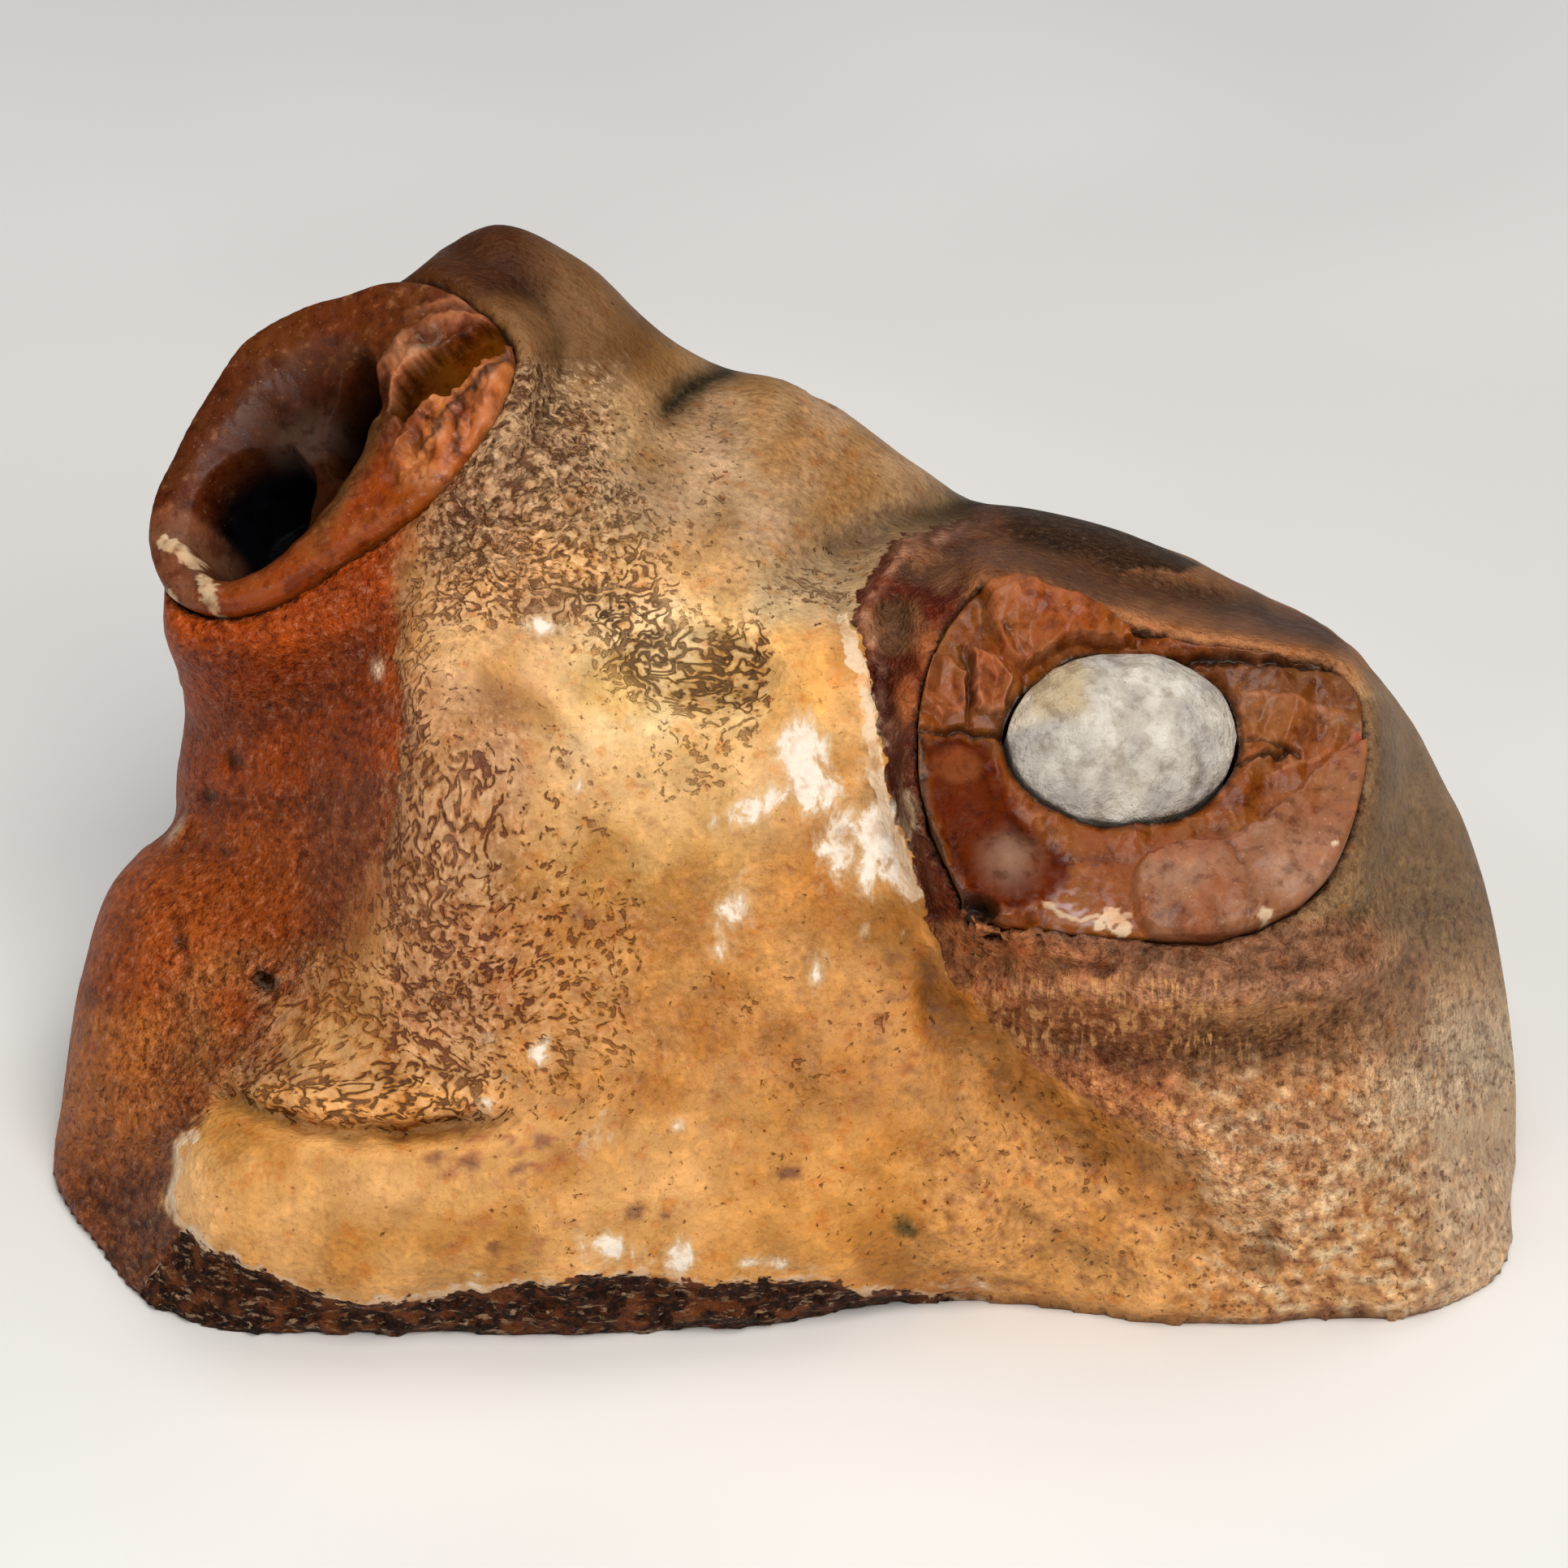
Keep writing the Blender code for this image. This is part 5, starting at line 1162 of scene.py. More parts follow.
def right_relief(uu, vv, rim_gap, core_gap):
    """height of the broken right root over its rim plane; gaps are mm to its two edges"""
    wu = uu + 5 * noise(uu / 22, vv / 22, 0, 101) + 2 * noise(uu / 8, vv / 8, 0, 102)
    wv = vv + 5 * noise(uu / 22, vv / 22, 4, 103) + 2 * noise(uu / 8, vv / 8, 4, 104)
    h = -0.15 + 0.12 * noise(uu / 60, vv / 60, 0, 105)
    fac = 0.62 * chips(uu, vv, 5, 46.0) + 0.10 * chips(uu, vv, 6, 22.0, 1.1)
    h = h + fac * (1 - smoothstep(1000, 1060, vv) * (uu > 1290)) + 0.05 * noise(uu / 12, vv / 12, 0, 106)
    cres = poly_sd(wu, wv, CRESCENT)
    k = smoothstep(-0.3, 0.9, cres)
    tube, _r = line_distance(uu, vv, [(1178, 880), (1184, 950), (1205, 1010), (1240, 1058), (1290, 1100)])
    h = h * (1 - k) + k * (-1.25 + 1.15 * np.sqrt(np.clip(1 - (tube / 62) ** 2, 0, 1)) + 0.05 * noise(uu / 40, vv / 40, 0, 107))
    h = h + 0.40 * np.exp(-((uu - 1244) / 32) ** 2 - ((vv - 1056) / 28) ** 2)
    h -= 1.6 * blob(uu, vv, 1209, 1112, 24, 15, 0.5)
    top = poly_sd(wu, wv, TOP_CHUNK)
    h += smoothstep(-0.05, 0.25, top) * (1.30 + 0.55 * chips(uu, vv, 19, 62.0, 0.35) + 0.05 * chips(uu, vv, 10, 22.0, 0.8))
    for poly, up, seed in ((CHUNK_B, 0.55, 11), (CHUNK_C, 0.45, 12)):
        sd_ = poly_sd(wu, wv, poly)
        h += smoothstep(-0.05, 0.2, sd_) * (up + 0.60 * chips(uu, vv, seed, 32.0))
    big = poly_sd(wu, wv, BIG_CHUNK)
    k = smoothstep(-0.06, 0.35, big)
    bow = 0.62 + 0.25 * np.cos((uu - 1545) / 90.0) - 0.14 * noise(uu / 50, vv / 50, 0, 108)
    h = h * (1 - k) + k * (bow + 0.30 * chips(uu, vv, 18, 74.0, 0.5) + 0.10 * chips(uu, vv, 17, 26.0, 0.1) + 0.04 * noise(uu / 16, vv / 16, 0, 109))
    h -= k * 0.10 * rub(line_distance(wu, wv, [(1508, 1038), (1530, 1075), (1538, 1110), (1530, 1160)])[0], 7)
    h -= k * 0.08 * rub(line_distance(wu, wv, [(1590, 985), (1612, 1030), (1618, 1075)])[0], 8)
    rf = poly_sd(wu, wv, RIGHT_FACETS)
    h += smoothstep(-0.05, 0.2, rf) * (0.10 + 0.48 * chips(uu, vv, 15, 46.0, 0.9) + 0.20 * chips(uu, vv, 16, 20.0, 0.3))
    for line, deep, wide in (([(1137, 896), (1185, 892), (1240, 902)], 0.55, 7), ([(1532, 938), (1560, 932), (1591, 922)], 0.45, 6),
                             ([(1532, 905), (1570, 912), (1605, 928)], 0.35, 6), ([(1188, 792), (1200, 840), (1196, 884)], 0.28, 6),
                             ([(1235, 775), (1258, 815), (1268, 850)], 0.22, 7),
                             ([(1446, 808), (1540, 812), (1664, 820)], 0.6, 9)):
        h -= 0.9 * deep * rub(line_distance(wu, wv, line)[0], 0.6 * wide)
    h -= 0.28 * np.exp(-(np.maximum(core_gap, 0) / 0.38) ** 2)
    h -= 0.12 * np.exp(-(np.maximum(core_gap, 0) / 2.2) ** 2) * smoothstep(930, 990, vv) * smoothstep(1290, 1330, uu)
    h -= 0.50 * np.exp(-(np.maximum(core_gap, 0) / 1.3) ** 2) * (1 - smoothstep(880, 930, vv))
    low_rim = smoothstep(980, 1100, vv)
    t = 1 - np.clip(rim_gap / (0.4 + 0.5 * low_rim), 0, 1)
    h -= (0.10 + 0.35 * low_rim) * (1 - np.sqrt(np.clip(1 - t ** 2, 0, 1)))
    return h


def right_colour(uu, vv, h, rim_gap, core_gap, deep_side):
    n = len(uu)
    wu = uu + 5 * noise(uu / 22, vv / 22, 0, 101) + 2 * noise(uu / 8, vv / 8, 0, 102)
    wv = vv + 5 * noise(uu / 22, vv / 22, 4, 103) + 2 * noise(uu / 8, vv / 8, 4, 104)
    c = np.tile(c_((.200, .056, .006)), (n, 1))
    # painted light and shade: the higher facets get a lighter copy of the colour and the lower ones a darker copy
    facet_light_shade = 0.6 * chips(uu, vv, 5, 46.0) + 0.4 * chips(uu, vv, 6, 22.0, 1.1)
    c = mix(c, c_((.32, .115, .030)), 0.6 * smoothstep(0.2, 0.8, facet_light_shade) * (1 - smoothstep(960, 1010, vv)))
    c = mix(c, c_((.085, .022, .004)), 0.6 * smoothstep(0.2, 0.7, -facet_light_shade) * (1 - smoothstep(960, 1010, vv)))
    # painted shade on the hollow upper right part of the root
    c = mix(c, c_((.135, .044, .006)), smoothstep(1480, 1560, uu) * (1 - smoothstep(860, 900, vv)))
    c = mix(c, c_((.30, .125, .045)), smoothstep(-0.05, 0.1, poly_sd(wu, wv, RIGHT_FACETS)) * 0.7 * (0.6 + 0.6 * noise(uu / 20, vv / 20, 0, 111)))
    c = mix(c, c_((.088, .012, .0001)), smoothstep(-0.25, 0.5, poly_sd(wu, wv, CRESCENT)))
    c = mix(c, c_((.070, .020, .006)), 0.75 * rub(line_distance(wu, wv, [(1206, 800), (1204, 850), (1232, 884), (1240, 902)])[0], 15))
    c = mix(c, c_((.060, .018, .005)), 0.6 * rub(np.hypot(wu - 1244, (wv - 864) * 0.8), 13))
    # painted highlight: a soft pale patch on the raised knob
    e = np.hypot((wu - 1246) / 52, (wv - 1056) / 44)
    c = mix(c, c_((.235, .125, .078)), 0.9 * (1 - smoothstep(0.0, 1.15, e)))
    c = mix(c, c_((.20, .05, .012)), 0.7 * blob(uu, vv, 1180, 940, 34, 24, 0.3))
    c = mix(c, c_((.012, .007, .005)), blob(uu, vv, 1209, 1112, 27, 17, 0.5))
    c = mix(c, c_((.265, .072, .012)), smoothstep(-0.05, 0.15, poly_sd(wu, wv, TOP_CHUNK)))
    c = mix(c, c_((.24, .075, .022)), smoothstep(-0.05, 0.15, poly_sd(wu, wv, CHUNK_B)) * 0.9)
    c = mix(c, c_((.30, .10, .035)), smoothstep(-0.05, 0.15, poly_sd(wu, wv, CHUNK_C)) * 0.9)
    big = poly_sd(wu, wv, BIG_CHUNK)
    c = mix(c, c_((.235, .092, .038)), smoothstep(-0.04, 0.12, big))
    # painted highlights on the big chunk
    c = mix(c, c_((.33, .17, .10)), 0.7 * blob(uu, vv, 1600, 1075, 55, 42, -0.5, 0.6) + 0.5 * blob(uu, vv, 1455, 1080, 50, 28, 0.0, 0.6))
    c = mix(c, c_((.24, .085, .026)), 0.6 * smoothstep(0.0, 0.5, big) * (uu > 1600) * (vv < 1010))
    for line, wide, amount in (([(1137, 896), (1185, 892), (1240, 902)], 8, 0.9), ([(1532, 938), (1560, 932), (1591, 922)], 7, 0.9),
                               ([(1532, 905), (1570, 912), (1605, 928)], 6, 0.8), ([(1188, 792), (1200, 840), (1196, 884)], 8, 0.40),
                               ([(1235, 775), (1258, 815), (1268, 850)], 9, 0.35), ([(1446, 808), (1540, 812), (1664, 820)], 11, 0.95),
                               ([(1136, 905), (1140, 990), (1164, 1060), (1205, 1118)], 8, 0.8),
                               ([(1508, 1038), (1530, 1075), (1538, 1110), (1530, 1160)], 5, 0.35)):
        c = mix(c, c_((.018, .008, .004)), amount * rub(line_distance(wu, wv, line)[0], 0.55 * wide))
    c = mix(c, c_((.012, .007, .004)), 0.95 * np.exp(-(np.maximum(core_gap, 0) / 0.22) ** 2))
    chip = np.zeros(n)
    for su, sv, sr in ((1370, 1128, 17), (1384, 1142, 13), (1356, 1138, 10), (1473, 1170, 13), (1556, 1134, 11), (1640, 1050, 6)):
        chip = np.maximum(chip, rub(np.hypot(uu - su, (vv - sv) * 1.2), sr))
    chip = smoothstep(0.45, 0.6, chip + 0.35 * noise(uu / 7, vv / 7, 0, 112))
    chip2, _r = line_distance(wu, wv, [(1284, 1112), (1306, 1122), (1332, 1132), (1352, 1126), (1376, 1134), (1392, 1124)])
    chip = np.maximum(chip, 0.75 * smoothstep(0.5, 0.9, rub(chip2, 4.5) + 0.5 * noise(uu / 12, vv / 12, 0, 154)))
    c = mix(c, c_((.60, .44, .28)), 0.9 * chip)
    haze = rub(np.hypot(wu - 1330, (wv - 1118) * 1.6), 42) * smoothstep(0.0, 0.4, noise(uu / 16, vv / 10, 0, 155))
    c = mix(c, c_((.46, .36, .36)), 0.6 * haze)
    lit = np.zeros(n)
    for poly in (TOP_CHUNK, CHUNK_B, CHUNK_C, BIG_CHUNK, RIGHT_FACETS):
        lit = np.maximum(lit, rub(poly_sd(wu, wv, poly) - 0.16, 0.13))
    c = mix(c, c_((.50, .21, .10)), 0.55 * lit * (0.5 + 0.8 * noise(uu / 20, vv / 20, 0, 156)) * (rim_gap > 0.8))
    c = mix(c, c_((.60, .08, .02)), rub(np.hypot(uu - 1674, vv - 899), 5))
    c *= (1 + 0.16 * noise(uu / 26, vv / 26, 0, 113) + 0.10 * noise(uu / 9, vv / 9, 0, 114))[:, None]
    # painted shade: the root's buried outer wall and the pocket wall round the filling are coloured near black
    c = mix(c, c_((.05, .018, .007)), deep_side)
    return np.clip(c, 0, 1)


SIDES = 560
RINGS = 96
ang = np.linspace(-pi, pi, SIDES, endpoint=False)
inner_r = core_size(ang) + GAP
outer_r = right.radius(ang) - GAP
ROOT_GAP = 0.10
outer_r = right.radius(ang) - ROOT_GAP * (0.62 + 0.7 * noise(np.cos(ang) * 2.1, np.sin(ang) * 2.1, 0, 161))
inner_r = core_size(ang) + 0.12
ia, ib = core_mid[0] + inner_r * np.cos(ang), core_mid[1] + inner_r * np.sin(ang)
oa, ob = outer_r * np.cos(ang), outer_r * np.sin(ang)
A, B, Hh, GAPS, CG, DEEP = [], [], [], [], [], []


def row(a, b, h, rg, cg, deep):
    A.append(a); B.append(b); Hh.append(h); GAPS.append(rg); CG.append(cg); DEEP.append(np.full(SIDES, deep))


width = np.hypot(oa - ia, ob - ib)
inf = np.full(SIDES, 9.0)
for h in np.linspace(-CORE_DEPTH, -0.9, 8):                       # pocket wall, from its floor up
    row(ia, ib, np.full(SIDES, h), inf, np.zeros(SIDES), 1.0)
for s in np.linspace(0, 1, RINGS):
    a, b = ia + (oa - ia) * s, ib + (ob - ib) * s
    uu, vv = seat_of(right, a, b)
    row(a, b, right_relief(uu, vv, width * (1 - s), width * s), width * (1 - s), width * s, 0.0)
low_edge = Hh[-1]
for k in np.linspace(0.06, 1, 26):                                # outer wall, down to the foot
    h = low_edge + (-right.depth + GAP - low_edge) * k
    r = outer_r * right.narrow(h) + 0.05 * noise(np.cos(ang) * 9, np.sin(ang) * 9, h * 1.2, 115)
    row(r * np.cos(ang), r * np.sin(ang), h, np.zeros(SIDES), inf, float(smoothstep(0.1, 0.35, k)))
A, B, Hh, GAPS, CG, DEEP = (np.concatenate(q) for q in (A, B, Hh, GAPS, CG, DEEP))
w3 = np.stack(right.world(A, B, Hh), 1)
rows = len(A) // SIDES
faces = [tuple(f) for f in grid_faces(rows, SIDES)]
low_c, pit_c = len(w3), len(w3) + 1
w3 = np.concatenate([w3, [right.world(0.0, 0.0, -right.depth + GAP), right.world(core_mid[0], core_mid[1], -CORE_DEPTH)]])
faces += fan(pit_c, 0, SIDES, True) + fan(low_c, (rows - 1) * SIDES, SIDES)
ring = make_object("right_root_fine", w3, [f[::-1] for f in faces])
uu, vv = seat_of(right, A, B)
col = right_colour(uu, vv, Hh, GAPS, CG, DEEP)
col = np.concatenate([col, col[:2]])
put(ring, "skin", col)
put(ring, "clean", np.concatenate([1 - 0.8 * smoothstep(-0.1, 0.4, poly_sd(uu, vv, CRESCENT)), [0.5, 0.5]]))
put(ring, "gloss", np.concatenate([0.6 + 0.4 * smoothstep(-0.1, 0.3, poly_sd(uu, vv, CRESCENT)), [0.3, 0.3]]))


SLIT = [(486, 510), (492, 468), (516, 448), (552, 430), (590, 410), (626, 394), (640, 408), (622, 436), (588, 466), (550, 492), (520, 516), (500, 534)]


def left_parts(uu, vv):
    wu = uu + 6 * noise(uu / 24, vv / 24, 0, 121) + 3 * noise(uu / 9, vv / 9, 0, 122)
    wv = vv + 6 * noise(uu / 24, vv / 24, 4, 123) + 3 * noise(uu / 9, vv / 9, 4, 124)
    turn = radians(-54.8)
    su_ = uu + 7 * noise(uu / 45, vv / 45, 0, 165)
    sv_ = vv + 7 * noise(uu / 45, vv / 45, 4, 166)
    bowl = blob(su_, sv_, 350, 568, 176, 82, turn, 0.50)
    hole = blob(su_, sv_, 300, 622, 90, 56, radians(-62), 0.30)
    hole2 = blob(su_, sv_, 425, 500, 70, 31, radians(-72), 0.45)
    slit = poly_sd(wu, wv, SLIT)
    srun_ = np.clip((uu - 490) / 140, 0, 1)
    return wu, wv, bowl, hole, hole2, slit, srun_


def left_relief(uu, vv, rim_gap):
    wu, wv, bowl, hole, hole2, slit, srun_ = left_parts(uu, vv)
    h = 0.25 + 0.12 * noise(uu / 55, vv / 55, 0, 125)
    h -= 1.9 * bowl + 5.2 * hole + 2.8 * hole2
    lower = smoothstep(-40, 60, (uu - 415) * 0.63 + (vv - 560) * 0.78)     # the orange rim side
    h += 0.35 * lower * (1 - bowl)
    cr = window(uu, vv, 500, 440, 640, 590, 30) * (1 - bowl)
    h += cr * (0.42 * chips(uu, vv, 21, 34.0, 0.9) + 0.42 * chips(uu, vv, 23, 17.0, 0.2) + 0.10 * noise(uu / 8, vv / 8, 0, 126))
    k = smoothstep(-0.03, 0.12, slit)
    h = h * (1 - k) + k * (-0.70 - 0.35 * (1 - srun_) + 0.04 * noise(uu / 30, vv / 30, 0, 162))
    h += 0.10 * rub(slit + 0.22, 0.16)
    d1, r1 = line_distance(wu, wv, [(470, 455), (505, 418), (548, 400), (600, 396)])
    h += (0.40 * rub(d1, 8) + 0.22 * rub(d1, 22) * chips(uu, vv, 24, 22.0, 0.4)) * (slit < 0.02)
    d2, r2 = line_distance(wu, wv, [(505, 392), (545, 378), (585, 372)])
    h += 0.35 * rub(d2, 9)
    d3, r3 = line_distance(wu, wv, [(450, 440), (440, 480), (455, 520)])
    h += 0.3 * rub(d3, 12)
    for su, sv, sr in ((222, 680, 15), (262, 732, 15), (216, 735, 12), (240, 705, 9)):
        h += 0.35 * rub(np.hypot(uu - su, vv - sv), sr)
    h += 0.05 * noise(uu / 11, vv / 11, 0, 127)
    t = 1 - np.clip(rim_gap / 0.9, 0, 1)
    h -= (0.45 * lower + 0.25) * (1 - np.sqrt(np.clip(1 - t ** 2, 0, 1)))
    return h


def left_colour(uu, vv, rim_gap, deep_side):
    n = len(uu)
    wu, wv, bowl, hole, hole2, slit, srun_ = left_parts(uu, vv)
    c = np.tile(c_((.085, .019, .003)), (n, 1))
    lower = smoothstep(10, 75, (uu - 415) * 0.63 + (vv - 560) * 0.78)
    c = mix(c, c_((.235, .048, .003)), lower)
    c = mix(c, c_((.46, .155, .040)), window(wu, wv, 510, 450, 640, 590, 30) * (0.7 + 0.5 * noise(uu / 18, vv / 18, 0, 131)))
    c = mix(c, c_((.25, .055, .010)), 0.6 * window(wu, wv, 300, 640, 470, 760, 30) * lower)
    d1, _r = line_distance(wu, wv, [(470, 455), (505, 418), (548, 400), (600, 396)])
    c = mix(c, c_((.40, .15, .065)), 0.8 * rub(d1 + 4 * noise(uu / 9, vv / 9, 0, 163), 8) * (slit < 0))
    # painted highlight along the crest of the upper ridge
    d2, _r = line_distance(wu, wv, [(505, 392), (545, 378), (585, 372)])
    c = mix(c, c_((.42, .16, .07)), 0.7 * rub(d2, 7))
    c = mix(c, c_((.115, .028, .003)), window(wu, wv, 300, 355, 520, 430, 30) * 0.8)
    c = mix(c, c_((.100, .028, .001)), 0.97 * smoothstep(-0.05, 0.08, slit))
    c = mix(c, c_((.030, .008, .001)), 0.8 * smoothstep(-0.1, 0.2, slit) * (1 - smoothstep(0.0, 0.5, srun_)))
    c = mix(c, c_((.19, .12, .075)), 0.8 * blob(wu, wv, 526, 434, 30, 6, -0.75))
    # painted light and shade: the higher facets get a lighter copy of the colour and the lower ones a darker copy
    facet_light_shade = 0.6 * chips(uu, vv, 21, 34.0, 0.9) + 0.4 * chips(uu, vv, 23, 16.0, 0.2)
    crk = window(wu, wv, 500, 440, 640, 590, 30) * (1 - smoothstep(-0.1, 0.1, slit))
    c = mix(c, c_((.50, .20, .085)), crk * smoothstep(0.05, 0.6, facet_light_shade) * 0.85)
    c = mix(c, c_((.12, .030, .008)), crk * smoothstep(0.10, 0.5, -facet_light_shade) * 0.85)
    for line in ([(520, 560), (548, 535), (560, 505), (590, 485)], [(560, 505), (572, 530), (566, 560)], [(590, 485), (612, 470), (622, 448)], [(548, 535), (530, 520)]):
        c = mix(c, c_((.030, .009, .003)), 0.8 * rub(line_distance(wu, wv, line)[0], 3.6) * crk)
    c = mix(c, c_((.024, .007, .002)), bowl)
    c = mix(c, c_((.14, .06, .016)), 0.85 * blob(wu, wv, 430, 590, 95, 26, radians(-62), 0.5))
    c = mix(c, c_((.062, .042, .034)), 0.75 * blob(wu, wv, 352, 528, 62, 34, -0.9, 0.7) * bowl)
    # painted shade: the two deep holes are coloured near black
    c = mix(c, c_((.004, .002, .0015)), hole2)
    c = mix(c, c_((.0015, .0015, .0025)), smoothstep(0.0, 0.45, hole))
    chip = np.zeros(n)
    chip = rub(line_distance(uu, vv, [(204, 672), (222, 680), (234, 690)])[0], 11)
    chip = np.maximum(chip, rub(line_distance(uu, vv, [(252, 712), (262, 732), (266, 748)])[0], 10))
    for su, sv, sr in ((216, 676, 13), (262, 734, 15), (214, 742, 10), (240, 700, 7)):
        chip = np.maximum(chip, rub(np.hypot(uu - su, vv - sv), sr))
    chip = smoothstep(0.45, 0.6, chip + 0.35 * noise(uu / 7, vv / 7, 0, 132))
    c = mix(c, c_((.55, .42, .26)), chip * 0.95)
    c = mix(c, c_((.24, .10, .05)), 0.5 * window(uu, vv, 180, 640, 235, 760, 20) * (1 - chip))
    c *= (1 + 0.16 * noise(uu / 28, vv / 28, 0, 133) + 0.10 * noise(uu / 10, vv / 10, 0, 134))[:, None]
    c = mix(c, c_((.150, .030, .004)), deep_side)
    return np.clip(c, 0, 1)


SIDES = 480
RINGS = 130
ang = np.linspace(-pi, pi, SIDES, endpoint=False)
outer_r = left.radius(ang) - ROOT_GAP
A, B, Hh, GAPS, DEEP = [], [], [], [], []
for s in np.linspace(0.015, 1, RINGS):
    a, b = outer_r * s * np.cos(ang), outer_r * s * np.sin(ang)
    uu, vv = seat_of(left, a, b)
    A.append(a); B.append(b); Hh.append(left_relief(uu, vv, outer_r * (1 - s))); GAPS.append(outer_r * (1 - s)); DEEP.append(np.zeros(SIDES))
low_edge = Hh[-1]
for k in np.linspace(0.05, 1, 34):
    h = low_edge + (-left.depth + GAP - low_edge) * k
    r = outer_r * left.narrow(h) + 0.10 * noise(np.cos(ang) * 5, np.sin(ang) * 5, h * 0.9, 135) * smoothstep(0, 0.2, k)
    r = np.minimum(r, outer_r * left.narrow(h) + 0.02)
    A.append(r * np.cos(ang)); B.append(r * np.sin(ang)); Hh.append(h); GAPS.append(np.zeros(SIDES)); DEEP.append(np.full(SIDES, float(smoothstep(0.05, 0.2, k))))
A, B, Hh, GAPS, DEEP = (np.concatenate(q) for q in (A, B, Hh, GAPS, DEEP))
w3 = np.stack(left.world(A, B, Hh), 1)
rows = len(A) // SIDES
top_c, low_c = len(w3), len(w3) + 1
w3 = np.concatenate([w3, [left.world(0.0, 0.0, float(Hh[0:SIDES].mean())), left.world(0.0, 0.0, -left.depth + GAP)]])
faces = [tuple(f) for f in grid_faces(rows, SIDES)] + fan(top_c, 0, SIDES, True) + fan(low_c, (rows - 1) * SIDES, SIDES)
stump = make_object("left_root_fine", w3, [f[::-1] for f in faces])
uu, vv = seat_of(left, A, B)
col = left_colour(uu, vv, GAPS, DEEP)
put(stump, "skin", np.concatenate([col, col[:2]]))
gl = 0.40 + 0.35 * smoothstep(10, 75, (uu - 415) * 0.63 + (vv - 560) * 0.78)
P_ = left_parts(uu, vv)
gl = gl * (1 - np.clip(P_[2] + P_[3] + P_[4], 0, 1))
put(stump, "gloss", np.concatenate([gl, [0.3, 0.3]]))
clean = 1 - np.clip(P_[2] + P_[3] + P_[4] + smoothstep(-0.1, 0.1, P_[5]), 0, 1)
put(stump, "clean", np.concatenate([clean, [0.5, 0.5]]))

# ================================================================ grey filling
SIDES = 240
RINGS = 64
ang = np.linspace(-pi, pi, SIDES, endpoint=False)
size = core_size(ang) - 0.05 - 0.16 * np.abs(noise(np.cos(ang) * 2.2, np.sin(ang) * 2.2, 0, 146)) - 0.05 * np.abs(noise(np.cos(ang) * 7, np.sin(ang) * 7, 0, 147))
A, B, Hh, SH = [], [], [], []
for s in np.linspace(0.02, 1, RINGS):
    r = size * s
    a, b = core_mid[0] + r * np.cos(ang), core_mid[1] + r * np.sin(ang)
    h = -0.75 + 2.15 * np.sqrt(np.clip(1 - 0.94 * s ** 2.4, 0, 1))
    h = h + 0.10 * noise(a / 1.5, b / 1.5, 0, 141) + 0.05 * noise(a / 0.55, b / 0.55, 0, 142) + 0.30 * chips(a, b, 143, 3.4)
    A.append(a); B.append(b); Hh.append(h); SH.append(np.full(SIDES, s))
edge = Hh[-1]
for k in np.linspace(0.05, 1, 22):
    h = edge + (-CORE_DEPTH + GAP - edge) * k
    r = size * np.where(k < 0.8, 1.0, 1 - 0.16 * ((k - 0.8) / 0.2) ** 2) - 0.02 - 0.03 * np.abs(noise(np.cos(ang) * 8, np.sin(ang) * 8, h * 1.5, 144))
    A.append(core_mid[0] + r * np.cos(ang)); B.append(core_mid[1] + r * np.sin(ang)); Hh.append(h); SH.append(np.full(SIDES, 1.0 + k))
A, B, Hh, SH = (np.concatenate(q) for q in (A, B, Hh, SH))
w3 = np.stack(right.world(A, B, Hh), 1)
rows = len(A) // SIDES
top_c, low_c = len(w3), len(w3) + 1
w3 = np.concatenate([w3, [right.world(core_mid[0], core_mid[1], float(Hh[:SIDES].mean())), right.world(core_mid[0], core_mid[1], -CORE_DEPTH + GAP)]])
faces = [tuple(f) for f in grid_faces(rows, SIDES)] + fan(top_c, 0, SIDES, True) + fan(low_c, (rows - 1) * SIDES, SIDES)
core = make_object("right_filling_fine", w3, [f[::-1] for f in faces])
uu, vv = seat_of(right, A, B)
c = np.tile(c_((.50, .45, .375)), (len(uu), 1))
nz = fbm(uu / 60, vv / 60, 0, 145, 3)
c = mix(c, c_((.40, .36, .32)), smoothstep(0.0, 0.35, nz))
c = mix(c, c_((.68, .63, .55)), smoothstep(0.05, 0.4, -nz) * 0.8)
c = mix(c, c_((.50, .37, .20)), 0.8 * window(uu, vv, 1255, 810, 1320, 880, 30))
# painted shade on the lower sides of the domed filling
c = mix(c, c_((.33, .30, .27)), 0.5 * window(uu, vv, 1240, 930, 1330, 1010, 30) + 0.4 * window(uu, vv, 1430, 950, 1530, 1000, 25))
c = mix(c, c_((.24, .21, .18)), 0.7 * rub(line_distance(uu, vv, [(1465, 985), (1480, 955), (1470, 930)])[0], 6))
# painted shade round the filling's edge and down its side
c = mix(c, c_((.16, .13, .10)), 0.8 * smoothstep(0.96, 1.1, SH))
put(core, "skin", np.clip(np.concatenate([c, c[:2]]), 0, 1))


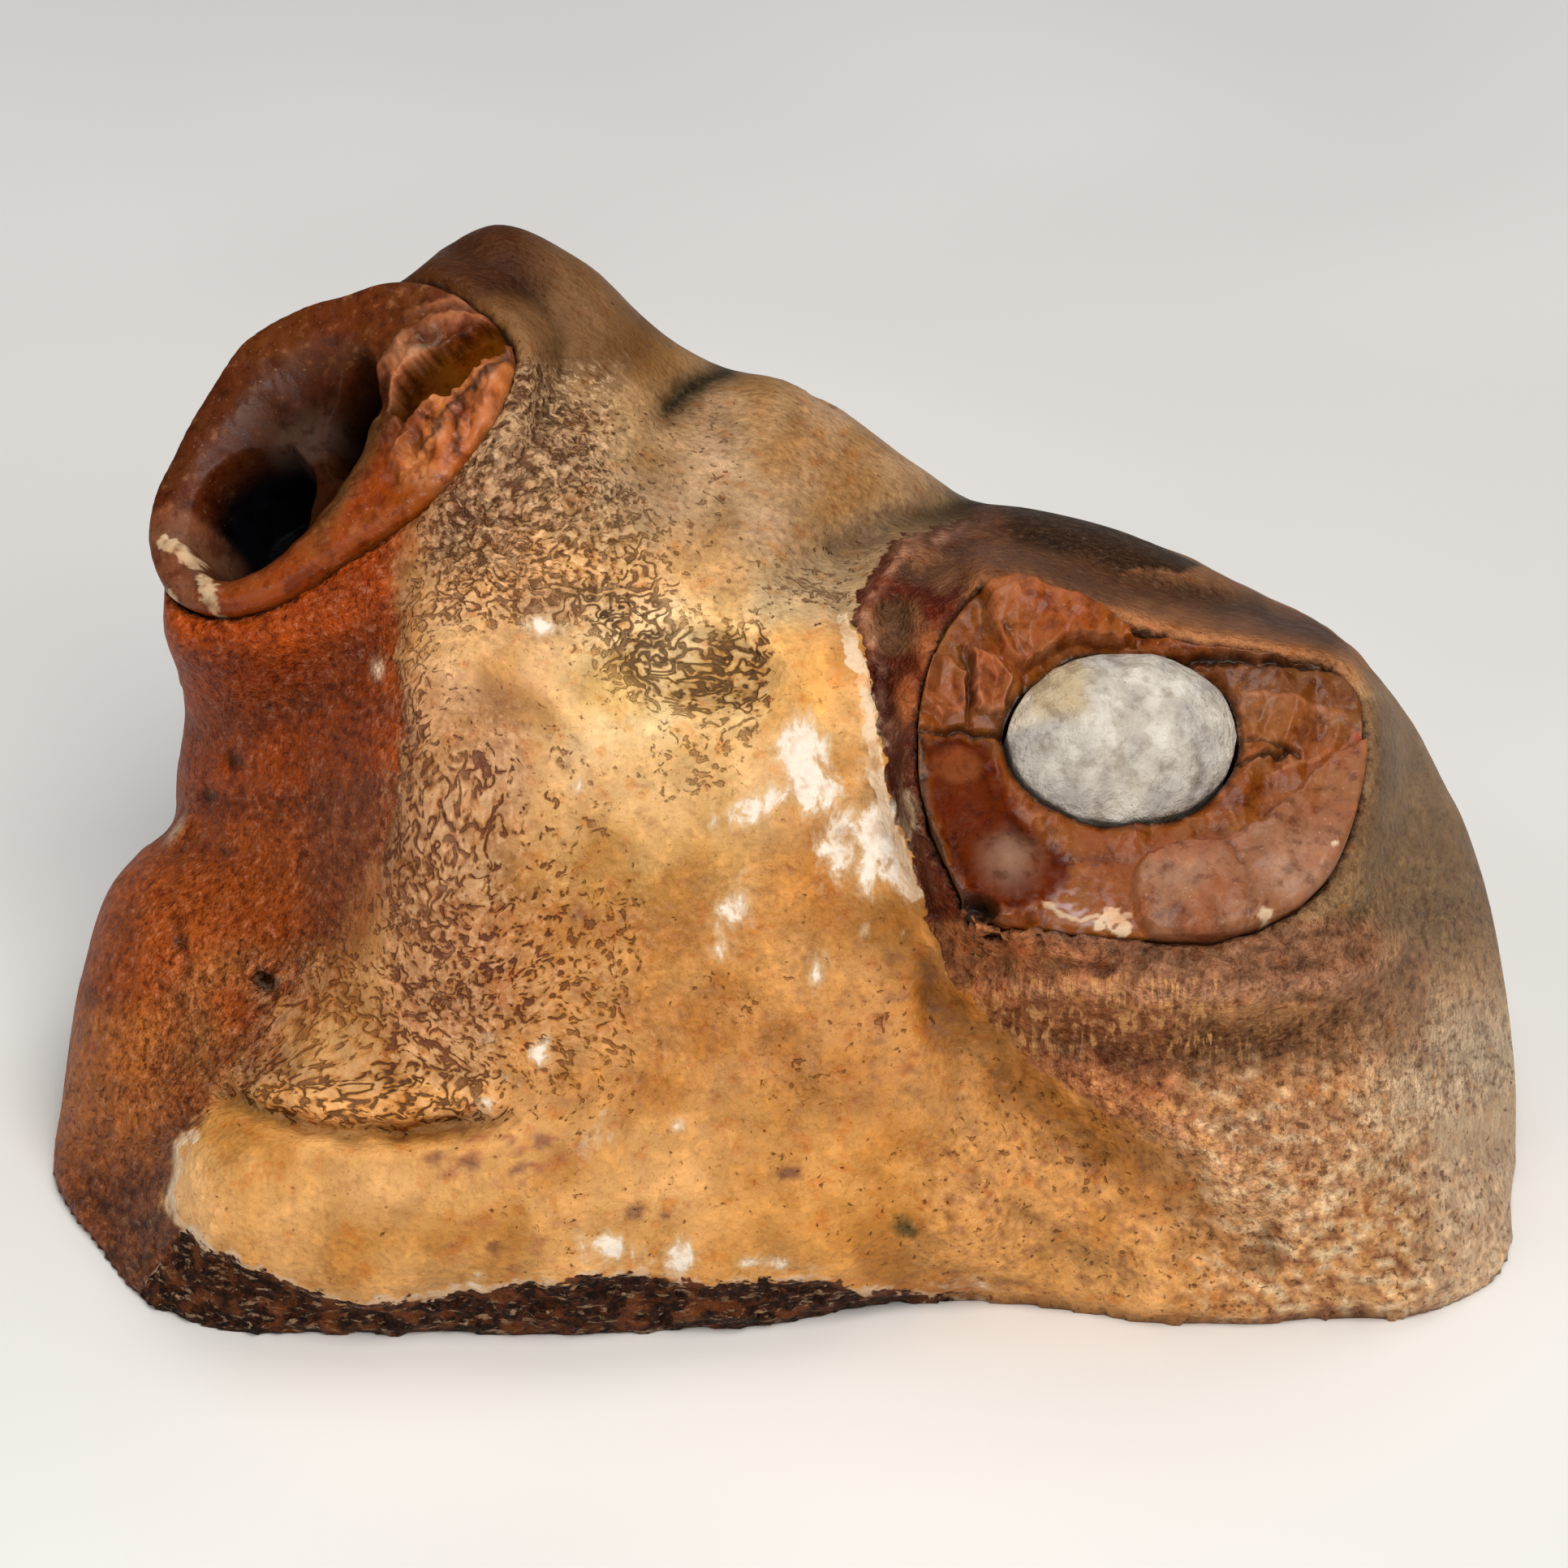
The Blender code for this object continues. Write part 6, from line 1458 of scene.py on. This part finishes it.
# ================================================================ finishes
class Nodes:
    """short names for the shader nodes used here"""

    def __init__(self, name):
        self.mat = bpy.data.materials.new(name)
        self.mat.use_nodes = True
        self.t = self.mat.node_tree
        self.t.nodes.clear()
        self.out = self.t.nodes.new("ShaderNodeOutputMaterial")
        self.bsdf = self.t.nodes.new("ShaderNodeBsdfPrincipled")
        self.t.links.new(self.bsdf.outputs[0], self.out.inputs[0])

    def set(self, socket_shade, value):
        if isinstance(value, bpy.types.NodeSocket):
            self.t.links.new(value, socket_shade)
        else:
            socket_shade.default_value = value

    def attr(self, name, kind="Fac"):
        n = self.t.nodes.new("ShaderNodeAttribute")
        n.attribute_type = 'GEOMETRY'
        n.attribute_name = name
        return n.outputs[kind]

    def mm(self):
        tc = self.t.nodes.new("ShaderNodeTexCoord")
        return self.scale(tc.outputs["Object"], 1000.0)

    def scale(self, vec, k):
        n = self.t.nodes.new("ShaderNodeVectorMath")
        n.operation = 'SCALE'
        self.set(n.inputs[0], vec)
        n.inputs["Scale"].default_value = k
        return n.outputs[0]

    def times(self, vec, xyz):
        n = self.t.nodes.new("ShaderNodeVectorMath")
        n.operation = 'MULTIPLY'
        self.set(n.inputs[0], vec)
        n.inputs[1].default_value = xyz
        return n.outputs[0]

    def noise(self, vec, scale, detail=2.0, rough=0.5, bend=0.0):
        n = self.t.nodes.new("ShaderNodeTexNoise")
        self.set(n.inputs["Vector"], vec)
        n.inputs["Scale"].default_value = scale
        n.inputs["Detail"].default_value = detail
        n.inputs["Roughness"].default_value = rough
        n.inputs["Distortion"].default_value = bend
        return n.outputs[0]

    def cells(self, vec, scale, feature='F1', out="Distance", rand=1.0):
        n = self.t.nodes.new("ShaderNodeTexVoronoi")
        n.feature = feature
        self.set(n.inputs["Vector"], vec)
        n.inputs["Scale"].default_value = scale
        n.inputs["Randomness"].default_value = rand
        return n.outputs[out]

    def math(self, op, a, b=0.0, c=0.0, clamp=False):
        n = self.t.nodes.new("ShaderNodeMath")
        n.operation = op
        n.use_clamp = clamp
        for i, value in enumerate((a, b, c)):
            if i < len(n.inputs):
                self.set(n.inputs[i], value)
        return n.outputs[0]

    def add(self, a, b):
        return self.math('ADD', a, b)

    def sub(self, a, b):
        return self.math('SUBTRACT', a, b)

    def mul(self, a, b):
        return self.math('MULTIPLY', a, b)

    def ramp(self, value, a, b, to0=0.0, to1=1.0, kind='SMOOTHSTEP'):
        n = self.t.nodes.new("ShaderNodeMapRange")
        n.interpolation_type = kind
        self.set(n.inputs["Value"], value)
        for name, v in (("From Min", a), ("From Max", b), ("To Min", to0), ("To Max", to1)):
            self.set(n.inputs[name], v)
        return n.outputs[0]

    def mix(self, a, b, fac, kind='MIX'):
        n = self.t.nodes.new("ShaderNodeMix")
        n.data_type = 'RGBA'
        n.blend_type = kind
        n.clamp_factor = True
        self.set(n.inputs[0], fac)
        for socket_shade, value in ((n.inputs[6], a), (n.inputs[7], b)):
            if isinstance(value, bpy.types.NodeSocket):
                self.t.links.new(value, socket_shade)
            else:
                socket_shade.default_value = tuple(value) + (1.0,)
        return n.outputs[2]

    def grey(self, value):
        n = self.t.nodes.new("ShaderNodeCombineColor")
        for i in range(3):
            self.t.links.new(value, n.inputs[i])
        return n.outputs[0]

    def bump(self, height, depth, normal=None):
        """height in mm"""
        n = self.t.nodes.new("ShaderNodeBump")
        n.inputs["Strength"].default_value = 1.0
        n.inputs["Distance"].default_value = 0.001 * depth
        self.t.links.new(height, n.inputs["Height"])
        if normal is not None:
            self.t.links.new(normal, n.inputs["Normal"])
        return n.outputs[0]

    def finish(self, colour, rough, normal, coat=0.0, coat_rough=0.2, specular=0.5):
        self.t.links.new(colour, self.bsdf.inputs["Base Color"])
        self.t.links.new(rough, self.bsdf.inputs["Roughness"])
        self.t.links.new(normal, self.bsdf.inputs["Normal"])
        self.bsdf.inputs["Coat Weight"].default_value = coat
        self.bsdf.inputs["Coat Roughness"].default_value = coat_rough
        self.bsdf.inputs["Specular IOR Level"].default_value = specular
        return self.mat


def bone_finish():
    m = Nodes("fossil_bone")
    skin, inner = m.attr("skin", "Color"), m.attr("inner", "Color")
    collar, strip, front = m.attr("collar"), m.attr("strip"), m.attr("front")
    spots, fine, olive = m.attr("spots"), m.attr("fine"), m.attr("olive")
    white, cream, stria = m.attr("white"), m.attr("cream"), m.attr("stria")
    bold, mottle, blur, weave = m.attr("bold"), m.attr("mottle"), m.attr("blur"), m.attr("weave")
    p = m.attr("pco", "Vector")
    mm = m.mm()
    slow = m.noise(mm, 0.22, 2.0, 0.55)
    mid = m.noise(mm, 0.8, 2.0, 0.6)
    fast = m.noise(mm, 3.2, 2.0, 0.62)
    grit = m.noise(mm, 9.0, 1.0, 0.6)

    # where the thin outer skin has broken away round the right root
    torn = m.sub(m.noise(mm, 1.1, 2.0, 0.6), 0.5)
    ragged = m.mul(torn, 1.3)
    wide_patch = m.noise(mm, 0.7, 3.0, 0.55)
    over = m.ramp(m.add(collar, ragged), m.mul(blur, -1.0), blur)
    base = m.mix(skin, inner, over)

    # pore lines: thin wandering marks, broken here and there, with a brown halo
    worm = m.noise(p, 1.22, 1.0, 0.45, 0.8)
    worm = m.math('ABSOLUTE', m.sub(worm, 0.5))
    worm2 = m.noise(p, 1.9, 1.0, 0.45, 0.6)
    worm2 = m.math('ABSOLUTE', m.sub(worm2, 0.5))
    ridge = m.add(m.mul(worm, m.sub(1.0, fine)), m.mul(worm2, fine))
    gate = m.noise(p, 1.9, 2.0, 0.55)
    wide = m.add(m.mul(m.sub(gate, 0.5), 0.78), m.mul(m.sub(spots, 0.335), 0.56))
    wide = m.math('MINIMUM', wide, 0.060)
    dark = m.ramp(m.sub(wide, ridge), -0.020, 0.034)
    cut = dark
    halo = m.ramp(m.sub(wide, ridge), -0.085, 0.01)
    soft_cut = halo
    dots = m.noise(p, 2.7, 1.0, 0.4)
    thr = m.ramp(spots, 0.04, 0.7, 0.12, 0.40, 'LINEAR')
    dark = m.math('MAXIMUM', dark, m.ramp(m.sub(thr, dots), -0.02, 0.025))
    halo = m.math('MAXIMUM', halo, m.ramp(m.sub(thr, dots), -0.12, 0.0))
    cells_ = m.noise(p, 2.3, 2.0, 0.6, 0.35)
    lightf = m.mul(m.ramp(m.sub(ridge, wide), 0.05, 0.14), m.ramp(spots, 0.2, 0.5))

    # slow and quick colour change
    c = m.mix(base, m.mix(base, (1.22, 1.20, 1.18), 1.0, 'MULTIPLY'), m.ramp(mid, 0.52, 0.72))
    c = m.mix(c, (0.0, 0.0, 0.0), m.ramp(slow, 0.5, 0.28, 0.0, 0.22))
    c = m.mix(c, m.mix(c, (0.9, 0.55, 0.22), 0.9, 'MULTIPLY'), m.ramp(mid, 0.46, 0.30, 0.0, 0.55))
    c = m.mix(c, m.mix(c, (0.50, 0.40, 0.33), 1.0, 'MULTIPLY'), m.mul(m.ramp(cells_, 0.47, 0.36), mottle))
    bright = m.mix(m.mix(c, (1.42, 1.34, 1.25), 1.0, 'MULTIPLY'), (0.78, 0.58, 0.36), m.mul(bold, 0.5))
    c = m.mix(c, bright, m.mul(m.ramp(cells_, 0.54, 0.63), mottle))
    c = m.mix(c, m.mix(c, (0.80, 0.60, 0.38), 0.35), m.mul(lightf, 0.45))
    c = m.mix(c, m.mix(c, (0.62, 0.36, 0.20), 1.0, 'MULTIPLY'), m.mul(halo, m.ramp(bold, 0.0, 1.0, 0.25, 0.50)))
    brown = m.mix((0.085, 0.020, 0.011), (0.026, 0.018, 0.008), olive)
    brown = m.mix(brown, (0.16, 0.06, 0.026), m.ramp(grit, 0.45, 0.7, 0.0, 0.6))
    c = m.mix(c, brown, m.mul(dark, m.mul(m.ramp(slow, 0.35, 0.6, 0.7, 1.0), m.ramp(bold, 0.0, 1.0, 0.40, 0.97, 'LINEAR'))))

    # short cream flecks standing on dark bone
    isle = m.ramp(m.noise(p, 1.75, 2.0, 0.5), 0.46, 0.57)
    ground = m.mix((0.125, 0.052, 0.022), (0.050, 0.028, 0.012), m.ramp(mid, 0.40, 0.62))
    c = m.mix(c, ground, m.mul(m.mul(weave, m.sub(1.0, isle)), 0.72))
    c = m.mix(c, (0.56, 0.33, 0.165), m.mul(m.mul(weave, isle), 0.62))

    # tiny dark specks and pale dust over everything
    specks = m.ramp(m.noise(mm, 5.5, 1.0), 0.30, 0.24)
    c = m.mix(c, (0.10, 0.04, 0.015), m.mul(specks, m.ramp(spots, 0.0, 0.2, 0.35, 0.75)))
    grain = m.noise(p, 2.1, 3.0, 0.70)
    rub_in = m.mul(m.mul(over, front), mottle)
    c = m.mix(c, m.mix(c, (0.42, 0.32, 0.27), 1.0, 'MULTIPLY'), m.mul(m.ramp(grain, 0.48, 0.36), m.ramp(rub_in, 0.0, 0.5, 0.25, 0.85)))
    c = m.mix(c, m.mix(m.mix(c, (1.38, 1.32, 1.26), 1.0, 'MULTIPLY'), (0.62, 0.42, 0.28), 0.22), m.mul(m.ramp(grain, 0.55, 0.68), m.ramp(rub_in, 0.0, 0.5, 0.10, 0.7)))
    dust = m.mul(m.ramp(fast, 0.60, 0.74), m.mul(over, front))
    c = m.mix(c, (0.42, 0.30, 0.22), m.mul(dust, 0.10))

    # fine upright streaks under the ledge
    sv = m.times(mm, (2.6, 0.55, 0.55))
    streak = m.noise(sv, 1.15, 2.0, 0.6)
    stria = m.mul(stria, over)
    grooved = stria
    stria = m.mul(stria, m.ramp(wide_patch, 0.38, 0.58))
    c = m.mix(c, (0.60, 0.30, 0.11), m.mul(m.ramp(streak, 0.50, 0.60), m.mul(stria, 0.85)))
    c = m.mix(c, (0.085, 0.026, 0.009), m.mul(m.ramp(streak, 0.45, 0.35), m.mul(stria, 0.6)))

    # pale chalky patches and the pale broken edge of the skin
    wn = m.add(m.mul(m.sub(m.noise(m.times(mm, (1.25, 0.8, 0.8)), 0.60, 5.0, 0.64, 0.5), 0.5), 3.0), -0.26)
    chalk = m.ramp(m.add(white, wn), -0.34, 0.66)
    chalk_colour = m.mix((0.62, 0.45, 0.27), (0.80, 0.70, 0.59), m.ramp(chalk, 0.35, 1.0))
    chalk_colour = m.mix(chalk_colour, (0.50, 0.32, 0.18), m.ramp(fast, 0.62, 0.74, 0.0, 0.4))
    c = m.mix(c, chalk_colour, m.mul(m.math('MINIMUM', m.mul(chalk, 1.25), 1.0), m.ramp(mid, 0.34, 0.52, 0.55, 0.96)))
    rim = m.add(m.add(cream, ragged), m.mul(m.sub(wide_patch, 0.5), 2.0))
    rim = m.mul(m.ramp(rim, 0.12, 0.30), m.ramp(cream, -0.9, -0.5))
    rim = m.mul(rim, m.sub(1.0, over))
    c = m.mix(c, (0.72, 0.53, 0.35), m.mul(rim, m.ramp(mid, 0.36, 0.56, 0.35, 0.9)))

    # rough broken rock along the under edge; its near-black ground is partly the dark rock and partly painted shade of
    # the undercut
    sn = m.mul(torn, 1.5)
    rock = m.ramp(m.add(strip, sn), -0.04, 0.08)
    rock_and_shade_colour = m.mix((0.012, 0.0035, 0.0012), (0.085, 0.022, 0.005), m.ramp(grain, 0.42, 0.66))
    rock_and_shade_colour = m.mix(rock_and_shade_colour, (0.42, 0.26, 0.15), m.ramp(m.noise(m.times(mm, (0.7, 1.3, 1.7)), 1.6, 3.0, 0.65), 0.54, 0.66, 0.0, 0.85))
    rock_and_shade_colour = m.mix(rock_and_shade_colour, (0.20, 0.055, 0.014), m.ramp(wide_patch, 0.48, 0.64, 0.0, 0.75))
    lip = m.mul(m.ramp(m.add(strip, sn), -0.50, -0.10), m.ramp(mid, 0.44, 0.56))
    c = m.mix(c, (0.66, 0.48, 0.32), m.mul(lip, 0.75))
    c = m.mix(c, rock_and_shade_colour, rock)

    # height in mm
    h = m.mul(cut, -0.11)
    h = m.add(h, m.mul(soft_cut, -0.05))
    h = m.mul(h, m.sub(1.0, m.ramp(white, -0.15, 0.25)))
    h = m.add(h, m.mul(m.sub(fast, 0.5), m.add(0.10, m.mul(over, 0.16))))
    h = m.add(h, m.mul(m.sub(mid, 0.5), 0.22))
    h = m.add(h, m.mul(over, -0.18))
    h = m.add(h, m.mul(m.mul(m.sub(grain, 0.5), rub_in), 0.45))
    h = m.add(h, m.mul(rock, m.add(m.mul(m.sub(mid, 0.5), 0.7), m.mul(m.sub(grain, 0.5), 0.7))))
    h = m.add(h, m.mul(m.mul(grooved, m.sub(streak, 0.5)), 0.30))
    normal = m.bump(h, 1.0)

    rough = m.add(m.ramp(mid, 0.3, 0.7, 0.36, 0.52), m.mul(dark, 0.22))
    rough = m.add(rough, m.mul(chalk, 0.18))
    rough = m.add(rough, m.mul(rock, 0.20))
    rough = m.add(rough, m.mul(over, 0.06))
    rough = m.math('MINIMUM', rough, 0.92)
    return m.finish(c, rough, normal, coat=0.0, specular=0.13)


def root_finish(name, vein):
    m = Nodes(name)
    skin, gloss, clean = m.attr("skin", "Color"), m.attr("gloss"), m.attr("clean")
    mm = m.mm()
    slow = m.noise(mm, 0.35, 3.0, 0.55)
    mid = m.noise(mm, 1.2, 3.0, 0.6)
    fast = m.noise(mm, 4.0, 2.0, 0.62)
    c = m.mix(skin, m.mix(skin, (0.55, 0.40, 0.30), 1.0, 'MULTIPLY'), m.ramp(mid, 0.48, 0.30, 0.0, 0.8))
    c = m.mix(c, m.mix(c, vein, 0.30), m.mul(m.ramp(mid, 0.55, 0.74), clean))
    c = m.mix(c, m.mix(c, (1.0, 0.62, 0.40), 1.0, 'MULTIPLY'), m.ramp(slow, 0.42, 0.6, 0.0, 0.5))
    flecks = m.ramp(fast, 0.66, 0.76)
    c = m.mix(c, (0.60, 0.38, 0.24), m.mul(m.mul(flecks, clean), 0.30))
    c = m.mix(c, m.mix(c, (0.40, 0.30, 0.24), 1.0, 'MULTIPLY'), m.mul(m.ramp(m.noise(mm, 0.55, 4.0, 0.65), 0.50, 0.34), 0.7))
    h = m.mul(m.mul(m.sub(mid, 0.5), 0.075), m.ramp(clean, 0.0, 1.0, 0.4, 1.0))
    h = m.add(h, m.mul(m.sub(fast, 0.5), 0.03))
    normal = m.bump(h, 1.0)
    rough = m.sub(m.ramp(mid, 0.3, 0.7, 0.40, 0.50), m.mul(gloss, 0.17))
    rough = m.add(rough, m.mul(m.ramp(fast, 0.4, 0.7), 0.08))
    out = m.finish(c, rough, normal, coat=0.0, specular=0.20)
    m.t.links.new(m.ramp(clean, 0.0, 1.0, 0.03, 0.18), m.bsdf.inputs["Specular IOR Level"])
    m.t.links.new(m.ramp(clean, 0.2, 1.0, 0.0, 0.05), m.bsdf.inputs["Coat Weight"])
    return out


def filling_finish():
    m = Nodes("grey_filling")
    skin = m.attr("skin", "Color")
    mm = m.mm()
    mid = m.noise(mm, 0.9, 4.0, 0.6)
    fast = m.noise(mm, 3.5, 4.0, 0.65)
    c = m.mix(skin, m.mix(skin, (0.66, 0.62, 0.58), 1.0, 'MULTIPLY'), m.ramp(mid, 0.54, 0.34, 0.0, 0.9))
    c = m.mix(c, (0.74, 0.70, 0.63), m.ramp(m.noise(mm, 0.60, 4.0, 0.6), 0.46, 0.70, 0.0, 0.42))
    c = m.mix(c, (0.17, 0.14, 0.11), m.ramp(fast, 0.36, 0.26, 0.0, 0.6))
    c = m.mix(c, (0.74, 0.69, 0.62), m.ramp(fast, 0.64, 0.76, 0.0, 0.25))
    h = m.mul(m.sub(mid, 0.5), 0.40)
    h = m.add(h, m.mul(m.sub(fast, 0.5), 0.20))
    normal = m.bump(h, 1.0)
    rough = m.ramp(mid, 0.3, 0.7, 0.62, 0.80)
    return m.finish(c, rough, normal, coat=0.0, specular=0.25)


bone.data.materials.append(bone_finish())
ring.data.materials.append(root_finish("root_dentine_right", (0.50, 0.22, 0.10)))
stump.data.materials.append(root_finish("root_dentine_left", (0.45, 0.19, 0.08)))
core.data.materials.append(filling_finish())

for piece, node, slot in ((bone, "jaw_bone", "bone"), (ring, "right_tooth_stump", "dentine"),
                          (stump, "left_tooth_stump", "dentine"), (core, "right_tooth_core", "filling")):
    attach(piece, "root")
    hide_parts(node)

# ================================================================ floor
floor_mesh = bpy.data.meshes.new("floor")
S = 1.6
floor_mesh.from_pydata([(-S, -S, 0), (S, -S, 0), (S, S, 0), (-S, S, 0)], [], [(0, 1, 2, 3)])
floor = bpy.data.objects.new("floor", floor_mesh)
bpy.context.scene.collection.objects.link(floor)
f = Nodes("pale_floor")
fm = f.mm()
fc = f.mix((0.74, 0.73, 0.71), (0.78, 0.77, 0.75), f.ramp(f.noise(fm, 0.02, 1.0), 0.35, 0.65))
f.t.links.new(fc, f.bsdf.inputs["Base Color"])
f.bsdf.inputs["Roughness"].default_value = 0.6
floor_mesh.materials.append(f.mat)

# ================================================================ camera
cam_data = bpy.data.cameras.new("camera")
cam_data.sensor_width = 36.0
cam_data.lens = 36.0 * REACH / (1932.0 * UNIT)
cam_data.clip_start, cam_data.clip_end = 0.01, 20.0
cam = bpy.data.objects.new("camera", cam_data)
bpy.context.scene.collection.objects.link(cam)
cam.location = (OX * MM, (OY - REACH * CS) * MM, (OZ + REACH * SN) * MM)
cam.rotation_euler = (pi / 2 - LEAN, 0.0, 0.0)
bpy.context.scene.camera = cam


# ================================================================ soft studio light
def softbox(name, place, size, watts, colour=(1, 1, 1), aim=(0, 0, 18)):
    data = bpy.data.lights.new(name, 'AREA')
    data.shape = 'RECTANGLE'
    data.size, data.size_y = size
    data.energy = watts
    data.color = colour
    obj = bpy.data.objects.new(name, data)
    bpy.context.scene.collection.objects.link(obj)
    obj.location = Vector(place) * MM
    look = Vector(aim) * MM - obj.location
    obj.rotation_euler = look.to_track_quat('-Z', 'Y').to_euler()


softbox("key", (110, -300, 420), (0.34, 0.34), 2.75, (1.0, 0.965, 0.92))
softbox("fill", (-340, -320, 260), (0.45, 0.40), 0.75, (1.0, 0.98, 0.96))
softbox("top", (40, 160, 480), (0.50, 0.40), 1.0, (0.98, 0.99, 1.0))

world = bpy.data.worlds.new("studio")
world.use_nodes = True
world.node_tree.nodes["Background"].inputs[0].default_value = (0.92, 0.94, 1.0, 1.0)
world.node_tree.nodes["Background"].inputs[1].default_value = 0.07
bpy.context.scene.world = world
bpy.context.scene.view_settings.view_transform = 'Standard'
